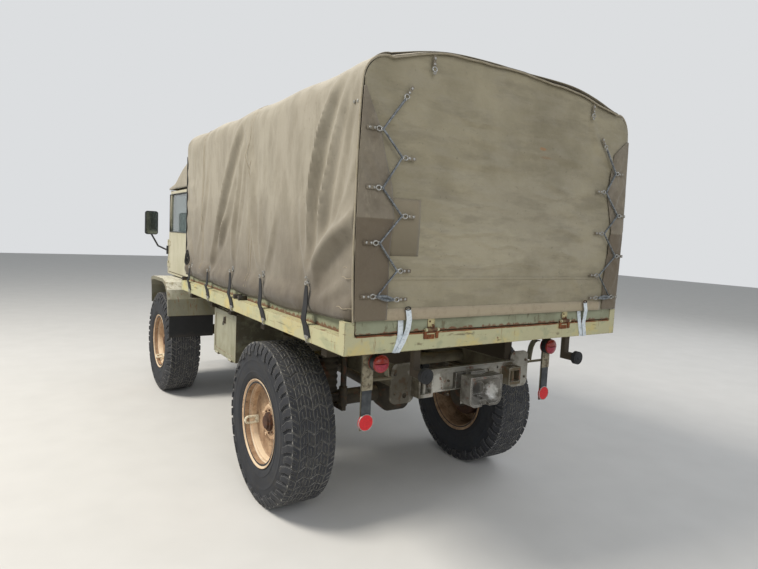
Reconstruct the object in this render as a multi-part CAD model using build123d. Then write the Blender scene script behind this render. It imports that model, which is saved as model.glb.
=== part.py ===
from build123d import *
from math import asin, cos, degrees, pi, radians, sin, sqrt
import os

# Light 4x4 military cargo truck with a covered load bed, in millimetres.
# X points to the truck's left, Y to its rear and Z up. The origin is on the ground, at the centre of its box.

# General clearances
FIT = 0.3            # between pieces that seat on each other
RUNNING = 5.0        # between pieces that move past each other
SHEET = 4.0          # pressed steel sheet with its returns

# Length, from the towing eyes to the tailgate's buffers
FRONT_OVERHANG = 900.0       # towing eyes to the front axle
AXLE_TO_CAB_REAR = 930.0
CAB_TO_BED = 134.0
BED_LENGTH = 2962.0
BUFFER_REACH = 74.0          # bed's rear rail to the buffers' faces
OVERALL_LENGTH = FRONT_OVERHANG + AXLE_TO_CAB_REAR + CAB_TO_BED + BED_LENGTH + BUFFER_REACH

# Axles and wheels
WHEELBASE = 2900.0
FRONT_AXLE_Y = FRONT_OVERHANG - OVERALL_LENGTH / 2
REAR_AXLE_Y = FRONT_AXLE_Y + WHEELBASE
TRACK = 1650.0
TYRE_RADIUS = 520.0
TYRE_WIDTH = 325.0
TREAD_WIDTH = 270.0
LUG_COUNT = 20            # lugs round each of the tread's two rows
LUG_HEIGHT = 15.0
LUG_SHARE = 0.62          # share of the pitch that a lug fills
LUG_SLANT = 4.0           # degrees that a lug turns across its row
RIM_RADIUS = 282.0       # over the flanges
RIM_WIDTH = 300.0
RIM_FLANGE = 8.0
RIM_WALL = 6.0
RIM_BARREL = 254.0
DISC_OFFSET = 50.0       # outer face of the wheel disc, outboard of the wheel's middle
DISC_THICKNESS = 10.0
DRUM_RADIUS = 170.0
DRUM_DEPTH = 105.0
HUB_RADIUS = 62.0
HUB_LENGTH = 34.0
SPINDLE_RADIUS = 35.7
PORTAL_DROP = 100.0      # axle tube above the wheel's centre
PORTAL_RADIUS = 100.0
PORTAL_WIDTH = 45.0
AXLE_TUBE_RADIUS = 55.0
DIFFERENTIAL_RADIUS = 150.0
DIFFERENTIAL_X = -60.0
TORQUE_TUBE_RADIUS = 45.0
TORQUE_FLANGE = 15.0
KINGPIN_X = 660.0
KINGPIN_RADIUS = 45.0
FORK_HALF_HEIGHT = 142.0
FORK_ARM = 25.0
FORK_BAR = 30.0
AXLE_Z = TYRE_RADIUS + PORTAL_DROP
WHEEL_X = TRACK / 2

# Frame rails: side outline as stations, channel section open inwards
RAIL_X = 400.0
RAIL_FLANGE = 60.0
RAIL_HEIGHT = 140.0
RAIL_WALL = 6.0
RAIL_REAR_Z = 860.0
RAIL_MIDDLE_Z = 760.0
RAIL_FRONT_Z = 820.0
RAIL_HORN_Z = 700.0
RAIL_REAR_END_Y = REAR_AXLE_Y + 830.0
RAIL_FRONT_END_Y = FRONT_AXLE_Y - 800.0
CROSSMEMBER_RADIUS = 38.0

# Springs and dampers
SPRING_X = 480.0
SPRING_RADIUS = 70.0
SPRING_WIRE = 18.0
SPRING_TURNS = 6
SPRING_SEAT = 15.0
DAMPER_X = 440.0
DAMPER_Y = 150.0
DAMPER_RADIUS = 28.0

# Engine and gearbox block
ENGINE_HALF_WIDTH = 240.0
ENGINE_FRONT_Y = FRONT_AXLE_Y - 580.0
ENGINE_STEP_Y = FRONT_AXLE_Y - 190.0
ENGINE_REAR_Y = FRONT_AXLE_Y + 300.0
ENGINE_BOTTOM_Z = 840.0
ENGINE_TOP_Z = 1380.0
ENGINE_LOW_TOP_Z = 1200.0
GEARBOX_HALF_WIDTH = 150.0
GEARBOX_REAR_Y = FRONT_AXLE_Y + 1050.0
GEARBOX_BOTTOM_Z = 620.0
GEARBOX_TOP_Z = 980.0
MOUNT_LENGTH = 60.0          # of each mount along the rail
MOUNT_HEIGHT = 40.0
ENGINE_MOUNT_SETBACK = 170.0
ENGINE_MOUNT_RISE = 10.0
GEARBOX_MOUNT_SETBACK = 150.0
GEARBOX_MOUNT_RISE = 40.0

# Load bed
BED_HALF_WIDTH = 1008.0
BED_FRONT_Y = FRONT_AXLE_Y + AXLE_TO_CAB_REAR + CAB_TO_BED
BED_REAR_Y = BED_FRONT_Y + BED_LENGTH
BED_BOTTOM_Z = 1188.0
BED_RAIL_HEIGHT = 86.0
BED_TOP_Z = BED_BOTTOM_Z + BED_RAIL_HEIGHT
BED_RAIL_WIDTH = 50.0
FLOOR_THICKNESS = 24.0
DECK_THICKNESS = 6.0
BEARER_HEIGHT = 60.0
BEARER_WIDTH = 60.0
BEARER_Z = BED_BOTTOM_Z - BEARER_HEIGHT
REAR_BEARER_Y = BED_REAR_Y - 286.0
BOARD_HEIGHT = 500.0
BOARD_THICKNESS = 30.0
BOARD_X = 955.0
BOARD_TOP_Z = BED_TOP_Z + BOARD_HEIGHT
POST_WIDTH = 51.0
POST_DEPTH = 55.0
POST_TOP_Z = 1345.0

# Tailgate and its hinge
GATE_CLEARANCE = 10.0        # over the rear rail
GATE_REAR_Y = BED_REAR_Y - 1.0
GATE_HINGE_Y = BED_REAR_Y + 10.0
GATE_HINGE_Z = BED_TOP_Z + 16.0
GATE_HINGE_RADIUS = 9.0
GATE_HINGE_X = 510.0
GATE_HINGE_LENGTH = 60.0
GATE_LUG_WIDTH = 14.0        # bed's hinge lug at each end of a knuckle
GATE_STRAP_WIDTH = 44.0      # hinge strap that runs up the gate
GATE_STRAP_THICKNESS = 4.0

# Fabric cover over the bed
COVER_HALF_WIDTH = 970.0
COVER_THICKNESS = 12.0
COVER_FRONT_Y = BED_FRONT_Y - 12.0
COVER_REAR_Y = BED_REAR_Y + 4.0
COVER_BOTTOM_Z = 1372.0
COVER_SHOULDER_Z = 2426.0
COVER_SHOULDER_RADIUS = 140.0
COVER_CROWN_Z = 2657.0
CURTAIN_THICKNESS = 17.7
CURTAIN_BOTTOM_Z = 1345.0
BOW_WIDTH = 30.0
BOW_DEPTH = 30.0
STRAP_WIDTH = 32.0
STRAP_THICKNESS = 7.0
STRAP_TOP_Z = 1470.0

# Cab
CAB_HALF_WIDTH = 860.0
CAB_FLOOR_Z = 1236.0
CAB_WALL = 20.0
CAB_FRONT_Y = FRONT_AXLE_Y - 160.0
CAB_REAR_Y = FRONT_AXLE_Y + AXLE_TO_CAB_REAR
CAB_SCUTTLE_Z = 1600.0
CAB_TOP_Z = 2130.0
PILLAR_WIDTH = 45.0
DOOR_THICKNESS = 30.0
DOOR_FRONT_Y = CAB_FRONT_Y + 55.0
DOOR_REAR_Y = CAB_REAR_Y - 95.0
DOOR_BOTTOM_Z = 1262.0
DOOR_BELT_Z = 1685.0
DOOR_TOP_Z = 2112.0
DOOR_FRAME = 28.0
DOOR_HINGE_RADIUS = 8.0
HANDLE_LENGTH = 110.0
HANDLE_REACH = 24.0
HANDLE_DROP = 85.0           # below the window's lower edge
DOOR_HINGE_LENGTH = 45.0
GLASS = 5.0
SCREEN_RAKE = 7.0
SCREEN_DEPTH = 30.0
SCREEN_BAR = 45.0
TOP_THICKNESS = 12.0
TOP_EDGE_RADIUS = 30.0
REAR_WINDOW_HALF_WIDTH = 380.0
REAR_WINDOW_HEIGHT = 330.0
REAR_WINDOW_DROP = 80.0      # window's top below the cab's top edge

# Front end
NOSE_Y = FRONT_AXLE_Y - 740.0
NOSE_HALF_WIDTH = 520.0
NOSE_BOTTOM_Z = 860.0
NOSE_TOP_Z = 1385.0
NOSE_DEPTH = 20.0
HEADLAMP_X = 405.0
HEADLAMP_Z = 1090.0
HEADLAMP_RADIUS = 95.0
HEADLAMP_RIM = 10.0
BONNET_REAR_HALF_WIDTH = 433.0
BONNET_FRONT_HALF_WIDTH = 420.0
BONNET_REAR_Z = 1560.0
BONNET_FRONT_Z = 1445.0
BONNET_REAR_LOW_Z = 1300.0
BONNET_FRONT_LOW_Z = 1392.0
BONNET_REAR_Y = CAB_FRONT_Y - RUNNING - 4
BONNET_FRONT_Y = NOSE_Y + 26.0
BONNET_HINGE_Y = CAB_FRONT_Y - 8.0
BONNET_HINGE_Z = 1584.0
BONNET_HINGE_RADIUS = 8.0
BONNET_HINGE_X = 250.0
BONNET_LUG_WIDTH = 30.0
BONNET_LUG_ROOT = 24.0       # cab's hinge lugs reach this far below its scuttle
BONNET_THICKNESS = 12.0
BUMPER_HALF_WIDTH = 860.0
BUMPER_DEPTH = 40.0
BUMPER_HEIGHT = 150.0
BUMPER_FRONT_Y = RAIL_FRONT_END_Y - BUMPER_DEPTH
TOW_EYE_X = 330.0
TOW_EYE_BORE = 15.0
TOW_EYE_THICKNESS = 30.0
TOW_EYE_HALF_WIDTH = 45.0

# Steering wheel
STEERING_X = 380.0
STEERING_RADIUS = 210.0
STEERING_RAKE = 27.0         # degrees

# Fenders and flaps
FENDER_X = 1025.0
FENDER_INNER_X = 440.0
FENDER_THICKNESS = 12.0
FENDER_LIP = 34.0
FENDER_REACH = 640.0          # axle to the fender's rear end
FENDER_RISE = 344.0           # lower edge to its top
FENDER_REAR_Y = FRONT_AXLE_Y + FENDER_REACH
FENDER_BOTTOM_Z = 880.0
FLAP_BOTTOM_Z = 670.0
FLAP_THICKNESS = 10.0

# Mirrors
MIRROR_X = 1025.0
MIRROR_Y = CAB_FRONT_Y - 40.0
MIRROR_Z = (1650.0, 1900.0)
MIRROR_HALF_WIDTH = 65.0
MIRROR_CORNER = 25.0
MIRROR_DEPTH = 30.0
MIRROR_TUBE = 9.0
MIRROR_ARM_INSET = 70.0      # head's middle to the arm's bend
MIRROR_ARM_DROP = 120.0      # head's lower edge to the arm's bend
MIRROR_FOOT_REACH = 15.0     # off the cab's corner
MIRROR_FOOT_DROP = 160.0
MIRROR_CLAMP = (18.0, 24.0, 90.0)   # off the cab, width, height

# Stowage box on the left and fuel tank on the right
BOX_X = (550.0, 905.0)
BOX_Y = (REAR_AXLE_Y - 1130.0, REAR_AXLE_Y - 610.0)
BOX_BOTTOM_Z = 770.0
BOX_WALL = 5.0
BOX_DOOR_THICKNESS = 13.0
BOX_LATCH_DROP = 75.0
BOX_LATCH_SIZE = (30.0, 50.0)       # width, height
BOX_LATCH_REACH = 6.0
BOX_PRESS_MARGIN = 35.0      # rim round the door's pressed panel
BOX_PRESS_DEPTH = 3.0
BOX_PRESS_CORNER = 25.0
BOX_HINGE_RADIUS = 6.0
BOX_HINGE_LENGTH = 50.0
BOX_HINGE_STATIONS = [BOX_Y[0] + 90.0, BOX_Y[1] - 110.0]  # y
BOX_HINGE_X = BOX_X[1] + FIT + BOX_DOOR_THICKNESS + BOX_HINGE_RADIUS + 1
BOX_HINGE_Z = BOX_BOTTOM_Z + 2
TANK_X = (-900.0, -560.0)
TANK_Y = (REAR_AXLE_Y - 1150.0, REAR_AXLE_Y - 600.0)
TANK_BOTTOM_Z = 790.0
TANK_CORNER = 40.0
TANK_STRAP_WIDTH = 35.0
TANK_STRAP_THICKNESS = 4.0
TANK_CAP_RADIUS = 42.0

# Exhaust
SILENCER_RADIUS = 75.0
SILENCER_LENGTH = 540.0
SILENCER_OUT = 90.0          # its middle, outboard of the rail
SILENCER_TANK_GAP = 90.0
SILENCER_PIPE_RADIUS = 28.0
SILENCER_PIPES = (160.0, 70.0)      # front and rear pipe's length
SILENCER_BRACKET = 40.0

# Rear fittings
CROSS_FACE_Y = RAIL_REAR_END_Y + 20.0
JAW_HALF_WIDTH = 123.0
JAW_Z = (800.0, 975.0)
JAW_REAR_Y = CROSS_FACE_Y + 180.0
JAW_PIN_RADIUS = 15.0
JAW_NOTCH = 28.0             # half width of the notch in the lower lip
POCKET_HALF_WIDTH = 190.0    # recess in the crossmember that the jaw's plate sits in
POCKET_Z = (868.0, 966.0)
POCKET_DEPTH = 12.0
SIDE_PLATE_X = (380.0, 540.0)
SIDE_PLATE_Z = (820.0, 1050.0)
SIDE_PLATE_CORNER = 40.0
SHACKLE_X = (300.0, 400.0)
SHACKLE_Z = (860.0, 970.0)
SHACKLE_REACH = 65.0
SHACKLE_WALL = 10.0
BUFFER_X = 575.0
BUFFER_Z = 1070.0
BUFFER_RADIUS = 39.0
BUFFER_LENGTH = 25.0
LAMP_X = 662.0
LAMP_Z = 1080.0
LAMP_RADIUS = 47.0
REFLECTOR_X = 700.0
REFLECTOR_Z = 750.0
REFLECTOR_RADIUS = 45.0
HANGER_WIDTH = 65.0
HANGER_THICKNESS = 6.0
STAY_RADIUS = 8.0
STAY_Z = 975.0


# Shapes that the pieces share
def block(x, y, z):
    """A box between three (low, high) pairs."""
    return Pos(sum(x) / 2, sum(y) / 2, sum(z) / 2) * Box(x[1] - x[0], y[1] - y[0], z[1] - z[0])


def side_profile(points, x):
    """A (y, z) outline run across the truck."""
    face = make_face(Polyline([(x[0], py, pz) for py, pz in points], close=True))
    return extrude(face, x[1] - x[0], dir=(1, 0, 0))


def rear_profile(points, y):
    """An (x, z) outline run along the truck."""
    face = make_face(Polyline([(px, y[0], pz) for px, pz in points], close=True))
    return extrude(face, y[1] - y[0], dir=(0, 1, 0))


def plan_profile(points, z):
    """An (x, y) outline run upwards."""
    face = make_face(Polyline([(px, py, z[0]) for px, py in points], close=True))
    return extrude(face, z[1] - z[0], dir=(0, 0, 1))


def rod(start, end, radius):
    """A round bar between two points."""
    along = Vector(*end) - Vector(*start)
    return Solid.make_cylinder(radius, along.length, Plane(origin=start, z_dir=along))


def turned(points, centre):
    """An (x, radius) outline turned about an axle through a point."""
    face = make_face(Polyline([(px, 0, radius) for px, radius in points], close=True))
    return Pos(*centre) * revolve(face, Axis.X, 360)


def other_side(shape):
    """The same piece on the truck's other side."""
    return mirror(shape, about=Plane.YZ)


def fused(shapes):
    """Shapes welded into one."""
    whole = shapes[0]
    for shape in shapes[1:]:
        whole = whole + shape
    return whole


# Wheels
def make_rim():
    """Deep dished rim with its drum, about the wheel's middle, outboard towards +X."""
    half = RIM_WIDTH / 2
    inner = RIM_BARREL - RIM_WALL
    back = DISC_OFFSET - DISC_THICKNESS
    bore = SPINDLE_RADIUS + FIT
    hub = DISC_OFFSET + HUB_LENGTH
    outline = [
        (-half, RIM_RADIUS), (-half + RIM_FLANGE, RIM_RADIUS), (-half + RIM_FLANGE, RIM_BARREL),
        (half - RIM_FLANGE, RIM_BARREL), (half - RIM_FLANGE, RIM_RADIUS), (half, RIM_RADIUS), (half, inner),
        (DISC_OFFSET + 14, inner), (DISC_OFFSET, inner - 34), (DISC_OFFSET, HUB_RADIUS + 40),
        (DISC_OFFSET + HUB_LENGTH / 2, HUB_RADIUS + 30), (DISC_OFFSET + HUB_LENGTH / 2, HUB_RADIUS),
        (hub, HUB_RADIUS - 6), (hub, 0), (back, 0), (back, bore), (back - DRUM_DEPTH, bore),
        (back - DRUM_DEPTH, DRUM_RADIUS), (back, DRUM_RADIUS), (back, inner - 34),
        (DISC_OFFSET + 4, inner), (-half, inner),
    ]
    return turned(outline, (0, 0, 0))


def ring_outline(x, corners):
    """Closed outline across the axle through (angle in degrees, radius) corners."""
    points = [(x, radius * sin(radians(angle)), radius * cos(radians(angle))) for angle, radius in corners]
    return make_face(Polyline(points, close=True))


def round_station(x, radius):
    """Even outline with two corners for each lug, at a station across the wheel."""
    pitch = 360 / LUG_COUNT
    return ring_outline(x, [(turn * pitch, radius) for turn in range(LUG_COUNT)])


def lug_row(x, shift):
    """Row of slanted lugs between two stations, shifted round the tyre by a share of the pitch."""
    pitch = 360 / LUG_COUNT
    root = TYRE_RADIUS - LUG_HEIGHT - 8
    ends = []
    for station, slant in ((x[0], 0.0), (x[1], LUG_SLANT)):
        corners = []
        for turn in range(LUG_COUNT):
            start = (turn + shift) * pitch + slant
            stop = start + LUG_SHARE * pitch
            corners += [(start, root), (start, TYRE_RADIUS), (stop, TYRE_RADIUS), (stop, root)]
        ends.append(ring_outline(station, corners))
    return loft(ends, ruled=True)


def make_tyre():
    """Tyre with two rows of slanted lugs, about the wheel's middle."""
    bead = RIM_WIDTH / 2 - RIM_FLANGE - FIT
    seat = RIM_BARREL + FIT
    half = TYRE_WIDTH / 2
    tread = TREAD_WIDTH / 2
    side = [  # x, radius of the carcass
        (half, RIM_RADIUS + 100), (half - 12, TYRE_RADIUS - 30), (tread, TYRE_RADIUS - LUG_HEIGHT),
    ]
    carcass = loft([round_station(x, radius) for x, radius in side] +
                   [round_station(-x, radius) for x, radius in reversed(side)], ruled=True)
    for way in (1, -1):
        carcass -= loft([round_station(way * bead, RIM_RADIUS + 3), round_station(way * (half - 8), RIM_RADIUS + 20),
                         round_station(way * (half + 1), RIM_RADIUS + 104)], ruled=True)
    carcass += lug_row((6, tread), 0.0)
    carcass += lug_row((-6, -tread), 0.5)
    return carcass - rod((-half, 0, 0), (half, 0, 0), seat)


# Wheel table: name, side of the truck, axle
WHEELS = [
    ("front_left", 1, FRONT_AXLE_Y),
    ("front_right", -1, FRONT_AXLE_Y),
    ("rear_left", 1, REAR_AXLE_Y),
    ("rear_right", -1, REAR_AXLE_Y),
]


# Axles
PORTAL_X = KINGPIN_X + KINGPIN_RADIUS + RUNNING + 2
DISC_BACK_X = WHEEL_X + DISC_OFFSET - DISC_THICKNESS
HUB_INNER_X = DISC_BACK_X - DRUM_DEPTH


def make_portal(axle_y):
    """Portal gear case on the left with the wheel's spindle."""
    case_x = (PORTAL_X, PORTAL_X + PORTAL_WIDTH)
    return fused([
        rod((case_x[0], axle_y, AXLE_Z), (case_x[1], axle_y, AXLE_Z), PORTAL_RADIUS),
        rod((case_x[0], axle_y, TYRE_RADIUS), (case_x[1], axle_y, TYRE_RADIUS), PORTAL_RADIUS),
        block(case_x, (axle_y - PORTAL_RADIUS, axle_y + PORTAL_RADIUS), (TYRE_RADIUS, AXLE_Z)),
        rod((case_x[1], axle_y, TYRE_RADIUS), (DISC_BACK_X - FIT, axle_y, TYRE_RADIUS), SPINDLE_RADIUS),
    ])


DIFFERENTIAL_OUTLINE = [  # x, radius of the differential case
    (-DIFFERENTIAL_RADIUS, AXLE_TUBE_RADIUS),
    (-0.85 * DIFFERENTIAL_RADIUS, 0.6 * DIFFERENTIAL_RADIUS),
    (-0.4 * DIFFERENTIAL_RADIUS, 0.95 * DIFFERENTIAL_RADIUS),
    (0.4 * DIFFERENTIAL_RADIUS, 0.95 * DIFFERENTIAL_RADIUS),
    (0.85 * DIFFERENTIAL_RADIUS, 0.6 * DIFFERENTIAL_RADIUS),
    (DIFFERENTIAL_RADIUS, AXLE_TUBE_RADIUS),
    (DIFFERENTIAL_RADIUS, 0),
    (-DIFFERENTIAL_RADIUS, 0),
]


def make_axle_beam(axle_y, end_x, tube_end):
    """Axle tube with its differential, spring seats, damper brackets and torque tube."""
    seat_z = AXLE_Z + AXLE_TUBE_RADIUS
    way = 1 if tube_end[1] > axle_y else -1
    flange = (0, tube_end[1] - way * TORQUE_FLANGE, tube_end[2])
    pieces = [
        rod((-end_x, axle_y, AXLE_Z), (end_x, axle_y, AXLE_Z), AXLE_TUBE_RADIUS),
        turned(DIFFERENTIAL_OUTLINE, (DIFFERENTIAL_X, axle_y, AXLE_Z)),
        rod((0, axle_y, AXLE_Z), (0, flange[1] - way * TORQUE_FLANGE, flange[2]), TORQUE_TUBE_RADIUS),
        rod((0, flange[1] - way * 2 * TORQUE_FLANGE, flange[2]), tube_end, TORQUE_TUBE_RADIUS + 15),
    ]
    damper_side = 1 if axle_y > 0 else -1
    for side in (1, -1):
        pieces.append(Pos(side * SPRING_X, axle_y, seat_z)
                      * Cylinder(SPRING_RADIUS + 12, SPRING_SEAT, align=(Align.CENTER, Align.CENTER, Align.MAX)))
        reach = sorted((axle_y, axle_y + damper_side * (DAMPER_Y + 20)))
        pieces.append(block(sorted((side * (DAMPER_X - 15), side * (DAMPER_X + 15))), reach,
                            (AXLE_Z - 40, AXLE_Z - 10)))
    return fused(pieces)


def make_knuckle():
    """Left steering knuckle: kingpin barrel, web and portal case."""
    low = AXLE_Z - FORK_HALF_HEIGHT - 15
    high = AXLE_Z + FORK_HALF_HEIGHT - 60
    barrel = rod((KINGPIN_X, FRONT_AXLE_Y, low + FIT), (KINGPIN_X, FRONT_AXLE_Y, high - FIT), KINGPIN_RADIUS)
    web = block((KINGPIN_X, PORTAL_X), (FRONT_AXLE_Y - 30, FRONT_AXLE_Y + 30), (low + 20, high - 20))
    return fused([barrel, web, make_portal(FRONT_AXLE_Y)])


def make_fork():
    """Left end of the front axle that holds the kingpin."""
    low = AXLE_Z - FORK_HALF_HEIGHT - 15
    high = AXLE_Z + FORK_HALF_HEIGHT - 60
    bar_x = (KINGPIN_X - KINGPIN_RADIUS - 10 - FORK_BAR, KINGPIN_X - KINGPIN_RADIUS - 10)
    across = (FRONT_AXLE_Y - KINGPIN_RADIUS + 5, FRONT_AXLE_Y + KINGPIN_RADIUS - 5)
    pieces = [block(bar_x, across, (low - FORK_ARM, high + FORK_ARM))]
    for z in ((low - FORK_ARM, low), (high, high + FORK_ARM)):
        pieces.append(block((bar_x[0], KINGPIN_X), across, z))
        pieces.append(rod((KINGPIN_X, FRONT_AXLE_Y, z[0]), (KINGPIN_X, FRONT_AXLE_Y, z[1]), KINGPIN_RADIUS - 5))
    return fused(pieces)


# Frame
RAIL_STATIONS = [  # y, underside z
    (RAIL_FRONT_END_Y, RAIL_HORN_Z),
    (RAIL_FRONT_END_Y + 180, RAIL_HORN_Z + 30),
    (FRONT_AXLE_Y - 280, RAIL_FRONT_Z),
    (FRONT_AXLE_Y + 330, RAIL_FRONT_Z),
    (FRONT_AXLE_Y + 560, RAIL_MIDDLE_Z),
    (REAR_AXLE_Y - 800, RAIL_MIDDLE_Z),
    (REAR_AXLE_Y - 520, RAIL_REAR_Z),
    (RAIL_REAR_END_Y, RAIL_REAR_Z),
]


def rail_underside(y):
    """Height of the rail's underside at a station along the truck."""
    for (y0, z0), (y1, z1) in zip(RAIL_STATIONS, RAIL_STATIONS[1:]):
        if y0 <= y <= y1:
            return z0 + (z1 - z0) * (y - y0) / (y1 - y0)
    return RAIL_STATIONS[-1][1]


def make_rail():
    """Left frame rail, a channel open inwards, with its two spring towers."""
    lower = [(y, z) for y, z in RAIL_STATIONS]
    upper = [(y, z + RAIL_HEIGHT) for y, z in reversed(RAIL_STATIONS)]
    pocket_lower = [(y, z + RAIL_WALL) for y, z in RAIL_STATIONS]
    pocket_upper = [(y, z + RAIL_HEIGHT - RAIL_WALL) for y, z in reversed(RAIL_STATIONS)]
    rail = side_profile(lower + upper, (RAIL_X - RAIL_FLANGE, RAIL_X))
    rail -= side_profile(pocket_lower + pocket_upper, (RAIL_X - RAIL_FLANGE, RAIL_X - RAIL_WALL))
    for axle_y in (FRONT_AXLE_Y, REAR_AXLE_Y):
        top = rail_underside(axle_y) + RAIL_HEIGHT
        reach = SPRING_X + SPRING_RADIUS + 15
        width = (axle_y - SPRING_RADIUS - 15, axle_y + SPRING_RADIUS + 15)
        rail += block((RAIL_X, reach), width, (top - SPRING_TOWER, top - SPRING_TOWER + 12))
        rail += rear_profile([(RAIL_X, top - SPRING_TOWER + 12), (reach, top - SPRING_TOWER + 12), (RAIL_X, top)],
                             (axle_y - 6, axle_y + 6))
    return rail


SPRING_TOWER = 70.0
CROSSMEMBER_STATIONS = [  # y
    FRONT_AXLE_Y - 650.0,
    FRONT_AXLE_Y + 420.0,
    FRONT_AXLE_Y + 1180.0,
    REAR_AXLE_Y - 1000.0,
    REAR_AXLE_Y + 350.0,
]


def make_spring(axle_y, side):
    """Coil spring drawn as a turned bellows of its own turns."""
    bottom = AXLE_Z + AXLE_TUBE_RADIUS + FIT
    top = rail_underside(axle_y) + RAIL_HEIGHT - SPRING_TOWER - FIT
    pitch = (top - bottom) / SPRING_TURNS
    outline = [(0, SPRING_RADIUS - SPRING_WIRE)]
    for turn in range(SPRING_TURNS):
        outline.append((turn * pitch, SPRING_RADIUS - SPRING_WIRE / 2))
        outline.append(((turn + 0.5) * pitch, SPRING_RADIUS))
    outline.append((SPRING_TURNS * pitch, SPRING_RADIUS - SPRING_WIRE / 2))
    outline.append((SPRING_TURNS * pitch, SPRING_RADIUS - SPRING_WIRE))
    face = make_face(Polyline([(radius, 0, z) for z, radius in outline], close=True))
    return Pos(side * SPRING_X, axle_y, bottom) * revolve(face, Axis.Z, 360)


def make_damper(axle_y, side):
    """Telescopic damper between the axle's bracket and the rail."""
    way = 1 if axle_y > 0 else -1
    foot = (side * DAMPER_X, axle_y + way * DAMPER_Y, AXLE_Z - 10 + FIT)
    middle = (side * DAMPER_X, axle_y + way * DAMPER_Y, AXLE_Z + 120)
    head_z = rail_underside(axle_y + way * DAMPER_Y) + RAIL_HEIGHT - 40
    head = (side * DAMPER_X, axle_y + way * DAMPER_Y, head_z)
    pin = (side * (RAIL_X + FIT), axle_y + way * DAMPER_Y, head_z - 15)
    return fused([
        rod(foot, middle, DAMPER_RADIUS),
        rod(middle, head, DAMPER_RADIUS - 8),
        rod(pin, (side * DAMPER_X, pin[1], pin[2]), 12),
    ])


# Cover section over the bed, as an (x, z) outline pushed inwards by an inset
def cover_section(inset, bottom):
    """Half-round shouldered arch of the cover, its bows and its curtain."""
    half = COVER_HALF_WIDTH - inset
    radius = COVER_SHOULDER_RADIUS - min(inset, COVER_SHOULDER_RADIUS - 20)
    crown = COVER_CROWN_Z - inset
    shoulder = COVER_SHOULDER_Z
    wall_left = Line((half, 0, bottom), (half, 0, shoulder))
    bend_left = ThreePointArc((half, 0, shoulder), (half - radius * 0.2, 0, shoulder + radius * 0.58),
                              (half - radius, 0, shoulder + radius))
    roof = ThreePointArc((half - radius, 0, shoulder + radius), (0, 0, crown), (radius - half, 0, shoulder + radius))
    bend_right = ThreePointArc((radius - half, 0, shoulder + radius),
                               (radius * 0.2 - half, 0, shoulder + radius * 0.58), (-half, 0, shoulder))
    wall_right = Line((-half, 0, shoulder), (-half, 0, bottom))
    hem = Line((-half, 0, bottom), (half, 0, bottom))
    return make_face([wall_left, bend_left, roof, bend_right, wall_right, hem])


def arch_solid(inset, bottom, y):
    """The cover's section run along the truck."""
    return extrude(Pos(0, y[0], 0) * cover_section(inset, bottom), y[1] - y[0], dir=(0, 1, 0))


BOW_STATIONS = [BED_FRONT_Y + part * BED_LENGTH for part in (0.022, 0.259, 0.498, 0.738, 0.971)]     # y
STRAP_STATIONS = [BED_FRONT_Y + part * BED_LENGTH for part in (0.0763, 0.2654, 0.4544, 0.6502, 0.8596)]  # y
BEARER_STATIONS = [BED_FRONT_Y + 136.0, BOX_Y[0] + 30.0, BOX_Y[1] - 30.0, REAR_AXLE_Y, REAR_BEARER_Y]    # y


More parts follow.
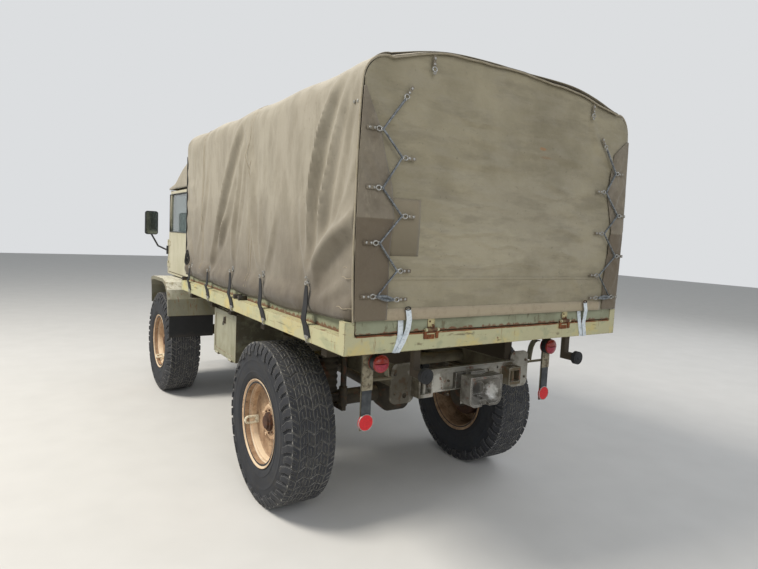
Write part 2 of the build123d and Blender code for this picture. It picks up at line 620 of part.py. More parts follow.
def make_bed_floor():
    """Floor with its rail frame, bearers, sub-rails, corner posts and buffer arms."""
    across = (-BED_HALF_WIDTH, BED_HALF_WIDTH)
    along = (BED_FRONT_Y, BED_REAR_Y)
    inside_x = (-BED_HALF_WIDTH + BED_RAIL_WIDTH, BED_HALF_WIDTH - BED_RAIL_WIDTH)
    inside_y = (BED_FRONT_Y + BED_RAIL_WIDTH, BED_REAR_Y - BED_RAIL_WIDTH)
    floor = block(across, along, (BED_BOTTOM_Z, BED_TOP_Z))
    floor -= block(inside_x, inside_y, (BED_BOTTOM_Z - 1, BED_TOP_Z - FLOOR_THICKNESS))
    deck_x = BOARD_X - BOARD_THICKNESS - 2
    deck_y = (BED_FRONT_Y + BOARD_THICKNESS + 5, GATE_REAR_Y - BOARD_THICKNESS - RUNNING)
    floor += block((-deck_x, deck_x), deck_y, (BED_TOP_Z, BED_TOP_Z + DECK_THICKNESS))
    for y in BEARER_STATIONS:
        floor += block(inside_x, (y - BEARER_WIDTH / 2, y + BEARER_WIDTH / 2), (BEARER_Z, BED_TOP_Z - FLOOR_THICKNESS))
    for side in (1, -1):
        x = sorted((side * (RAIL_X - RAIL_FLANGE), side * RAIL_X))
        rear = (BEARER_STATIONS[3] - BEARER_WIDTH / 2, RAIL_REAR_END_Y - RUNNING)
        floor += block(x, rear, (RAIL_REAR_Z + RAIL_HEIGHT + FIT, BEARER_Z))
        front = (BEARER_STATIONS[0] - BEARER_WIDTH / 2, BEARER_STATIONS[1] + BEARER_WIDTH / 2)
        floor += block(x, front, (RAIL_MIDDLE_Z + RAIL_HEIGHT + FIT, BEARER_Z))
        post_x = sorted((side * (BED_HALF_WIDTH - POST_WIDTH), side * BED_HALF_WIDTH))
        floor += block(post_x, (BED_REAR_Y - POST_DEPTH, BED_REAR_Y), (BED_TOP_Z, POST_TOP_Z))
        arm_x = sorted((side * (BUFFER_X - 20), side * (BUFFER_X + 20)))
        floor += block(arm_x, (BED_REAR_Y - 45, BED_REAR_Y - 15), (BUFFER_Z - 20, BED_BOTTOM_Z))
        floor += block(arm_x, (BED_REAR_Y - 20, BUFFER_FACE_Y - BUFFER_LENGTH), (BUFFER_Z - 20, BUFFER_Z + 20))
        for end in (1, -1):
            near = side * GATE_HINGE_X + end * (GATE_HINGE_LENGTH / 2 + FIT)
            lug_x = sorted((near, near + end * GATE_LUG_WIDTH))
            floor += rod((lug_x[0], GATE_HINGE_Y, GATE_HINGE_Z), (lug_x[1], GATE_HINGE_Y, GATE_HINGE_Z),
                         GATE_HINGE_RADIUS)
            floor += block(lug_x, (BED_REAR_Y - 12, BED_REAR_Y + 6), (BED_TOP_Z - 30, BED_TOP_Z + 8))
            floor += block(lug_x, (BED_REAR_Y, GATE_HINGE_Y), (BED_TOP_Z, GATE_HINGE_Z))
    return floor


BUFFER_FACE_Y = BED_REAR_Y + BUFFER_REACH


def make_tailgate():
    """Drop tailgate between the posts, with its hinge knuckles and straps."""
    gate_x = BED_HALF_WIDTH - POST_WIDTH - RUNNING
    bottom = BED_TOP_Z + GATE_CLEARANCE
    gate = block((-gate_x, gate_x), (GATE_REAR_Y - BOARD_THICKNESS, GATE_REAR_Y), (bottom, BOARD_TOP_Z))
    for side in (1, -1):
        x = sorted((side * (GATE_HINGE_X - GATE_HINGE_LENGTH / 2), side * (GATE_HINGE_X + GATE_HINGE_LENGTH / 2)))
        gate += rod((x[0], GATE_HINGE_Y, GATE_HINGE_Z), (x[1], GATE_HINGE_Y, GATE_HINGE_Z), GATE_HINGE_RADIUS)
        gate += block(x, (GATE_REAR_Y, GATE_HINGE_Y), (GATE_HINGE_Z - 3, GATE_HINGE_Z + 6))
        strap_x = (side * GATE_HINGE_X - GATE_STRAP_WIDTH / 2, side * GATE_HINGE_X + GATE_STRAP_WIDTH / 2)
        gate += block(strap_x, (GATE_REAR_Y, GATE_REAR_Y + GATE_STRAP_THICKNESS), (GATE_HINGE_Z, BOARD_TOP_Z))
    return gate


def make_bed_boards():
    """Side boards and headboard, which stand apart."""
    y = (BED_FRONT_Y + 3, GATE_REAR_Y - 55)
    left = block((BOARD_X - BOARD_THICKNESS, BOARD_X), y, (BED_TOP_Z, BOARD_TOP_Z))
    head_x = BOARD_X - BOARD_THICKNESS - FIT
    head = block((-head_x, head_x), (y[0], y[0] + BOARD_THICKNESS), (BED_TOP_Z, BOARD_TOP_Z))
    return [left, other_side(left), head]


def make_cover():
    """Roof, sides and front wall of the fabric cover."""
    outer = arch_solid(0, COVER_BOTTOM_Z, (COVER_FRONT_Y, COVER_REAR_Y))
    return outer - arch_solid(COVER_THICKNESS, COVER_BOTTOM_Z - 1, (COVER_FRONT_Y + COVER_THICKNESS, COVER_REAR_Y + 1))


def make_bow(y):
    """Bow of square tube that stands on the side boards."""
    span = (y - BOW_WIDTH / 2, y + BOW_WIDTH / 2)
    outer = arch_solid(COVER_THICKNESS + FIT, BOARD_TOP_Z, span)
    return outer - arch_solid(COVER_THICKNESS + FIT + BOW_DEPTH, BOARD_TOP_Z - 1, (span[0] - 1, span[1] + 1))


def make_side_strap(y):
    """Rubber strap from the cover's eyelet down over the rail to its hook."""
    near = COVER_HALF_WIDTH + FIT
    edge = BED_HALF_WIDTH + FIT
    thick = STRAP_THICKNESS
    under = BED_BOTTOM_Z - FIT
    outline = [
        (near, STRAP_TOP_Z), (near, BED_TOP_Z + 45), (edge, BED_TOP_Z + 4), (edge, under), (edge - 14, under),
        (edge - 14, under - thick), (edge + thick, under - thick), (edge + thick, BED_TOP_Z + 6),
        (near + thick, BED_TOP_Z + 50), (near + thick, STRAP_TOP_Z),
    ]
    return rear_profile(outline, (y - STRAP_WIDTH / 2, y + STRAP_WIDTH / 2))


CURTAIN_FACE_Y = COVER_REAR_Y + FIT + CURTAIN_THICKNESS
LACING_CURTAIN_X = 724.0
LACING_FLAP_X = 905.0
LACING_RADIUS = 5.0
LACING_STATIONS = [  # z at the curtain's anchor, z at the flap's anchor
    (2390.0, 2215.0),
    (2105.0, 1960.0),
    (1840.0, 1700.0),
    (1580.0, 1450.0),
    (1445.0, None),
]


def make_lacing():
    """Left zigzag of lacing rope with the plates that anchor it."""
    y = CURTAIN_FACE_Y + FIT + 3 + LACING_RADIUS
    points = []
    for curtain_z, flap_z in LACING_STATIONS:
        points.append((LACING_CURTAIN_X, y, curtain_z))
        if flap_z is not None:
            points.append((LACING_FLAP_X, y, flap_z))
    pieces = [rod(start, end, LACING_RADIUS) for start, end in zip(points, points[1:])]
    for x, _, z in points:
        pieces.append(block((x - 32, x + 32), (CURTAIN_FACE_Y + FIT, y), (z - 13, z + 13)))
    return fused(pieces)


WEBBING_X = 670.0
WEBBING_WIDTH = 30.0
WEBBING_THICKNESS = 3.0
WEBBING_TOP_Z = 1400.0


def make_webbing():
    """Left webbing strap from the curtain down over the rail, tucked under it."""
    far = CURTAIN_FACE_Y + FIT
    near = BED_REAR_Y + FIT
    t = WEBBING_THICKNESS
    under = BED_BOTTOM_Z - FIT
    outline = [
        (far, WEBBING_TOP_Z), (far, CURTAIN_BOTTOM_Z - 5), (near, BED_TOP_Z), (near, under), (near - 30, under),
        (near - 30, under - t), (near + t, under - t), (near + t, BED_TOP_Z), (far + t, CURTAIN_BOTTOM_Z - 5),
        (far + t, WEBBING_TOP_Z),
    ]
    return side_profile(outline, (WEBBING_X - WEBBING_WIDTH / 2, WEBBING_X + WEBBING_WIDTH / 2))


# Cab
def make_cab_body():
    """Hollow lower cab: floor, front and rear walls, pillars and mounts."""
    half = CAB_HALF_WIDTH
    inner = half - CAB_WALL
    cab = block((-half, half), (CAB_FRONT_Y, CAB_REAR_Y), (CAB_FLOOR_Z, CAB_FLOOR_Z + CAB_WALL))
    cab += block((-half, half), (CAB_FRONT_Y, CAB_FRONT_Y + CAB_WALL), (CAB_FLOOR_Z, CAB_SCUTTLE_Z))
    rear = block((-half, half), (CAB_REAR_Y - CAB_WALL, CAB_REAR_Y), (CAB_FLOOR_Z, CAB_TOP_Z))
    window_top = CAB_TOP_Z - REAR_WINDOW_DROP
    rear -= block((-REAR_WINDOW_HALF_WIDTH, REAR_WINDOW_HALF_WIDTH), (CAB_REAR_Y - CAB_WALL - 1, CAB_REAR_Y + 1),
                  (window_top - REAR_WINDOW_HEIGHT, window_top))
    cab += rear
    for side in (1, -1):
        wall = sorted((side * inner, side * half))
        cab += block(sorted((side * (half - DOOR_THICKNESS), side * half)), (CAB_FRONT_Y, DOOR_FRONT_Y - 10),
                     (CAB_FLOOR_Z, CAB_SCUTTLE_Z))
        cab += block(wall, (DOOR_REAR_Y + RUNNING, CAB_REAR_Y), (CAB_FLOOR_Z, CAB_TOP_Z))
        cab += block(wall, (FENDER_REAR_Y + 20, CAB_REAR_Y), (CAB_FLOOR_Z - 60, CAB_FLOOR_Z))
        lug_x = sorted((side * (BONNET_HINGE_X - BONNET_LUG_WIDTH), side * (BONNET_HINGE_X - FIT)))
        cab += rod((lug_x[0], BONNET_HINGE_Y, BONNET_HINGE_Z), (lug_x[1], BONNET_HINGE_Y, BONNET_HINGE_Z),
                   BONNET_HINGE_RADIUS)
        cab += block(lug_x, (BONNET_HINGE_Y, CAB_FRONT_Y),
                     (CAB_SCUTTLE_Z - BONNET_LUG_ROOT, BONNET_HINGE_Z + BONNET_HINGE_RADIUS))
        mount_x = sorted((side * (RAIL_X - RAIL_FLANGE), side * RAIL_X))
        for y in (CAB_MOUNT_FRONT_Y, CAB_MOUNT_REAR_Y):
            top = rail_underside(y) + RAIL_HEIGHT
            cab += block(mount_x, (y - 30, y + 30), (top + FIT, CAB_FLOOR_Z))
        for z in DOOR_HINGE_STATIONS:
            low = z + DOOR_HINGE_LENGTH / 2 + FIT
            cab += rod((side * DOOR_HINGE_X, DOOR_HINGE_Y, low), (side * DOOR_HINGE_X, DOOR_HINGE_Y, low + 20),
                       DOOR_HINGE_RADIUS)
            cab += block(sorted((side * half, side * (half + 6))), (DOOR_HINGE_Y - 40, DOOR_HINGE_Y), (low, low + 20))
    return cab


CAB_MOUNT_FRONT_Y = CAB_FRONT_Y + 70.0
CAB_MOUNT_REAR_Y = CAB_REAR_Y - 70.0
DOOR_HINGE_X = CAB_HALF_WIDTH + DOOR_HINGE_RADIUS
DOOR_HINGE_Y = DOOR_FRONT_Y - 6
DOOR_HINGE_STATIONS = [1330.0, 1560.0]  # z


def make_windscreen():
    """Windscreen frame with a middle post, leaning back, and its two panes."""
    half = CAB_HALF_WIDTH - 12
    height = CAB_TOP_Z - CAB_SCUTTLE_Z - 6
    frame = block((-half, half), (0, SCREEN_DEPTH), (0, height))
    pane_x = (SCREEN_BAR / 2, half - SCREEN_BAR)
    pane_z = (SCREEN_BAR, height - SCREEN_BAR)
    glass = []
    for side in (1, -1):
        x = sorted((side * pane_x[0], side * pane_x[1]))
        frame -= block(x, (-1, SCREEN_DEPTH + 1), pane_z)
        inner_x = (x[0] + FIT, x[1] - FIT)
        glass.append(block(inner_x, (SCREEN_DEPTH / 2, SCREEN_DEPTH / 2 + GLASS), (pane_z[0] + FIT, pane_z[1] - FIT)))
    place = Pos(0, CAB_FRONT_Y - 4, CAB_SCUTTLE_Z + FIT + 4) * Rot(-SCREEN_RAKE, 0, 0)
    return place * frame, [place * pane for pane in glass]


def make_door():
    """Left door: lower panel, window frame and hinge knuckles, and its pane."""
    x = (CAB_HALF_WIDTH - DOOR_THICKNESS, CAB_HALF_WIDTH)
    y = (DOOR_FRONT_Y, DOOR_REAR_Y)
    door = block(x, y, (DOOR_BOTTOM_Z, DOOR_TOP_Z))
    lean = (DOOR_TOP_Z - DOOR_BELT_Z) * sin(radians(SCREEN_RAKE))
    pane = [
        (y[0] + DOOR_FRAME, DOOR_BELT_Z), (y[1] - DOOR_FRAME, DOOR_BELT_Z),
        (y[1] - DOOR_FRAME, DOOR_TOP_Z - DOOR_FRAME), (y[0] + DOOR_FRAME + lean, DOOR_TOP_Z - DOOR_FRAME),
    ]
    door -= side_profile(pane, (x[0] - 1, x[1] + 1))
    door -= side_profile([(y[0] - 1, DOOR_BELT_Z), (y[0] - 1, DOOR_TOP_Z + 1), (y[0] + lean, DOOR_TOP_Z + 1)],
                         (x[0] - 1, x[1] + 1))
    handle_z = DOOR_BELT_Z - HANDLE_DROP
    grip_x = CAB_HALF_WIDTH + HANDLE_REACH
    for end_y in (y[1] - 60, y[1] - 60 - HANDLE_LENGTH):
        door += rod((x[1] - 1, end_y, handle_z), (grip_x, end_y, handle_z), 7)
        door += Pos(grip_x, end_y, handle_z) * Sphere(7)
    door += rod((grip_x, y[1] - 60 - HANDLE_LENGTH, handle_z), (grip_x, y[1] - 60, handle_z), 7)
    for z in DOOR_HINGE_STATIONS:
        low = z - DOOR_HINGE_LENGTH / 2
        door += rod((DOOR_HINGE_X, DOOR_HINGE_Y, low), (DOOR_HINGE_X, DOOR_HINGE_Y, low + DOOR_HINGE_LENGTH),
                    DOOR_HINGE_RADIUS)
        door += block((CAB_HALF_WIDTH, CAB_HALF_WIDTH + 6), (DOOR_HINGE_Y, DOOR_HINGE_Y + 60),
                      (low, low + DOOR_HINGE_LENGTH))
    middle = (x[0] + x[1]) / 2
    inset = [(pane[0][0] + FIT, pane[0][1] + FIT), (pane[1][0] - FIT, pane[1][1] + FIT),
             (pane[2][0] - FIT, pane[2][1] - FIT), (pane[3][0] + FIT, pane[3][1] - FIT)]
    return door, side_profile(inset, (middle - GLASS / 2, middle + GLASS / 2))


CAB_ROOF_STATIONS = [  # y, roof z at the side
    (CAB_FRONT_Y + 50, CAB_TOP_Z + 35),
    (CAB_REAR_Y - 790, CAB_TOP_Z + 95),
    (CAB_REAR_Y - 510, CAB_TOP_Z + 215),
    (CAB_REAR_Y - 230, CAB_TOP_Z + 295),
    (CAB_REAR_Y + 4, CAB_TOP_Z + 320),
]


def make_cab_top():
    """Soft roof of the cab, which rises towards the bed's cover."""
    half = CAB_HALF_WIDTH + 6
    bottom = CAB_TOP_Z + FIT
    outline = [(CAB_ROOF_STATIONS[0][0], bottom)] + CAB_ROOF_STATIONS + [(CAB_ROOF_STATIONS[-1][0], bottom)]
    outer = side_profile(outline, (-half, half))
    roof_edges = [edge for edge in outer.edges() if edge.center().Z > bottom + 20 and abs(edge.center().X) > half - 1]
    slopes = [edge for edge in roof_edges if abs(edge.tangent_at(0.5).Z) < 0.9]
    outer = fillet(slopes, TOP_EDGE_RADIUS)
    wall = TOP_THICKNESS
    hollow = [(CAB_ROOF_STATIONS[0][0] + wall, bottom - 1)]
    hollow += [(min(max(y, CAB_ROOF_STATIONS[0][0] + wall), CAB_ROOF_STATIONS[-1][0] - wall), z - wall)
               for y, z in CAB_ROOF_STATIONS]
    hollow.append((CAB_ROOF_STATIONS[-1][0] - wall, bottom - 1))
    return outer - side_profile(hollow, (-half + wall, half - wall))


def make_seat(side):
    """One seat: steel base, cushion and back."""
    x = sorted((side * 170.0, side * 670.0))
    rear = CAB_REAR_Y - 160
    base = block((x[0] + 30, x[1] - 30), (rear - 380, rear - 30), (CAB_FLOOR_Z + CAB_WALL, SEAT_Z))
    cushion = block(x, (rear - 420, rear), (SEAT_Z + FIT, SEAT_Z + 90))
    back = side_profile([(rear + FIT, SEAT_Z + 40), (rear + 70, SEAT_Z + 40), (rear + 120, SEAT_Z + 560),
                         (rear + 60, SEAT_Z + 560)], x)
    return base, [cushion, back]


SEAT_Z = CAB_FLOOR_Z + 234.0


FENDER_STATIONS = [  # share of the reach, share of the rise, and the inner face's shift along and down in sheets
    (-0.875, 0.0, 1.0, 0.0),
    (-0.83, 0.305, 0.8, 0.4),
    (-0.69, 0.625, 0.7, 0.75),
    (-0.44, 0.87, 0.3, 1.0),
    (-0.08, 0.98, 0.0, 1.0),
    (0.58, 1.0, 0.0, 1.0),
    (0.765, 0.92, -0.5, 1.0),
    (0.89, 0.725, -0.7, 0.8),
    (0.96, 0.465, -1.0, 0.4),
    (1.0, 0.0, -1.0, 0.0),
]


def fender_line(shift):
    """The fender's (y, z) line from front to rear, moved inwards by a shift."""
    return [(FRONT_AXLE_Y + along * FENDER_REACH + in_y * shift, FENDER_BOTTOM_Z + up * FENDER_RISE - in_z * shift)
            for along, up, in_y, in_z in FENDER_STATIONS]


def make_fender():
    """Left front fender: arch band, inner wall, foot on the rail and outer lip."""
    t = FENDER_THICKNESS
    arch = fender_line(0)
    fender = side_profile(arch + fender_line(t)[::-1], (FENDER_INNER_X, FENDER_X))
    fender += side_profile(arch + fender_line(FENDER_LIP)[::-1], (FENDER_X - t, FENDER_X))
    foot_z = RAIL_FRONT_Z + RAIL_HEIGHT + FIT
    wall_rear_y = BONNET_REAR_Y
    wall = [(NOSE_Y + NOSE_DEPTH + FIT, foot_z), (NOSE_Y + NOSE_DEPTH + FIT, BONNET_FRONT_LOW_Z - 6),
            (wall_rear_y, BONNET_REAR_LOW_Z - 6), (wall_rear_y, FENDER_BOTTOM_Z + FENDER_RISE - 1)]
    wall += [(y, z) for y, z in arch if wall_rear_y < y and z > foot_z]
    wall.append((FENDER_REAR_Y - 12, foot_z))
    fender += side_profile(wall, (FENDER_INNER_X, FENDER_INNER_X + t))
    taper = [(FENDER_X + 1, FRONT_AXLE_Y - 150), (FENDER_X + 1, FRONT_AXLE_Y - 700),
             (FENDER_X - 125, FRONT_AXLE_Y - 700), (FENDER_X - 80, FRONT_AXLE_Y - 550),
             (FENDER_X - 35, FRONT_AXLE_Y - 350), (FENDER_X - 13, FRONT_AXLE_Y - 250)]
    fender -= plan_profile(taper, (700, 1400))
    fender += block((RAIL_X - 30, FENDER_INNER_X + t), (CAB_MOUNT_FRONT_Y + 50, CAB_MOUNT_FRONT_Y + 290),
                    (foot_z, foot_z + 8))
    return fender


def make_flap():
    """Rubber flap below the fender's rear wall."""
    y = (FENDER_REAR_Y - FENDER_THICKNESS, FENDER_REAR_Y - FENDER_THICKNESS + FLAP_THICKNESS)
    return block((FENDER_INNER_X + 150, FENDER_X - 10), y, (FLAP_BOTTOM_Z, FENDER_BOTTOM_Z - FIT))


# Front end
def make_nose():
    """Front panel with grille slots and two lamp openings."""
    y = (NOSE_Y, NOSE_Y + NOSE_DEPTH)
    panel = block((-NOSE_HALF_WIDTH, NOSE_HALF_WIDTH), y, (NOSE_BOTTOM_Z, NOSE_TOP_Z))
    panel = fillet(panel.edges().filter_by(Axis.Y), 60)
    for row in range(GRILLE_SLOTS):
        z = 945.0 + row * 52
        panel -= block((-250, 250), (y[0] - 1, y[1] + 1), (z, z + 26))
    for side in (1, -1):
        panel -= rod((side * HEADLAMP_X, y[0] - 1, HEADLAMP_Z), (side * HEADLAMP_X, y[1] + 1, HEADLAMP_Z),
                     HEADLAMP_RADIUS + FIT)
        panel += block(sorted((side * (RAIL_X - RAIL_FLANGE), side * RAIL_X)), (y[0], y[1]),
                       (rail_underside(NOSE_Y) + RAIL_HEIGHT + 6, NOSE_BOTTOM_Z + 20))
    return panel


GRILLE_SLOTS = 8


def bonnet_section(y, half, top, low):
    """Outline of the bonnet across the truck at one station."""
    return make_face([
        Line((half, y, low), (half, y, top - 50)),
        ThreePointArc((half, y, top - 50), (half - 18, y, top - 20), (half - 70, y, top - 6)),
        ThreePointArc((half - 70, y, top - 6), (0, y, top + 14), (70 - half, y, top - 6)),
        ThreePointArc((70 - half, y, top - 6), (18 - half, y, top - 20), (-half, y, top - 50)),
        Line((-half, y, top - 50), (-half, y, low)),
        Line((-half, y, low), (half, y, low)),
    ])


def make_bonnet():
    """Bonnet lid: crowned shell, deeper at the cab, with its two hinge knuckles."""
    t = BONNET_THICKNESS
    outer = loft([
        bonnet_section(BONNET_FRONT_Y, BONNET_FRONT_HALF_WIDTH, BONNET_FRONT_Z, BONNET_FRONT_LOW_Z - 20),
        bonnet_section(BONNET_REAR_Y, BONNET_REAR_HALF_WIDTH, BONNET_REAR_Z, BONNET_REAR_LOW_Z - 20),
    ])
    inner = loft([
        bonnet_section(BONNET_FRONT_Y - 2, BONNET_FRONT_HALF_WIDTH - t, BONNET_FRONT_Z - t, BONNET_FRONT_LOW_Z - 30),
        bonnet_section(BONNET_REAR_Y + 2, BONNET_REAR_HALF_WIDTH - t, BONNET_REAR_Z - t, BONNET_REAR_LOW_Z - 30),
    ])
    below = [(BONNET_FRONT_Y - 50, BONNET_FRONT_LOW_Z), (BONNET_FRONT_Y, BONNET_FRONT_LOW_Z),
             (BONNET_REAR_Y, BONNET_REAR_LOW_Z), (BONNET_REAR_Y + 50, BONNET_REAR_LOW_Z),
             (BONNET_REAR_Y + 50, 1200), (BONNET_FRONT_Y - 50, 1200)]
    bonnet = outer - inner - side_profile(below, (-600, 600))
    for side in (1, -1):
        x = sorted((side * BONNET_HINGE_X, side * (BONNET_HINGE_X + 50)))
        bonnet += rod((x[0], BONNET_HINGE_Y, BONNET_HINGE_Z), (x[1], BONNET_HINGE_Y, BONNET_HINGE_Z),
                      BONNET_HINGE_RADIUS)
        bonnet += block(x, (BONNET_HINGE_Y - 30, BONNET_HINGE_Y), (BONNET_REAR_Z - t, BONNET_HINGE_Z - 2))
    return bonnet


EYE_FRONT_Y = -OVERALL_LENGTH / 2
TOW_EYE_Y = EYE_FRONT_Y + 28.0
TOW_EYE_Z = RAIL_HORN_Z + 55.0


def make_bumper():
    """Channel bumper on the rail horns, with two towing eyes."""
    z = (RAIL_HORN_Z - 5, RAIL_HORN_Z - 5 + BUMPER_HEIGHT)
    y = (BUMPER_FRONT_Y, BUMPER_FRONT_Y + BUMPER_DEPTH - FIT)
    bumper = block((-BUMPER_HALF_WIDTH, BUMPER_HALF_WIDTH), y, z)
    bumper = fillet(bumper.edges().filter_by(Axis.Z).group_by(Axis.Y)[0], 30)
    bumper -= block((-BUMPER_HALF_WIDTH + 8, BUMPER_HALF_WIDTH - 8), (y[0] + 8, y[1] + 1), (z[0] + 8, z[1] - 8))
    eye_z = (TOW_EYE_Z - TOW_EYE_THICKNESS / 2, TOW_EYE_Z + TOW_EYE_THICKNESS / 2)
    for side in (1, -1):
        horn_x = sorted((side * (RAIL_X - RAIL_FLANGE), side * RAIL_X))
        bumper += block(horn_x, (y[0] + 8, y[1]), (z[0] + 20, z[1] - 20))
        x = side * TOW_EYE_X
        eye = block((x - TOW_EYE_HALF_WIDTH, x + TOW_EYE_HALF_WIDTH), (EYE_FRONT_Y, y[0] + 4), eye_z)
        eye = fillet(eye.edges().filter_by(Axis.Z).group_by(Axis.Y)[0], 20)
        eye -= rod((x, TOW_EYE_Y, eye_z[0] - 1), (x, TOW_EYE_Y, eye_z[1] + 1), TOW_EYE_BORE)
        bumper += eye
    return bumper


# Rear fittings
def make_rear_crossmember():
    """Rear crossmember with its recess, end plates and shackle boxes."""
    face = CROSS_FACE_Y
    y = (RAIL_REAR_END_Y + FIT, face)
    top = RAIL_REAR_Z + RAIL_HEIGHT
    beam = block((-RAIL_X, RAIL_X), y, (RAIL_REAR_Z, top))
    beam += block((-RAIL_X, RAIL_X), (face, face + BEAM_LIP), (top - BEAM_LIP_THICKNESS, top))
    pocket = block((-POCKET_HALF_WIDTH, POCKET_HALF_WIDTH), (face - POCKET_DEPTH, face + 1), POCKET_Z)
    beam -= fillet(pocket.edges().filter_by(Axis.Y), POCKET_CORNER)
    for side in (1, -1):
        hole_x = side * (SHACKLE_X[0] - 40)
        beam -= rod((hole_x, face - POCKET_DEPTH, POCKET_Z[1]), (hole_x, face + 1, POCKET_Z[1]), BEAM_HOLE)
        plate = block(sorted((side * SIDE_PLATE_X[0], side * SIDE_PLATE_X[1])), (y[0], y[0] + 12), SIDE_PLATE_Z)
        plate = fillet(plate.edges().filter_by(Axis.Y), SIDE_PLATE_CORNER)
        hole = (side * (SIDE_PLATE_X[0] + 64), SIDE_PLATE_Z[0] + 44)
        plate -= rod((hole[0], y[0] - 1, hole[1]), (hole[0], face + 80, hole[1]), BRACKET_BORE)
        beam += plate
        wall = SHACKLE_WALL
        shackle = block(sorted((side * SHACKLE_X[0], side * SHACKLE_X[1])), (face, face + SHACKLE_REACH), SHACKLE_Z)
        shackle -= block(sorted((side * (SHACKLE_X[0] + wall), side * (SHACKLE_X[1] - wall))),
                         (face + wall, face + SHACKLE_REACH + 1), (SHACKLE_Z[0] + 2 * wall, SHACKLE_Z[1] - 2 * wall))
        pin_x = side * sum(SHACKLE_X) / 2
        shackle += rod((pin_x, face + 40, SHACKLE_Z[0]), (pin_x, face + 40, SHACKLE_Z[1] + 5), SHACKLE_PIN)
        beam += shackle
    return beam


BRACKET_BORE = 15.0
BEAM_LIP = 14.0
BEAM_LIP_THICKNESS = 6.0
BEAM_HOLE = 9.0
POCKET_CORNER = 18.0
SHACKLE_PIN = 12.0


def make_jaw():
    """Towing jaw: plate in the recess, shank, and a flared mouth with a notched lower lip and its latch housing."""
    face = CROSS_FACE_Y
    middle = sum(JAW_Z) / 2
    height = JAW_Z[1] - JAW_Z[0]
    plate = block((-90, 90), (face - POCKET_DEPTH + FIT, face + 15), (POCKET_Z[0] + FIT, POCKET_Z[1] - FIT))
    shank = rod((0, face + 10, middle), (0, JAW_REAR_Y - 90, middle), 45)
    body = block((-JAW_HALF_WIDTH, JAW_HALF_WIDTH), (JAW_REAR_Y - 85, JAW_REAR_Y), JAW_Z)
    body = fillet(body.edges().filter_by(Axis.Y).group_by(Axis.Z)[0], 45)
    neck = loft([
        Pos(0, JAW_REAR_Y - 84, middle) * Rot(90, 0, 0) * Rectangle(2 * JAW_HALF_WIDTH - 10, height - 10),
        Pos(0, JAW_REAR_Y - 125, middle) * Rot(90, 0, 0) * Rectangle(110, 90),
    ], ruled=True)
    mouth = loft([
        Pos(0, JAW_REAR_Y + 1, middle) * Rot(90, 0, 0) * RectangleRounded(2 * JAW_HALF_WIDTH - 26, height - 26, 34),
        Pos(0, JAW_REAR_Y - 75, middle) * Rot(90, 0, 0) * RectangleRounded(100, 70, 30),
    ], ruled=True)
    notch = rod((0, JAW_REAR_Y - 28, JAW_Z[0] + 30), (0, JAW_REAR_Y + 1, JAW_Z[0] + 30), JAW_NOTCH)
    notch += block((-JAW_NOTCH, JAW_NOTCH), (JAW_REAR_Y - 28, JAW_REAR_Y + 1), (JAW_Z[0] - 1, JAW_Z[0] + 30))
    housing = block((-55, 55), (JAW_REAR_Y - 120, JAW_REAR_Y - 75), (middle, JAW_Z[1] + 15))
    jaw = plate + shank + neck + body + housing - mouth - notch
    jaw -= rod((0, JAW_PIN_Y, JAW_Z[0] - 1), (0, JAW_PIN_Y, JAW_Z[1] + 1), JAW_PIN_RADIUS)
    return jaw


JAW_PIN_Y = JAW_REAR_Y - 50

nodes = {}

rim = make_rim()
tyre = make_tyre()
for name, side, axle_y in WHEELS:
    place = Pos(side * WHEEL_X, axle_y, TYRE_RADIUS)
    nodes["rim_" + name] = [place * (rim if side > 0 else other_side(rim))]
    nodes["tyre_" + name] = [place * (tyre if side > 0 else other_side(tyre))]

rail = make_rail()
nodes["frame_rails"] = [rail, other_side(rail)]
nodes["frame_crossmembers"] = [
    rod((-RAIL_X + RAIL_WALL + FIT, y, rail_underside(y) + RAIL_HEIGHT / 2),
        (RAIL_X - RAIL_WALL - FIT, y, rail_underside(y) + RAIL_HEIGHT / 2), CROSSMEMBER_RADIUS)
    for y in CROSSMEMBER_STATIONS
]
nodes["rear_crossmember"] = [make_rear_crossmember()]
nodes["towing_jaw"] = [make_jaw()]

engine = block((-ENGINE_HALF_WIDTH, ENGINE_HALF_WIDTH), (ENGINE_FRONT_Y, ENGINE_STEP_Y),
               (ENGINE_BOTTOM_Z, ENGINE_TOP_Z))
engine += block((-ENGINE_HALF_WIDTH, ENGINE_HALF_WIDTH), (ENGINE_STEP_Y, ENGINE_REAR_Y),
                (ENGINE_BOTTOM_Z, ENGINE_LOW_TOP_Z))
engine += block((-GEARBOX_HALF_WIDTH, GEARBOX_HALF_WIDTH), (ENGINE_REAR_Y, GEARBOX_REAR_Y),
                (GEARBOX_BOTTOM_Z, GEARBOX_TOP_Z))
mount_reach = RAIL_X - RAIL_WALL - FIT
for mount_y, mount_z in ((ENGINE_FRONT_Y + ENGINE_MOUNT_SETBACK, ENGINE_BOTTOM_Z + ENGINE_MOUNT_RISE),
                         (GEARBOX_REAR_Y - GEARBOX_MOUNT_SETBACK, RAIL_MIDDLE_Z + GEARBOX_MOUNT_RISE)):
    engine += block((-mount_reach, mount_reach), (mount_y, mount_y + MOUNT_LENGTH), (mount_z, mount_z + MOUNT_HEIGHT))
for y in CROSSMEMBER_STATIONS:
    z = rail_underside(y) + RAIL_HEIGHT / 2
    engine -= rod((-RAIL_X, y, z), (RAIL_X, y, z), CROSSMEMBER_RADIUS + 2)
nodes["engine_block"] = [engine]

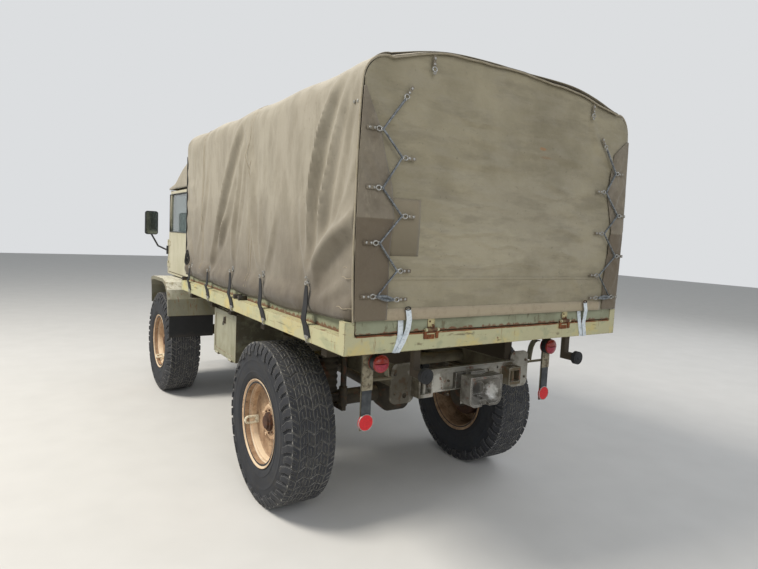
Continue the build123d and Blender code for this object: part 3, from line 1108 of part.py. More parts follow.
fork = make_fork()
front_beam = make_axle_beam(FRONT_AXLE_Y, KINGPIN_X - KINGPIN_RADIUS - 10, (0, ENGINE_REAR_Y - FIT, AXLE_Z + 60))
nodes["front_axle"] = [front_beam + fork + other_side(fork)]
portal = make_portal(REAR_AXLE_Y)
rear_beam = make_axle_beam(REAR_AXLE_Y, PORTAL_X + 1, (0, GEARBOX_REAR_Y + FIT, AXLE_Z + 90))
nodes["rear_axle"] = [rear_beam + portal + other_side(portal)]
knuckle = make_knuckle()
nodes["knuckle_left"] = [knuckle]
nodes["knuckle_right"] = [other_side(knuckle)]
nodes["springs_and_dampers"] = [
    make(axle_y, side)
    for make in (make_spring, make_damper)
    for axle_y in (FRONT_AXLE_Y, REAR_AXLE_Y)
    for side in (1, -1)
]

silencer_x = -(RAIL_X + SILENCER_OUT)
silencer_rear = TANK_Y[0] - SILENCER_TANK_GAP
silencer_y = (silencer_rear - SILENCER_LENGTH, silencer_rear)
silencer_z = RAIL_MIDDLE_Z + 40
silencer = rod((silencer_x, silencer_y[0], silencer_z), (silencer_x, silencer_y[1], silencer_z), SILENCER_RADIUS)
bracket_y = silencer_y[0] + 0.44 * SILENCER_LENGTH
silencer += block((silencer_x, -RAIL_X - FIT), (bracket_y - SILENCER_BRACKET / 2, bracket_y + SILENCER_BRACKET / 2),
                  (silencer_z - 10, silencer_z - 10 + SILENCER_BRACKET))
silencer += rod((silencer_x, silencer_y[0], silencer_z),
                (silencer_x, silencer_y[0] - SILENCER_PIPES[0], silencer_z), SILENCER_PIPE_RADIUS)
silencer += rod((silencer_x, silencer_y[1], silencer_z),
                (silencer_x, silencer_y[1] + SILENCER_PIPES[1], silencer_z - 30), SILENCER_PIPE_RADIUS)
nodes["exhaust"] = [silencer]

tank = block(TANK_X, TANK_Y, (TANK_BOTTOM_Z, BEARER_Z - FIT))
tank = fillet(tank.edges().filter_by(Axis.Y), TANK_CORNER)
for part in (0.22, 0.78):
    strap_y = TANK_Y[0] + part * (TANK_Y[1] - TANK_Y[0])
    strap = block((TANK_X[0] - TANK_STRAP_THICKNESS, TANK_X[1] + TANK_STRAP_THICKNESS),
                  (strap_y - TANK_STRAP_WIDTH / 2, strap_y + TANK_STRAP_WIDTH / 2),
                  (TANK_BOTTOM_Z - TANK_STRAP_THICKNESS, BEARER_Z - FIT))
    tank += fillet(strap.edges().filter_by(Axis.Y).group_by(Axis.Z)[0], TANK_CORNER)
cap_z = BEARER_Z - 2 * TANK_CAP_RADIUS
cap_y = TANK_Y[0] + 0.5 * (TANK_Y[1] - TANK_Y[0])
tank += rod((TANK_X[0] + 5, cap_y, cap_z), (TANK_X[0] - 22, cap_y, cap_z), TANK_CAP_RADIUS)
nodes["fuel_tank"] = [tank]

box = block(BOX_X, BOX_Y, (BOX_BOTTOM_Z, BEARER_Z - FIT))
box -= block((BOX_X[0] + BOX_WALL, BOX_X[1] + 1), (BOX_Y[0] + BOX_WALL, BOX_Y[1] - BOX_WALL),
             (BOX_BOTTOM_Z + BOX_WALL, BEARER_Z - FIT - BOX_WALL))
for y in BOX_HINGE_STATIONS:
    lug_y = (y + BOX_HINGE_LENGTH / 2 + FIT, y + BOX_HINGE_LENGTH / 2 + 20)
    box += rod((BOX_HINGE_X, lug_y[0], BOX_HINGE_Z), (BOX_HINGE_X, lug_y[1], BOX_HINGE_Z), BOX_HINGE_RADIUS)
    box += block((BOX_X[1] - 20, BOX_HINGE_X), lug_y, (BOX_BOTTOM_Z - 8, BOX_BOTTOM_Z - 2))
    box += block((BOX_X[1] - 20, BOX_X[1] - 5), lug_y, (BOX_BOTTOM_Z - 8, BOX_BOTTOM_Z + 1))
nodes["stowage_box"] = [box]
box_door_x = (BOX_X[1] + FIT, BOX_X[1] + FIT + BOX_DOOR_THICKNESS)
box_door_top = BEARER_Z - FIT - 10
box_door = block(box_door_x, BOX_Y, (BOX_BOTTOM_Z, box_door_top))
for y in BOX_HINGE_STATIONS:
    knuckle_y = (y - BOX_HINGE_LENGTH / 2, y + BOX_HINGE_LENGTH / 2)
    box_door += rod((BOX_HINGE_X, knuckle_y[0], BOX_HINGE_Z), (BOX_HINGE_X, knuckle_y[1], BOX_HINGE_Z),
                    BOX_HINGE_RADIUS)
    box_door += block((box_door_x[1], BOX_HINGE_X), knuckle_y, (BOX_HINGE_Z, BOX_HINGE_Z + BOX_HINGE_RADIUS))
box_panel = block((box_door_x[1] - BOX_PRESS_DEPTH, box_door_x[1] + 1),
                  (BOX_Y[0] + BOX_PRESS_MARGIN, BOX_Y[1] - BOX_PRESS_MARGIN),
                  (BOX_BOTTOM_Z + BOX_PRESS_MARGIN, box_door_top - BOX_PRESS_MARGIN))
box_door -= fillet(box_panel.edges().filter_by(Axis.X), BOX_PRESS_CORNER)
latch_y = sum(BOX_Y) / 2
latch_z = BEARER_Z - BOX_LATCH_DROP
box_door += block((box_door_x[1] - BOX_PRESS_DEPTH, box_door_x[1] + BOX_LATCH_REACH),
                  (latch_y - BOX_LATCH_SIZE[0] / 2, latch_y + BOX_LATCH_SIZE[0] / 2),
                  (latch_z - BOX_LATCH_SIZE[1] / 2, latch_z + BOX_LATCH_SIZE[1] / 2))
nodes["stowage_box_door"] = [box_door]

nodes["bed_floor"] = [make_bed_floor()]
nodes["bed_boards"] = make_bed_boards()
nodes["tailgate"] = [make_tailgate()]
nodes["cover_bows"] = [make_bow(y) for y in BOW_STATIONS]
nodes["load_cover"] = [make_cover()]
curtain_y = (COVER_REAR_Y + FIT, COVER_REAR_Y + FIT + CURTAIN_THICKNESS)
nodes["rear_curtain"] = [arch_solid(0, CURTAIN_BOTTOM_Z, curtain_y)]
strap_sets = [make_side_strap(y) for y in STRAP_STATIONS]
nodes["side_straps"] = strap_sets + [other_side(strap) for strap in strap_sets]

lacing = make_lacing()
nodes["rear_lacing"] = [lacing, other_side(lacing)]
webbing = make_webbing()
nodes["webbing_straps"] = [webbing, other_side(webbing)]

lamp = rod((LAMP_X, REAR_BEARER_Y + 30, LAMP_Z), (LAMP_X, REAR_BEARER_Y + 85, LAMP_Z), LAMP_RADIUS)
lamp += block((LAMP_X - 20, LAMP_X + 20), (REAR_BEARER_Y + 20, REAR_BEARER_Y + 30), (LAMP_Z - 20, BEARER_Z - FIT))
nodes["tail_lamps"] = [lamp, other_side(lamp)]
hanger_y = (REAR_BEARER_Y, REAR_BEARER_Y + HANGER_THICKNESS)
hanger = block((REFLECTOR_X - HANGER_WIDTH / 2, REFLECTOR_X + HANGER_WIDTH / 2), hanger_y,
               (REFLECTOR_Z - REFLECTOR_RADIUS, BEARER_Z - FIT))
stay_y = hanger_y[0] + HANGER_THICKNESS / 2
hanger += rod((SIDE_PLATE_X[1] + FIT, stay_y, STAY_Z), (REFLECTOR_X - 10, stay_y, STAY_Z), STAY_RADIUS)
nodes["reflector_hangers"] = [hanger, other_side(hanger)]
reflector = rod((REFLECTOR_X, hanger_y[1] + FIT, REFLECTOR_Z), (REFLECTOR_X, hanger_y[1] + 12, REFLECTOR_Z),
                REFLECTOR_RADIUS)
nodes["reflectors"] = [reflector, other_side(reflector)]
buffer = rod((BUFFER_X, BUFFER_FACE_Y - BUFFER_LENGTH + FIT, BUFFER_Z), (BUFFER_X, BUFFER_FACE_Y, BUFFER_Z),
             BUFFER_RADIUS)
nodes["tailgate_buffers"] = [buffer, other_side(buffer)]

nodes["cab_body"] = [make_cab_body()]
screen_frame, screen_glass = make_windscreen()
nodes["windscreen_frame"] = [screen_frame]
nodes["windscreen_glass"] = screen_glass
door, pane = make_door()
nodes["door_left"] = [door]
nodes["door_right"] = [other_side(door)]
nodes["door_glass_left"] = [pane]
nodes["door_glass_right"] = [other_side(pane)]
nodes["cab_soft_top"] = [make_cab_top()]
seats = [make_seat(side) for side in (1, -1)]
nodes["seat_bases"] = [base for base, pads in seats]
nodes["seat_cushions"] = [pad for base, pads in seats for pad in pads]
dash_half = CAB_HALF_WIDTH - DOOR_THICKNESS
dash_y = (CAB_FRONT_Y + CAB_WALL + FIT, CAB_FRONT_Y + 150)
nodes["dashboard"] = [block((-dash_half, dash_half), dash_y, (CAB_SCUTTLE_Z - 120, CAB_SCUTTLE_Z - 10))]
column_z = CAB_SCUTTLE_Z - 55
column_end = (STEERING_X, dash_y[1] + 220, column_z + 103)
column = rod((STEERING_X, dash_y[1] + FIT, column_z), (STEERING_X, dash_y[1] + 30, column_z), 32)
column += rod((STEERING_X, dash_y[1] + 15, column_z), column_end, 22)
grip = make_face(Polyline([(STEERING_RADIUS + 14 * cos(radians(60 * corner)), 0, 14 * sin(radians(60 * corner)))
                           for corner in range(6)], close=True))
ring = revolve(grip, Axis.Z, 360) + Box(2 * STEERING_RADIUS - 10, 30, 12)
wheel_place = Pos(STEERING_X, column_end[1] + 10, column_end[2] + 7) * Rot(STEERING_RAKE, 0, 0)
nodes["steering_wheel"] = [column + wheel_place * ring]

fender = make_fender()
nodes["fenders"] = [fender, other_side(fender)]
flap = make_flap()
nodes["mud_flaps"] = [flap, other_side(flap)]
nodes["front_panel"] = [make_nose()]
lamp_front = rod((HEADLAMP_X, NOSE_Y - 18, HEADLAMP_Z), (HEADLAMP_X, NOSE_Y + 16, HEADLAMP_Z), HEADLAMP_RADIUS)
lamp_front += rod((HEADLAMP_X, NOSE_Y - 14, HEADLAMP_Z), (HEADLAMP_X, NOSE_Y - FIT, HEADLAMP_Z),
                  HEADLAMP_RADIUS + HEADLAMP_RIM)
nodes["headlamps"] = [lamp_front, other_side(lamp_front)]
nodes["bonnet"] = [make_bonnet()]
nodes["front_bumper"] = [make_bumper()]
mirror_low = (MIRROR_X - MIRROR_ARM_INSET, MIRROR_Y, MIRROR_Z[0] - MIRROR_ARM_DROP)
mirror_foot = (CAB_HALF_WIDTH + MIRROR_FOOT_REACH, CAB_FRONT_Y + MIRROR_FOOT_REACH, MIRROR_Z[0] - MIRROR_FOOT_DROP)
mirror_head = block((MIRROR_X - MIRROR_HALF_WIDTH, MIRROR_X + MIRROR_HALF_WIDTH),
                    (MIRROR_Y - MIRROR_DEPTH / 2, MIRROR_Y + MIRROR_DEPTH / 2), MIRROR_Z)
mirror_head = fillet(mirror_head.edges().filter_by(Axis.Y), MIRROR_CORNER)
mirror_head += rod((MIRROR_X, MIRROR_Y, MIRROR_Z[0] + 5), mirror_low, MIRROR_TUBE)
mirror_head += rod(mirror_low, mirror_foot, MIRROR_TUBE)
mirror_head += block((CAB_HALF_WIDTH + FIT, CAB_HALF_WIDTH + MIRROR_CLAMP[0]),
                     (mirror_foot[1] - MIRROR_CLAMP[1] / 2, mirror_foot[1] + MIRROR_CLAMP[1] / 2),
                     (mirror_foot[2] - MIRROR_CLAMP[2] / 2, mirror_foot[2] + MIRROR_CLAMP[2] / 2))
mirror_head += Pos(*mirror_low) * Sphere(MIRROR_TUBE)
nodes["mirrors"] = [mirror_head, other_side(mirror_head)]

os.makedirs("parts", exist_ok=True)
for name, shapes in nodes.items():
    solids = [solid for shape in shapes for solid in shape.solids()]
    export_step(Compound(solids), f"parts/{name}.step")
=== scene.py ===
"""Light 4x4 military cargo truck with a fabric-covered load bed, dressed piece by piece.

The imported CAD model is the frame. X points to the truck's left, Y to its rear and Z up, in metres.
"""
import logging
from dataclasses import dataclass, field
from enum import Enum
from math import atan2, cos, exp, hypot, pi, radians, sin, sqrt, tanh
from typing import Callable, Sequence

import bmesh
import bpy
from bmesh.types import BMesh, BMVert
from mathutils import Matrix, Vector, noise


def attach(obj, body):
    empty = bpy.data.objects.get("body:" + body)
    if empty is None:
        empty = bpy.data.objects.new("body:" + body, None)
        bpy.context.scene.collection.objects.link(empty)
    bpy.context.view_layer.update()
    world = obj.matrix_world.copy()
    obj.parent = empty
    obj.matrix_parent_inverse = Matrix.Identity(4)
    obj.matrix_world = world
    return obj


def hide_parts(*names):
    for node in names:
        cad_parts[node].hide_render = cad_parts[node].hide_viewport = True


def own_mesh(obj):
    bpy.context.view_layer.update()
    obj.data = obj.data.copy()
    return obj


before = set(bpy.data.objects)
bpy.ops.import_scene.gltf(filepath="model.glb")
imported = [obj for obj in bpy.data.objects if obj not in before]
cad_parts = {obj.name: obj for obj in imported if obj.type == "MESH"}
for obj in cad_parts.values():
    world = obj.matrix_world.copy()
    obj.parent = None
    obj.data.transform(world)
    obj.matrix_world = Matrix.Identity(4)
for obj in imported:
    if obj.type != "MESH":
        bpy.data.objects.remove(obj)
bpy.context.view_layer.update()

log = logging.getLogger("cargo_truck")

Point = tuple[float, float, float]
Flat = tuple[float, float]


# Finishes

def linear(hex_colour: str) -> tuple[float, float, float, float]:
    """Turns an sRGB hex colour into a linear one.

    Args:
        hex_colour: six hex digits after a hash.

    Returns:
        Linear red, green, blue and an alpha of 1.
    """
    parts = [int(hex_colour[i:i + 2], 16) / 255 for i in (1, 3, 5)]
    red, green, blue = [c / 12.92 if c <= 0.04045 else ((c + 0.055) / 1.055) ** 2.4 for c in parts]
    return red, green, blue, 1.0


def add(tree: bpy.types.NodeTree, kind: str, sockets: dict | None = None, **settings) -> bpy.types.Node:
    """Adds a shader node with its settings, values and links.

    Args:
        tree: node tree of the material.
        kind: node type without its ShaderNode prefix.
        sockets: value or output socket for each input, by name or index.
        settings: properties of the node.

    Returns:
        The new node.
    """
    node = tree.nodes.new("ShaderNode" + kind)
    for name, value in settings.items():
        setattr(node, name, value)
    for key, value in (sockets or {}).items():
        if isinstance(value, bpy.types.NodeSocket):
            tree.links.new(value, node.inputs[key])
        else:
            node.inputs[key].default_value = value
    return node


class Mask(Enum):
    """Where a coat lies on a finish."""
    PATCH = "patches of a noise"
    EDGE = "along worn edges"
    LOW = "towards the ground"
    UP = "on faces that look up"
    REAR = "on faces that look to the rear"
    UNDER = "on faces that look down"
    SPOT = "round one place"


class Relief(Enum):
    """Kinds of fine relief."""
    NOISE = "noise"
    WEAVE = "plain weave of two thread directions"


@dataclass(frozen=True)
class Coat:
    """One colour over a finish, where its mask and a noise of size_mm come above a value.

    A LOW coat is full at the first height of its foot and gone the second one higher up. A SPOT coat lies
    round its centre, within its reach.
    """
    colour: str
    mask: Mask = Mask.PATCH
    size_mm: float = 200.0
    above: float = 0.5
    soft: float = 0.1
    amount: float = 0.7
    roughness: float | None = None
    stretch: Point = (1.0, 1.0, 1.0)
    foot: Flat = (0.0, 1.0)
    centre: Point = (0.0, 0.0, 0.0)
    reach: Point = (1.0, 1.0, 1.0)
    grain: float = 1.0


@dataclass(frozen=True)
class Bumps:
    """One layer of fine relief, by its size and depth."""
    size_mm: float
    depth_mm: float
    stretch: Point = (1.0, 1.0, 1.0)
    relief: Relief = Relief.NOISE


@dataclass(frozen=True)
class Finish:
    """A named surface: its base colour, the coats over it and its relief."""
    name: str
    colour: str
    roughness: float = 0.6
    metallic: float = 0.0
    coats: tuple[Coat, ...] = ()
    bumps: tuple[Bumps, ...] = ()
    sheen: float = 0.0
    clearcoat: float = 0.0
    transmission: float = 0.0
    ior: float = 1.5
    edge_mm: float = 0.0

    def material(self) -> bpy.types.Material:
        """Builds the node material once and hands out the same one after that.

        Returns:
            The material.
        """
        found = bpy.data.materials.get(self.name)
        if found:
            return found
        material = bpy.data.materials.new(self.name)
        material.use_nodes = True
        tree = material.node_tree
        tree.nodes.clear()
        place = add(tree, "TexCoord")
        geometry = add(tree, "NewGeometry")
        rounded = None
        if self.edge_mm:
            rounded = add(tree, "Bevel", {"Radius": self.edge_mm / 1000}, samples=4).outputs[0]
        shader = add(tree, "BsdfPrincipled", {"Metallic": self.metallic, "IOR": self.ior,
                                              "Transmission Weight": self.transmission,
                                              "Sheen Weight": self.sheen, "Coat Weight": self.clearcoat})
        colour: object = linear(self.colour)
        roughness: object = self.roughness
        for coat in self.coats:
            factor = self._mask(tree, coat, place, geometry, rounded)
            blend = add(tree, "Mix", {0: factor, 6: colour, 7: linear(coat.colour)}, data_type="RGBA")
            colour = blend.outputs[2]
            if coat.roughness is not None:
                roughness = add(tree, "Mix", {0: factor, 2: roughness, 3: coat.roughness}).outputs[0]
        for key, value in (("Base Color", colour), ("Roughness", roughness)):
            if isinstance(value, bpy.types.NodeSocket):
                tree.links.new(value, shader.inputs[key])
            else:
                shader.inputs[key].default_value = value
        normal = rounded
        for bumps in self.bumps:
            height = self._height(tree, bumps, place)
            bump = add(tree, "Bump", {"Height": height, "Distance": bumps.depth_mm / 1000})
            if normal is not None:
                tree.links.new(normal, bump.inputs["Normal"])
            normal = bump.outputs[0]
        if normal is not None:
            tree.links.new(normal, shader.inputs["Normal"])
        add(tree, "OutputMaterial", {"Surface": shader.outputs[0]})
        return material

    @staticmethod
    def _mask(tree: bpy.types.NodeTree, coat: Coat, place: bpy.types.Node, geometry: bpy.types.Node,
              rounded: bpy.types.NodeSocket | None) -> bpy.types.NodeSocket:
        """Makes the factor by which a coat shows.

        Args:
            tree: node tree of the material.
            coat: the coat to mask.
            place: texture coordinate node.
            geometry: geometry node.
            rounded: normal with rounded edges, if the finish has one.

        Returns:
            A socket from 0 to the coat's amount.
        """
        mapping = add(tree, "Mapping", {"Vector": place.outputs["Object"], "Scale": coat.stretch})
        grain = add(tree, "TexNoise", {"Vector": mapping.outputs[0], "Scale": 1000 / coat.size_mm,
                                       "Detail": 5.0, "Roughness": 0.62})
        centred = add(tree, "Math", {0: grain.outputs[0], 1: 0.5}, operation="SUBTRACT")
        strewn = add(tree, "Math", {0: centred.outputs[0], 1: coat.grain}, operation="MULTIPLY")
        where: object = 0.5
        if coat.mask is Mask.EDGE and rounded is not None:
            facing = add(tree, "VectorMath", {0: rounded, 1: geometry.outputs["Normal"]},
                         operation="DOT_PRODUCT")
            where = add(tree, "MapRange", {0: facing.outputs["Value"], 1: 1.0, 2: 0.85}).outputs[0]
        elif coat.mask is Mask.LOW:
            parts = add(tree, "SeparateXYZ", {0: place.outputs["Object"]})
            where = add(tree, "MapRange", {0: parts.outputs[2], 1: sum(coat.foot),
                                           2: coat.foot[0]}).outputs[0]
        elif coat.mask in (Mask.UP, Mask.REAR):
            facing = add(tree, "SeparateXYZ", {0: geometry.outputs["Normal"]})
            where = facing.outputs[2 if coat.mask is Mask.UP else 1]
        elif coat.mask is Mask.UNDER:
            facing = add(tree, "SeparateXYZ", {0: geometry.outputs["Normal"]})
            where = add(tree, "Math", {0: facing.outputs[2], 1: -1.0}, operation="MULTIPLY").outputs[0]
        elif coat.mask is Mask.SPOT:
            moved = add(tree, "VectorMath", {0: place.outputs["Object"], 1: coat.centre},
                        operation="SUBTRACT")
            scaled = add(tree, "VectorMath", {0: moved.outputs[0], 1: coat.reach}, operation="DIVIDE")
            away = add(tree, "VectorMath", {0: scaled.outputs[0]}, operation="LENGTH")
            where = add(tree, "Math", {0: 1.0, 1: away.outputs["Value"]}, operation="SUBTRACT").outputs[0]
        total = add(tree, "Math", {0: where, 1: strewn.outputs[0]}, operation="ADD")
        shown = add(tree, "MapRange", {0: total.outputs[0], 1: coat.above - coat.soft / 2,
                                       2: coat.above + coat.soft / 2, 4: coat.amount})
        return shown.outputs[0]

    @staticmethod
    def _height(tree: bpy.types.NodeTree, bumps: Bumps, place: bpy.types.Node) -> bpy.types.NodeSocket:
        """Makes the height field of one layer of relief.

        Args:
            tree: node tree of the material.
            bumps: the relief.
            place: texture coordinate node.

        Returns:
            The height socket.
        """
        if bumps.relief is Relief.WEAVE:
            # A wave's period is pi / 10 over its scale.
            wave = {"Vector": place.outputs["UV"], "Scale": pi / 10 / (bumps.size_mm / 1000),
                    "Distortion": 0.6, "Detail": 1.0}
            threads = [add(tree, "TexWave", wave, bands_direction=way) for way in ("X", "Y")]
            return add(tree, "Math", {0: threads[0].outputs[1], 1: threads[1].outputs[1]},
                       operation="MULTIPLY").outputs[0]
        mapping = add(tree, "Mapping", {"Vector": place.outputs["Object"], "Scale": bumps.stretch})
        return add(tree, "TexNoise", {"Vector": mapping.outputs[0], "Scale": 1000 / bumps.size_mm,
                                      "Detail": 4.0}).outputs[0]


RUST = "#6b3d22"
DUST = "#8b7a60"
# Dark brown painted on as shade: under the load bed and on faces that look to the rear.
PAINTED_SHADE_BROWN = "#3a3226"
# Thread spacing is 0.6 mm in the cloth; drawn at 5 mm, or it can't show at this distance.
WEAVE = Bumps(5.0, 0.3, relief=Relief.WEAVE)
DEEP_WEAVE = Bumps(5.0, 0.35, relief=Relief.WEAVE)

# Coated cotton canvas on the sides and roof: woven and proofed, which gives a dry sheen and soft blotches.
CANVAS = Finish(
    "coated_canvas_taupe", "#938b7a", 0.80, sheen=0.14,
    coats=(
        Coat("#9a9382", size_mm=520, above=0.52, soft=0.3),
        Coat("#736b58", size_mm=130, above=0.54, soft=0.2, amount=0.55, stretch=(1, 1, 0.35)),
        Coat("#b6af9f", Mask.UP, size_mm=300, above=0.70, soft=0.5, amount=0.85),
        Coat("#5e5445", Mask.LOW, size_mm=260, above=0.55, soft=0.9, amount=0.95, foot=(1.28, 0.85)),
        Coat("#4b4235", Mask.LOW, size_mm=110, above=0.56, soft=0.5, amount=0.8, foot=(1.3, 0.26)),
        Coat("#6b6352", size_mm=26, above=0.66, soft=0.06, amount=0.35),
    ),
    bumps=(DEEP_WEAVE, Bumps(60.0, 2.5), Bumps(190.0, 9.0, (1, 1, 0.45))))

# The same canvas at the rear, older and greener, with a scuffed pale band where cargo leans.
CURTAIN_CANVAS = Finish(
    "coated_canvas_olive", "#978e75", 0.84, sheen=0.15,
    coats=(
        Coat("#6f6750", size_mm=420, soft=0.25, amount=0.6),
        Coat("#9d9580", Mask.SPOT, size_mm=150, above=0.35, soft=0.4, amount=0.55, centre=(-0.1, 2.44, 1.86),
             reach=(0.95, 1.0, 0.42), stretch=(0.6, 1, 1.5), grain=1.6),
        Coat("#928a76", size_mm=90, above=0.56, soft=0.14, amount=0.45, stretch=(0.45, 1, 1.5)),
        Coat("#6c6450", size_mm=120, above=0.58, soft=0.16, amount=0.4, stretch=(0.4, 1, 1.6)),
        # Pale scuffs of the band that cargo rubs from inside.
        Coat("#a59c83", Mask.SPOT, size_mm=55, soft=0.5, amount=0.6, centre=(0.25, 2.44, 1.71),
             reach=(0.60, 1.0, 0.19), stretch=(0.55, 1, 1.8), grain=1.8),
        Coat("#9c6b3c", Mask.SPOT, size_mm=24, above=0.45, soft=0.3, amount=0.6, centre=(-0.2, 2.44, 2.268),
             reach=(0.05, 0.2, 0.016)),
        Coat("#8c6740", Mask.SPOT, size_mm=24, soft=0.2, amount=0.35, centre=(-0.24, 2.44, 2.224),
             reach=(0.09, 0.2, 0.012)),
        Coat("#5f5844", size_mm=22, above=0.66, soft=0.05, amount=0.4),
    ),
    bumps=(WEAVE, Bumps(45.0, 4.0), Bumps(130.0, 16.0, (0.45, 1, 1.5))))

# Newer, darker brown canvas of the corner flaps; below 1.815 m it is painted darker as the shadow of the
# side's great fold, and it darkens again towards its foot.
FLAP_CANVAS = Finish(
    "coated_canvas_brown", "#7c7262", 0.84, sheen=0.15,
    coats=(
        Coat("#7f7663", size_mm=300, above=0.52, soft=0.3, amount=0.6),
        Coat("#5b5242", size_mm=110, above=0.55, soft=0.2, amount=0.5),
        Coat("#8d8370", size_mm=34, above=0.60, soft=0.08, amount=0.45, stretch=(1.0, 1, 0.5)),
        # Painted shadow of the side's great fold, below 1.815 m.
        Coat("#5a4d3b", Mask.LOW, size_mm=90, soft=0.3, foot=(1.815, 0.02), grain=0.4),
        Coat("#6d6250", Mask.LOW, size_mm=90, soft=0.6, amount=0.8, foot=(1.40, 0.2), grain=0.6),
    ),
    bumps=(WEAVE, Bumps(40.0, 4.0), Bumps(100.0, 12.0)))

# Faded canvas sewn round the piping's cord.
WELT_CANVAS = Finish(
    "canvas_welt", "#978d78", 0.85, sheen=0.2,
    coats=(Coat("#82775c", size_mm=45, above=0.55, soft=0.15, amount=0.6),))

# A patch of the same canvas, sewn on later: less bleached, and dirtier towards its foot.
PATCH_CANVAS = Finish(
    "coated_canvas_patch", "#837862", 0.84, sheen=0.15,
    coats=(Coat("#877d68", size_mm=120, above=0.52, soft=0.3, amount=0.6),
           Coat("#675e4a", Mask.LOW, size_mm=60, soft=0.8, foot=(1.66, 0.25), grain=0.5)),
    bumps=(WEAVE, Bumps(60.0, 3.0)))

# Sewn edges: the doubled cloth takes more dirt.
HEM_CANVAS = Finish(
    "canvas_hem", "#a0927a", 0.85, sheen=0.15,
    coats=(Coat("#a3987d", size_mm=90, above=0.52, soft=0.2, amount=0.6, stretch=(0.4, 1, 1)),
           Coat("#70664e", size_mm=30, above=0.58, amount=0.2)),
    bumps=(WEAVE, Bumps(50.0, 3.0, (0.5, 1, 1))))

# Air-drying alkyd paint on pressed steel, brushed over many times: matt, chalky and chipped.
BED_PAINT = Finish(
    "alkyd_paint_cream_green", "#b0aa86", 0.62, edge_mm=6,
    coats=(
        Coat("#b3b38c", size_mm=350, soft=0.25, amount=0.8),
        Coat("#c2b070", size_mm=160, above=0.58, soft=0.12),
        Coat("#8f9477", size_mm=90, above=0.6, amount=0.6, stretch=(1, 0.35, 1)),
        Coat("#6f6549", size_mm=30, above=0.64, soft=0.04, amount=0.8, stretch=(0.3, 0.12, 1.5)),
        Coat("#8a6b44", size_mm=40, above=0.65, soft=0.06, amount=0.6, stretch=(1.5, 1.5, 0.3)),
        Coat("#d8cfa0", Mask.EDGE, size_mm=40, above=0.72, soft=0.2, amount=0.5),
        Coat(RUST, Mask.EDGE, size_mm=55, above=0.88, soft=0.15, amount=0.9, roughness=0.85),
        Coat(RUST, size_mm=36, above=0.68, soft=0.03, amount=0.9, roughness=0.85, stretch=(0.6, 0.25, 1)),
        # Painted shade under the bed: all of it below 1.18 m is dark brown.
        Coat(PAINTED_SHADE_BROWN, Mask.LOW, size_mm=60, soft=0.3, foot=(1.180, 0.006), grain=0.3, roughness=0.9, amount=1.0),
    ),
    bumps=(Bumps(12.0, 0.25), Bumps(180.0, 1.5)))

# The drop sides and the gate, under the cover's edge: the same paint, greener and duller.
BOARD_PAINT = Finish(
    "alkyd_paint_dull_green", "#868970", 0.66, edge_mm=6,
    coats=(
        Coat("#979a80", size_mm=260, soft=0.3),
        Coat("#6e6c53", size_mm=110, above=0.55, soft=0.18, amount=0.6, stretch=(0.5, 0.5, 1)),
        Coat("#5b5238", size_mm=30, above=0.63, soft=0.05, stretch=(1, 1, 0.4)),
        Coat(RUST, Mask.EDGE, size_mm=50, above=0.85, soft=0.15, amount=0.9, roughness=0.85),
        Coat(RUST, Mask.LOW, size_mm=34, above=0.62, soft=0.15, amount=0.8, foot=(1.27, 0.05), grain=1.6,
             roughness=0.85),
    ),
    bumps=(Bumps(12.0, 0.3), Bumps(180.0, 1.5)))

# Fenders and the brackets by them: paler, with rust that runs down from the seams.
FENDER_PAINT = Finish(
    "alkyd_paint_washed_green", "#6f6d5c", 0.6, edge_mm=5,
    coats=(
        Coat("#8b8975", size_mm=240, soft=0.3),
        Coat("#d0cdbd", Mask.UP, size_mm=160, above=0.6, soft=0.5, amount=0.8),
        Coat("#7b7458", size_mm=60, above=0.57, stretch=(1.6, 1.6, 0.2)),
        Coat("#7a5334", size_mm=34, above=0.62, soft=0.06, stretch=(2.0, 2.0, 0.22), roughness=0.85),
        Coat(RUST, Mask.EDGE, size_mm=40, above=0.84, soft=0.15, amount=0.8, roughness=0.85),
    ),
    bumps=(Bumps(12.0, 0.3),))

# Khaki paint of the hangers, nearly gone.
HANGER_PAINT = Finish(
    "hanger_paint_khaki", "#847c66", 0.75, edge_mm=2,
    coats=(Coat("#a29b87", size_mm=50, above=0.52, soft=0.2),
           Coat("#4d4230", size_mm=24, above=0.56, amount=0.8),
           Coat(RUST, size_mm=18, above=0.62, soft=0.06, amount=0.8, roughness=0.9)))

# Moulded rubber strip, gone grey with dust.
HANGER_RUBBER = Finish(
    "hanger_rubber_grey", "#35383a", 0.75,
    coats=(Coat("#565a5b", size_mm=60, above=0.54, soft=0.2, amount=0.6),))

# Cream paint of the gate's hinge straps.
STRAP_PAINT = Finish(
    "alkyd_paint_cream", "#b5ab80", 0.62, edge_mm=3,
    coats=(Coat("#c9bd8e", size_mm=70, soft=0.2),
           Coat("#7c7048", size_mm=22, above=0.6, soft=0.08),
           Coat(RUST, Mask.LOW, size_mm=20, above=0.55, soft=0.2, foot=(1.29, 0.04), grain=1.2,
                roughness=0.9, amount=1.0)))

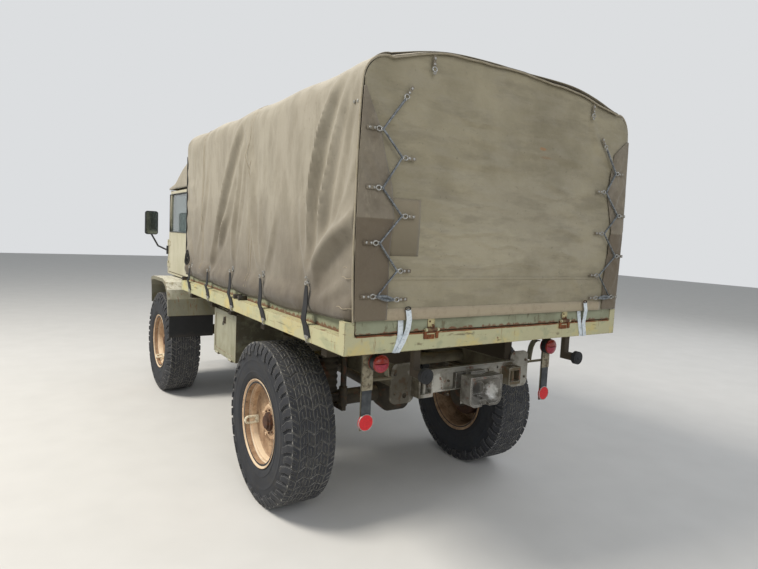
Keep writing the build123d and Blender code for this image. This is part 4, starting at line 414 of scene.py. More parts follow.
# Brushed alkyd paint on box, tank and bows: chalky on top, and painted shade, dark brown, on faces that look
# back.
GREEN_PAINT = Finish(
    "alkyd_paint_pale_green", "#918f79", 0.55, edge_mm=6,
    coats=(
        Coat("#a19f89", size_mm=300, soft=0.3),
        Coat("#787660", size_mm=140, above=0.55, soft=0.18, amount=0.6, stretch=(1, 1, 0.3)),
        Coat("#c5c1ae", Mask.UP, size_mm=200, above=0.55, soft=0.5),
        # Painted shade on faces that look to the rear.
        Coat(PAINTED_SHADE_BROWN, Mask.REAR, size_mm=90, above=0.78, soft=0.4, amount=0.75, grain=1.4, roughness=0.9),
        Coat("#75704f", Mask.LOW, size_mm=70, above=0.75, soft=0.5, amount=0.6, foot=(0.6, 0.7),
             roughness=0.8),
        Coat("#565338", size_mm=14, above=0.69, soft=0.03),
        Coat(RUST, Mask.EDGE, size_mm=50, above=0.95, soft=0.12, amount=0.85, roughness=0.85),
    ),
    bumps=(Bumps(10.0, 0.2), Bumps(220.0, 1.5)))

# Sprayed alkyd paint on the cab's pressings: faded, with a little of its gloss left.
CAB_PAINT = Finish(
    "alkyd_paint_faded_cream", "#b0ab92", 0.5, edge_mm=8, clearcoat=0.1,
    coats=(
        Coat("#bfbaa2", size_mm=400, soft=0.3),
        Coat("#96936f", size_mm=150, above=0.58, soft=0.2, amount=0.5, stretch=(1, 1, 0.3)),
        Coat("#6a6748", size_mm=20, above=0.69, soft=0.03),
        Coat(RUST, Mask.EDGE, size_mm=50, above=0.95, amount=0.8, roughness=0.85),
    ),
    bumps=(Bumps(10.0, 0.2), Bumps(260.0, 1.5)))

# Frame paint under years of road dirt: dull green-grey with brown dust on top.
CHASSIS_PAINT = Finish(
    "chassis_paint_dusty", "#585241", 0.8, edge_mm=5,
    coats=(
        Coat("#6a6451", size_mm=180, soft=0.25, amount=0.8),
        Coat("#40392b", size_mm=90, above=0.53, soft=0.2, amount=0.8),
        Coat(DUST, Mask.UP, size_mm=90, above=0.7, soft=0.4, roughness=0.95),
        Coat(RUST, size_mm=45, above=0.66, soft=0.07, amount=0.8, roughness=0.9),
        Coat("#9c9a86", Mask.EDGE, size_mm=35, above=0.85, soft=0.15, amount=0.6),
    ),
    bumps=(Bumps(8.0, 0.4),))

# Rear crossmember: grey primer shows where drawbars and chains have rubbed the green off.
BEAM_PAINT = Finish(
    "chassis_primer_rubbed", "#6f6b5e", 0.7, 0.05, edge_mm=5,
    coats=(
        Coat("#97948a", Mask.REAR, size_mm=120, above=0.80, soft=0.4, amount=0.85),
        Coat("#5a5342", size_mm=80, above=0.56, soft=0.18, amount=0.8),
        Coat("#c2bfb4", Mask.SPOT, size_mm=40, above=0.45, soft=0.2, centre=(0.24, 2.16, 0.90),
             reach=(0.12, 0.4, 0.12), grain=2.0),
        Coat("#554a35", Mask.SPOT, size_mm=60, above=0.25, soft=0.3, amount=0.9, centre=(-0.36, 2.18, 0.915),
             reach=(0.10, 0.4, 0.10), roughness=0.9),
        Coat(RUST, size_mm=40, above=0.62, soft=0.07, amount=0.8, roughness=0.9),
        Coat("#b3b1a8", Mask.EDGE, size_mm=30, above=0.8, soft=0.15, roughness=0.5),
        Coat("#3c3527", Mask.SPOT, size_mm=60, above=0.25, soft=0.3, amount=0.85, centre=(0.47, 2.14, 0.90),
             reach=(0.13, 0.4, 0.22), roughness=0.9),
    ),
    bumps=(Bumps(8.0, 0.5),))

# Castings below the frame: little paint left, rusted dark, and dusty on top.
AXLE_PAINT = Finish(
    "axle_paint_rusted", "#37322a", 0.85, edge_mm=5,
    coats=(
        Coat("#4d4536", size_mm=120, soft=0.25, amount=0.8),
        Coat(RUST, size_mm=70, above=0.62, soft=0.12, amount=0.6),
        Coat(DUST, Mask.UP, size_mm=80, above=0.7, soft=0.4, roughness=0.95),
    ),
    bumps=(Bumps(6.0, 0.5),))

# Cast steel jaw, its paint rubbed off by drawbars.
CAST_STEEL = Finish(
    "cast_steel_worn", "#6d6a63", 0.5, 0.3, edge_mm=5,
    coats=(
        Coat("#86837c", size_mm=90, soft=0.25, amount=0.8),
        Coat("#3f3a30", size_mm=60, above=0.52, soft=0.18, roughness=0.8),
        Coat("#23211d", Mask.SPOT, size_mm=60, above=0.3, soft=0.5, amount=0.85, centre=(0.01, 2.30, 0.885),
             reach=(0.055, 0.2, 0.060), grain=0.4),
        Coat("#c3c2bc", Mask.SPOT, size_mm=26, above=0.35, soft=0.4, amount=0.85,
             centre=(-0.072, 2.32, 0.875), reach=(0.035, 0.1, 0.065), grain=1.4, roughness=0.4),
        Coat(RUST, size_mm=40, above=0.64, soft=0.08, roughness=0.9),
        Coat("#c4c2ba", Mask.EDGE, size_mm=30, above=0.75, soft=0.2, amount=0.8, roughness=0.35),
    ),
    bumps=(Bumps(7.0, 0.5),))

# Baked tan enamel on the wheels.
RIM_PAINT = Finish(
    "wheel_enamel_tan", "#c8a683", 0.5, edge_mm=3,
    coats=(
        Coat("#cdb08f", size_mm=160, soft=0.3),
        Coat("#9c7c5b", size_mm=70, above=0.54, soft=0.16, amount=0.6),
        Coat("#7a5f44", size_mm=24, above=0.62, soft=0.06, amount=0.6, roughness=0.8),
        # Painted light and shade: faces that look down, in the dish's upper half, are painted browner, and
        # faces that look up, in its lower half, paler, as light from above would fall.
        Coat("#9a7857", Mask.UNDER, size_mm=90, above=0.45, soft=0.7, amount=0.6, grain=0.8),
        Coat("#e0ccac", Mask.UP, size_mm=90, above=0.30, soft=0.7, amount=0.8, grain=0.8),
        Coat("#e6d8c0", Mask.EDGE, size_mm=30, above=0.72, soft=0.2, amount=0.8),
    ),
    bumps=(Bumps(9.0, 0.2),))

# The same enamel at the bottom of the dish, painted darker as the deep dish's shade, with small dark spots.
DISH_SHADE_PAINT = Finish(
    "wheel_enamel_painted_shade", "#9a7c5f", 0.65,
    coats=(
        Coat("#b69a7b", size_mm=90, above=0.52, soft=0.2, amount=0.8),
        Coat("#684d35", size_mm=60, above=0.55, soft=0.2, amount=0.6, roughness=0.85),
        Coat("#3f2d1f", size_mm=20, above=0.62, soft=0.06, roughness=0.9),
    ),
    bumps=(Bumps(7.0, 0.4),))

# Chalky cream paint of the slotted tab.
TAB_PAINT = Finish(
    "wheel_tab_cream", "#e0d8be", 0.6,
    coats=(Coat("#8d8368", size_mm=14, above=0.56),))

# Steel knuckles, browned by old rust, with scraps of paint.
HINGE_IRON = Finish(
    "hinge_steel_browned", "#5a3b26", 0.85,
    coats=(Coat("#7d6a48", size_mm=34, above=0.55, amount=0.8),
           Coat("#38281d", size_mm=18, above=0.57)),
    bumps=(Bumps(5.0, 0.5),))

# Cast hub and drum: a coarse skin of dark, matt rust.
HUB_RUST = Finish(
    "hub_steel_rusted", "#412c20", 0.9,
    coats=(Coat("#5f3c27", size_mm=30, above=0.54, soft=0.2, amount=0.8),
           Coat("#251c16", size_mm=16, above=0.58)),
    bumps=(Bumps(5.0, 0.6),))

# Vulcanised tread rubber: blue-black, grey where dust has rubbed in.
TYRE_RUBBER = Finish(
    "tyre_rubber", "#16181d", 0.75,
    coats=(
        Coat("#272a30", size_mm=160, soft=0.3),
        Coat("#373532", size_mm=60, above=0.58, soft=0.18, amount=0.5, roughness=0.9),
        Coat("#4a4238", size_mm=26, above=0.66, soft=0.08, amount=0.3, roughness=0.95),
    ),
    bumps=(Bumps(5.0, 0.25),))

# The tread's blocks, of the same rubber, paler along their rubbed edges.
TREAD_RUBBER = Finish(
    "tread_rubber_dusty", "#26272b", 0.85, edge_mm=5,
    coats=(
        Coat("#3a3b3e", size_mm=120, soft=0.3),
        Coat("#85847f", Mask.EDGE, size_mm=40, soft=0.3, amount=0.8, grain=1.6),
        Coat("#57544e", size_mm=40, above=0.6, soft=0.15, amount=0.4, roughness=0.95),
    ),
    bumps=(Bumps(5.0, 0.3),))

# Dust packed into the tread's grooves.
GROOVE_RUBBER = Finish(
    "tread_rubber_grooves", "#7f7d78", 0.95,
    coats=(Coat("#a19e97", size_mm=22, above=0.52, soft=0.15, amount=0.8),
           Coat("#46464a", size_mm=70, above=0.54, soft=0.15)))

# Rolled sheet rubber: dull black, and muddy towards its foot.
FLAP_RUBBER = Finish(
    "sheet_rubber_black", "#0f1011", 0.7,
    coats=(Coat("#1a1b1d", size_mm=140, soft=0.3, amount=0.8),
           Coat("#39342c", Mask.LOW, size_mm=60, above=0.75, soft=0.4, amount=0.6, foot=(0.65, 0.15))),
    bumps=(Bumps(30.0, 0.8),))

# Moulded rubber, plain and nearly black.
STRAP_RUBBER = Finish(
    "strap_rubber", "#101112", 0.75,
    coats=(Coat("#1e1f21", size_mm=50, soft=0.3, amount=0.8),),
    bumps=(Bumps(4.0, 0.2),))

# Elastic shock cord in a shiny woven sleeve.
ROPE = Finish(
    "shock_cord_grey", "#565a5c", 0.4,
    coats=(Coat("#8c9193", size_mm=14, soft=0.2),
           Coat("#3c3e40", size_mm=8, above=0.56, soft=0.12)),
    bumps=(Bumps(3.0, 0.3),))

# Braided cotton dyed black, which has no shine.
LACE = Finish(
    "cotton_lace_black", "#1d1d1c", 0.8,
    coats=(Coat("#333230", size_mm=12, above=0.52, soft=0.2),))

# Polyester webbing, bleached to pale blue-white.
WEBBING = Finish(
    "polyester_webbing_pale", "#c3ccd0", 0.7, sheen=0.3,
    coats=(Coat("#dfe5e6", size_mm=45, soft=0.3, amount=0.8),
           Coat("#8e979b", size_mm=16, above=0.58, soft=0.15, amount=0.6)),
    bumps=(Bumps(3.0, 0.3, (0.3, 1, 1)),))

# Zinc-plated fittings, dull with a few bright spots.
ZINC = Finish(
    "zinc_plated_steel", "#a9a8a3", 0.38, 0.8,
    coats=(Coat("#7b776c", size_mm=18, above=0.54, soft=0.15, roughness=0.6),
           Coat("#5b4a37", size_mm=10, above=0.64, soft=0.08, amount=0.6, roughness=0.85)))

# Forged and blackened steel, worn brown and rusty in spots.
DARK_STEEL = Finish(
    "latch_steel_dark", "#2c2b27", 0.6, 0.3,
    coats=(Coat("#4b463b", size_mm=24, above=0.52, soft=0.2),
           Coat(RUST, size_mm=18, above=0.6, amount=0.6, roughness=0.9)))

# Folded steel edge without its paint: matt rust, with scraps of cream.
RUST_STEEL = Finish(
    "rusted_steel", RUST, 0.9,
    coats=(Coat("#8a5430", size_mm=40, soft=0.2, amount=0.8),
           Coat("#3f2a1c", size_mm=20, above=0.58),
           Coat("#a39a72", size_mm=60, above=0.62, soft=0.06, amount=0.8)),
    bumps=(Bumps(4.0, 0.6),))

# Injection-moulded acrylic, pebbled behind a smooth face, so that its colour looks deep.
RED_LENS = Finish(
    "acrylic_lens_red", "#c00a16", 0.45, clearcoat=0.15,
    coats=(Coat("#e01422", size_mm=7, above=0.52, amount=0.6),),
    bumps=(Bumps(7.0, 0.5),))

# The lamp's red lens, weathered towards magenta.
MAGENTA_LENS = Finish(
    "acrylic_lens_magenta", "#8c0c2c", 0.35, clearcoat=0.3,
    coats=(Coat("#b3203c", size_mm=8, above=0.52, soft=0.12, amount=0.6),),
    bumps=(Bumps(5.0, 0.4),))

# The lamp's amber lens, dark because nothing is lit behind it.
AMBER_LENS = Finish(
    "acrylic_lens_amber", "#8c2012", 0.35, clearcoat=0.3,
    coats=(Coat("#a8371c", size_mm=8, above=0.52, soft=0.12, amount=0.6),
           Coat("#8a2418", size_mm=30, above=0.6, soft=0.2, amount=0.5)),
    bumps=(Bumps(7.0, 0.5),))

# Injection-moulded plastic with a fine grain: a dull, greyish black.
BLACK_PLASTIC = Finish(
    "moulded_plastic_black", "#1b1c1d", 0.45, edge_mm=4,
    coats=(Coat("#303132", size_mm=60, above=0.52, soft=0.2, amount=0.6),),
    bumps=(Bumps(2.0, 0.15),))

# Silvered glass, which shows its surroundings as a metal does, hazed by dust.
MIRROR_GLASS = Finish(
    "mirror_glass", "#6f7877", 0.10, 0.9,
    coats=(Coat("#a3aba9", size_mm=120, above=0.52, soft=0.4, amount=0.5, stretch=(1, 1, 2)),))

# Float glass, clear under a film of dust.
WINDOW_GLASS = Finish(
    "float_glass", "#aab5b2", 0.05, transmission=0.9,
    coats=(Coat("#8b958f", size_mm=160, above=0.55, soft=0.3, amount=0.3, roughness=0.2),))

# Pressed glass with upright flutes that scatter the light.
LAMP_GLASS = Finish(
    "fluted_lamp_glass", "#c9cfcd", 0.12, clearcoat=0.5,
    coats=(Coat("#8e9594", size_mm=30, soft=0.2, amount=0.6, stretch=(4, 1, 0.3)),),
    bumps=(Bumps(12.0, 1.0, (4, 1, 0.3)),))

# Vinyl-coated fabric on foam, with a leather-like grain.
VINYL = Finish(
    "vinyl_dark_green", "#3a392d", 0.55, edge_mm=4,
    coats=(Coat("#4b493a", size_mm=160, soft=0.3),
           Coat("#25241c", size_mm=40, above=0.58, soft=0.15, amount=0.5)),
    bumps=(Bumps(3.0, 0.25),))

NODE_FINISHES: dict[Finish, tuple[str, ...]] = {
    BED_PAINT: ("bed_floor",),
    BOARD_PAINT: ("bed_boards", "tailgate"),
    FENDER_PAINT: ("fenders",),
    GREEN_PAINT: ("stowage_box", "stowage_box_door", "fuel_tank", "cover_bows", "seat_bases"),
    CAB_PAINT: ("cab_body", "door_left", "door_right", "windscreen_frame", "dashboard", "bonnet",
                "front_panel"),
    CHASSIS_PAINT: ("frame_rails", "frame_crossmembers", "front_bumper", "reflector_hangers"),
    BEAM_PAINT: ("rear_crossmember",),
    AXLE_PAINT: ("front_axle", "rear_axle", "knuckle_left", "knuckle_right", "springs_and_dampers",
                 "exhaust", "engine_block"),
    CAST_STEEL: ("towing_jaw",),
    FLAP_RUBBER: ("mud_flaps", "tailgate_buffers"),
    RED_LENS: ("reflectors",),
    AMBER_LENS: ("tail_lamps",),
    LAMP_GLASS: ("headlamps",),
    WINDOW_GLASS: ("windscreen_glass", "door_glass_left", "door_glass_right"),
    BLACK_PLASTIC: ("steering_wheel", "mirrors"),
}


def paint_nodes() -> None:
    """Gives every carried-over CAD node its finish."""
    for finish, names in NODE_FINISHES.items():
        for name in names:
            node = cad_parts[name]
            for slot in node.material_slots:
                slot.material = finish.material()
            if not node.material_slots:
                node.data.materials.append(finish.material())
        log.info("finish %s on %s", finish.name, ", ".join(names))


# Mesh tools

# Vertices nearer to each other than this become one, and edges that meet at more than this stay sharp.
MERGE = 1e-5
SMOOTH_UP_TO = radians(35)


def finish_piece(name: str, mesh: BMesh, finish: Finish, body: str = "root",
                 replaces: Sequence[str] = (), smooth: bool = True,
                 thickness: float = 0.0) -> bpy.types.Object:
    """Cleans a mesh and makes it a piece of the truck.

    Args:
        name: name of the piece.
        mesh: its mesh, which is freed.
        finish: its finish.
        body: body that it rides on.
        replaces: CAD nodes that it stands for.
        smooth: whether its faces shade smoothly up to 35 degrees.
        thickness: thickness of the cloth or sheet, put inwards, or 0 for a closed piece.

    Returns:
        The piece.
    """
    bmesh.ops.remove_doubles(mesh, verts=mesh.verts, dist=MERGE)
    bmesh.ops.recalc_face_normals(mesh, faces=mesh.faces)
    data = bpy.data.meshes.new(name)
    mesh.to_mesh(data)
    mesh.free()
    data.materials.append(finish.material())
    if smooth:
        data.shade_smooth()
        data.set_sharp_from_angle(angle=SMOOTH_UP_TO)
    piece = bpy.data.objects.new(name, data)
    bpy.context.scene.collection.objects.link(piece)
    if thickness:
        solid = piece.modifiers.new("cloth", "SOLIDIFY")
        solid.thickness = thickness
        solid.offset = -1.0
    if replaces:
        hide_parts(*replaces)
    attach(piece, body)
    log.info("piece %s on %s: %d faces, %s", name, body, len(data.polygons), finish.name)
    return piece


def absorb(mesh: BMesh, other: BMesh) -> None:
    """Moves another mesh's geometry into a mesh and frees the other.

    Args:
        mesh: mesh that grows.
        other: mesh that is taken in.
    """
    carrier = bpy.data.meshes.new("carrier")
    other.to_mesh(carrier)
    other.free()
    mesh.from_mesh(carrier)
    bpy.data.meshes.remove(carrier)


def block(mesh: BMesh, corner: Point, opposite: Point, bevel: float = 0.0,
          turn: Matrix | None = None) -> None:
    """Adds a box with softened edges.

    Args:
        mesh: mesh that it is added to.
        corner: one corner.
        opposite: the corner across from it.
        bevel: width of the softened edges.
        turn: rotation about the box's centre.
    """
    part = bmesh.new()
    low = Vector(map(min, corner, opposite))
    high = Vector(map(max, corner, opposite))
    bmesh.ops.create_cube(part, size=1.0, matrix=Matrix.Diagonal((*(high - low), 1.0)))
    if bevel:
        bmesh.ops.bevel(part, geom=part.edges[:], affect="EDGES", offset=bevel, segments=2, profile=0.5,
                        material=-1)
    centre = Matrix.Translation((low + high) / 2)
    bmesh.ops.transform(part, matrix=centre @ (turn or Matrix.Identity(4)), verts=part.verts)
    absorb(mesh, part)


def band(mesh: BMesh, pairs: Sequence[tuple[Point, Point]], thickness: float, cuts: int = 0) -> None:
    """Adds a strip of sheet whose edges run through pairs of points.

    Args:
        mesh: mesh that it is added to.
        pairs: the points of both edges, station by station.
        thickness: thickness of the sheet.
        cuts: how often each edge of its faces is cut.
    """
    part = bmesh.new()
    rows = [[part.verts.new(point) for point in pair] for pair in pairs]
    for upper, lower in zip(rows, rows[1:]):
        part.faces.new((upper[0], upper[1], lower[1], lower[0]))
    bmesh.ops.recalc_face_normals(part, faces=part.faces)
    if cuts:
        bmesh.ops.subdivide_edges(part, edges=part.edges[:], cuts=cuts, use_grid_fill=True)
    bmesh.ops.solidify(part, geom=part.faces[:], thickness=thickness)
    absorb(mesh, part)


def rod(mesh: BMesh, points: Sequence[Point], radius: float, closed: bool = False, smooth: bool = False,
        sides: int = 3) -> None:
    """Adds a round bar, wire or rope along a line of points.

    Args:
        mesh: mesh that it is added to.
        points: points of its centre line.
        radius: radius of its section.
        closed: whether it runs back to its start.
        smooth: whether the line is a smooth curve near the points.
        sides: resolution of a quarter of its section.
    """
    curve = bpy.data.curves.new("line", "CURVE")
    curve.dimensions = "3D"
    curve.bevel_depth = radius
    curve.bevel_resolution = sides
    curve.use_fill_caps = not closed
    curve.resolution_u = 6
    spline = curve.splines.new("NURBS" if smooth else "POLY")
    spline.points.add(len(points) - 1)
    for point, at in zip(spline.points, points):
        point.co = (*at, 1.0)
    spline.use_cyclic_u = closed
    if smooth:
        spline.order_u = 3
        spline.use_endpoint_u = not closed
    carrier = bpy.data.objects.new("line", curve)
    made = bpy.data.meshes.new_from_object(carrier)
    part = bmesh.new()
    part.from_mesh(made)
    bmesh.ops.remove_doubles(part, verts=part.verts, dist=radius * 0.01)
    absorb(mesh, part)
    bpy.data.meshes.remove(made)
    bpy.data.objects.remove(carrier)
    bpy.data.curves.remove(curve)


def ring(mesh: BMesh, centre: Point, radius: float, wire: float, normal: Point, squash: float = 1.0) -> None:
    """Adds a wire ring.

    Args:
        mesh: mesh that it is added to.
        centre: centre of the ring.
        radius: radius of its centre line.
        wire: radius of its wire.
        normal: direction that it faces.
        squash: height over width of a long ring.
    """
    turn = Vector(normal).to_track_quat("Z", "Y").to_matrix()
    count = 16
    points = [tuple(Vector(centre) + turn @ Vector((radius * cos(2 * pi * i / count),
                                                   radius * squash * sin(2 * pi * i / count), 0)))
              for i in range(count)]
    rod(mesh, points, wire, closed=True, sides=2)


def disc(mesh: BMesh, centre: Point, radius: float, depth: float, axis: Point, bevel: float = 0.0,
         segments: int = 24) -> None:
    """Adds a short round bar or a lens about its centre.

    Args:
        mesh: mesh that it is added to.
        centre: centre of the piece.
        radius: its radius.
        depth: its length along the axis.
        axis: direction of its axis.
        bevel: width of its softened rims.
        segments: number of its sides.
    """
    part = bmesh.new()
    bmesh.ops.create_cone(part, cap_ends=True, segments=segments, radius1=radius, radius2=radius,
                          depth=depth)
    if bevel:
        rims = [e for e in part.edges if abs(e.verts[0].co.z - e.verts[1].co.z) < 1e-6]
        bmesh.ops.bevel(part, geom=rims, affect="EDGES", offset=bevel, segments=2, profile=0.5, material=-1)
    turn = Vector(axis).to_track_quat("Z", "Y").to_matrix().to_4x4()
    bmesh.ops.transform(part, matrix=Matrix.Translation(centre) @ turn, verts=part.verts)
    absorb(mesh, part)


def lathe(profile: Sequence[Flat], steps: int, closed: bool = False) -> BMesh:
    """Spins an (x, radius) outline about the X axis.

    Args:
        profile: the outline.
        steps: number of sides round the axle.
        closed: whether the outline runs back to its start.

    Returns:
        The turned mesh about the origin.
    """
    mesh = bmesh.new()
    verts = [mesh.verts.new((x, 0.0, radius)) for x, radius in profile]
    ends = verts[1:] + verts[:1] if closed else verts[1:]
    edges = [mesh.edges.new(pair) for pair in zip(verts, ends)]
    bmesh.ops.spin(mesh, geom=verts + edges, cent=(0, 0, 0), axis=(1, 0, 0), angle=2 * pi, steps=steps,
                   use_merge=True)
    bmesh.ops.remove_doubles(mesh, verts=mesh.verts, dist=MERGE)
    return mesh


def cloth_grid(columns: int, rows: int, place: Callable[[float, float], Point], size: Flat) -> BMesh:
    """Makes a sheet from a grid whose corners run from 0 to 1, with a UV map in metres.

    Args:
        columns: faces along the width.
        rows: faces along the length.
        place: gives the place of a point of the flat sheet.
        size: flat width and length in metres.

    Returns:
        The sheet.
    """
    mesh = bmesh.new()
    bmesh.ops.create_grid(mesh, x_segments=columns, y_segments=rows, size=0.5)
    layer = mesh.loops.layers.uv.new("cloth")
    for face in mesh.faces:
        for loop in face.loops:
            u, v = loop.vert.co.x + 0.5, loop.vert.co.y + 0.5
            loop[layer].uv = (u * size[0], v * size[1])
    for vert in mesh.verts:
        vert.co = place(vert.co.x + 0.5, vert.co.y + 0.5)
    return mesh


def repaint(piece: bpy.types.Object, finish: Finish, chosen: Callable[[Vector], bool]) -> None:
    """Gives some faces of a piece a further finish.

    Args:
        piece: the piece.
        finish: finish of those faces.
        chosen: tells by a face's centre whether it is one of them.
    """
    piece.data.materials.append(finish.material())
    slot = len(piece.data.materials) - 1
    for face in piece.data.polygons:
        if chosen(face.center):
            face.material_index = slot


def clamp(value: float) -> float:
    """The value, held between 0 and 1."""
    return min(1.0, max(0.0, value))


def line_at(stations: Sequence[Flat], place: float) -> float:
    """Height of a broken line at a place.

    Args:
        stations: corners of the line as (place, height), in rising order of place.
        place: where the height is asked for.

    Returns:
        The height, which stays level beyond both ends.
    """
    for (start, low), (end, high) in zip(stations, stations[1:]):
        if place <= end:
            return low + (high - low) * max(0.0, place - start) / (end - start)
    return stations[-1][1]


def rumple(at: Point, size: float, seed: float) -> float:
    """Soft seeded noise from -1 to 1 at a place, with features of a given size."""
    return noise.noise(Vector((at[0] / size + seed, at[1] / size - seed, at[2] / size + 2 * seed)))


def bump_at(value: float, centre: float, width: float) -> float:
    """A smooth hump of height 1."""
    return exp(-((value - centre) / width) ** 2)


# A fold's ridge falls off by this power, and its trough lies this many widths beside it.
RIDGE_POWER = 1.7
TROUGH_WIDTHS = 1.7
# The folds are drawn this much higher than listed, so that soft light shows them.
FOLD_GAIN = 1.7


@dataclass(frozen=True)
class Fold:
    """A crease in a hanging sheet: a ridge along a line with a trough beside it."""
    line: tuple[Flat, ...]
    width: float
    height: float
    trough: float = 0.6
    side: float = 1.0

    def lift(self, at: Flat) -> float:
        """How far the cloth stands out at a place in the sheet's plane.

        Args:
            at: place in the sheet's plane.

        Returns:
            Displacement in metres.
        """
        nearest, across, along = 1e9, 0.0, 0.0
        spans = list(zip(self.line, self.line[1:]))
        for index, (start, end) in enumerate(spans):
            run = (end[0] - start[0], end[1] - start[1])
            away = (at[0] - start[0], at[1] - start[1])
            part = clamp((away[0] * run[0] + away[1] * run[1]) / hypot(*run) ** 2)
            gap = hypot(away[0] - part * run[0], away[1] - part * run[1])
            if gap < nearest:
                nearest = gap
                turned = run[0] * away[1] - run[1] * away[0]
                across = gap if turned * self.side > 0 else -gap
                along = (index + part) / len(spans)
        fade = sin(pi * along) ** 0.5 if 0 < along < 1 else 0.0
        ridge = exp(-abs(across / self.width) ** RIDGE_POWER)
        hollow = bump_at(across, TROUGH_WIDTHS * self.width, self.width)
        return fade * self.height * (ridge - self.trough * hollow)


# Sub-assemblies

# Where the side straps sit along the truck, and the heights of their eyelets.
STRAPS_Y = (-0.36, 0.18, 0.73, 1.31, 1.965)
EYELETS_Z = (1.40, 1.41, 1.45, 1.46, 1.48)


@dataclass
class Studio:
    """Floor, soft light and the camera at the photograph's angle."""
    floor_size: float = 60.0
    floor_colour: str = "#c9c7c2"
    camera_at: Point = (2.2644, 4.6114, 1.7433)
    yaw: float = -0.5797
    pitch: float = 0.0858
    roll: float = 0.0470
    lens: float = 26.58

    def build(self) -> None:
        """Sets the view transform and makes the floor, lights and camera."""
        scene = bpy.context.scene
        scene.view_settings.view_transform = "Standard"
        for name in ("Cube", "Light", "Camera"):
            spare = bpy.data.objects.get(name)
            if spare:
                bpy.data.objects.remove(spare)
        self._floor()
        self._world(scene)
        self._lights(scene)
        self._camera(scene)

    def _floor(self) -> None:
        """Makes the pale floor that takes the truck's shadow."""
        mesh = bmesh.new()
        bmesh.ops.create_grid(mesh, x_segments=2, y_segments=2, size=self.floor_size / 2)
        data = bpy.data.meshes.new("studio_floor")
        mesh.to_mesh(data)
        mesh.free()
        material = bpy.data.materials.new("studio_paper")
        material.use_nodes = True
        tree = material.node_tree
        tree.nodes.clear()
        grain = add(tree, "TexNoise", {"Vector": add(tree, "TexCoord").outputs["Object"], "Scale": 3.0})
        tone = add(tree, "Mix", {0: grain.outputs[0], 6: linear(self.floor_colour), 7: linear("#d3d1cc")},
                   data_type="RGBA")
        shader = add(tree, "BsdfPrincipled", {"Base Color": tone.outputs[2], "Roughness": 0.9})
        add(tree, "OutputMaterial", {"Surface": shader.outputs[0]})
        data.materials.append(material)
        floor = bpy.data.objects.new("studio_floor", data)
        bpy.context.scene.collection.objects.link(floor)

    def _world(self, scene: bpy.types.Scene) -> None:
        """Makes the even light from all round, pale where the camera and reflections see it.

        Args:
            scene: scene that gets the world.
        """
        world = bpy.data.worlds.new("studio_air")
        scene.world = world
        world.use_nodes = True
        tree = world.node_tree
        tree.nodes.clear()
        path = add(tree, "LightPath")
        seen = add(tree, "Math", {0: path.outputs["Is Camera Ray"], 1: path.outputs["Is Glossy Ray"]},
                   operation="MAXIMUM")
        shown = add(tree, "Math", {0: seen.outputs[0], 1: path.outputs["Is Transmission Ray"]},
                    operation="MAXIMUM")
        soft = add(tree, "Background", {"Color": linear("#dfe5ec"), "Strength": 0.50})
        pale = add(tree, "Background", {"Color": linear("#dcdee0"), "Strength": 1.0})
        both = add(tree, "MixShader", {0: shown.outputs[0], 1: soft.outputs[0], 2: pale.outputs[0]})
        add(tree, "OutputWorld", {"Surface": both.outputs[0]})

    def _lights(self, scene: bpy.types.Scene) -> None:
        """Hangs the soft lamps: a strong one high on the left, weaker ones behind and on the right.

        Args:
            scene: scene that gets the lamps.
        """
        lamps = (  # name, place, size, power, colour
            ("key", (7.5, -1.0, 10.0), 4.0, 1500.0, "#fffaf2"),
            ("fill", (2.0, 10.0, 6.0), 6.0, 330.0, "#f2f4fa"),
            ("far_side", (-9.0, 1.0, 7.0), 6.0, 260.0, "#f2f4fa"),
        )
        for name, place, size, power, colour in lamps:
            lamp = bpy.data.lights.new(name, "AREA")
            lamp.energy = power
            lamp.size = size
            lamp.color = linear(colour)[:3]
            holder = bpy.data.objects.new(name, lamp)
            aim = Vector((0.0, 0.5, 1.2)) - Vector(place)
            holder.rotation_euler = aim.to_track_quat("-Z", "Y").to_euler()
            holder.location = place
            scene.collection.objects.link(holder)

    def _camera(self, scene: bpy.types.Scene) -> None:
        """Puts the camera where the photograph was taken from.

        Args:
            scene: scene that gets the camera.
        """
        ahead = Vector((sin(self.yaw) * cos(self.pitch), -cos(self.yaw) * cos(self.pitch), -sin(self.pitch)))
        right = ahead.cross(Vector((0, 0, 1))).normalized()
        up = right.cross(ahead)
        tilted = cos(self.roll) * right + sin(self.roll) * up
        level = -sin(self.roll) * right + cos(self.roll) * up
        matrix = Matrix((tilted, level, -ahead)).transposed().to_4x4()
        matrix.translation = self.camera_at
        data = bpy.data.cameras.new("photographer")
        data.lens = self.lens
        data.sensor_width = 36.0
        camera = bpy.data.objects.new("photographer", data)
        camera.matrix_world = matrix
        scene.collection.objects.link(camera)
        scene.camera = camera


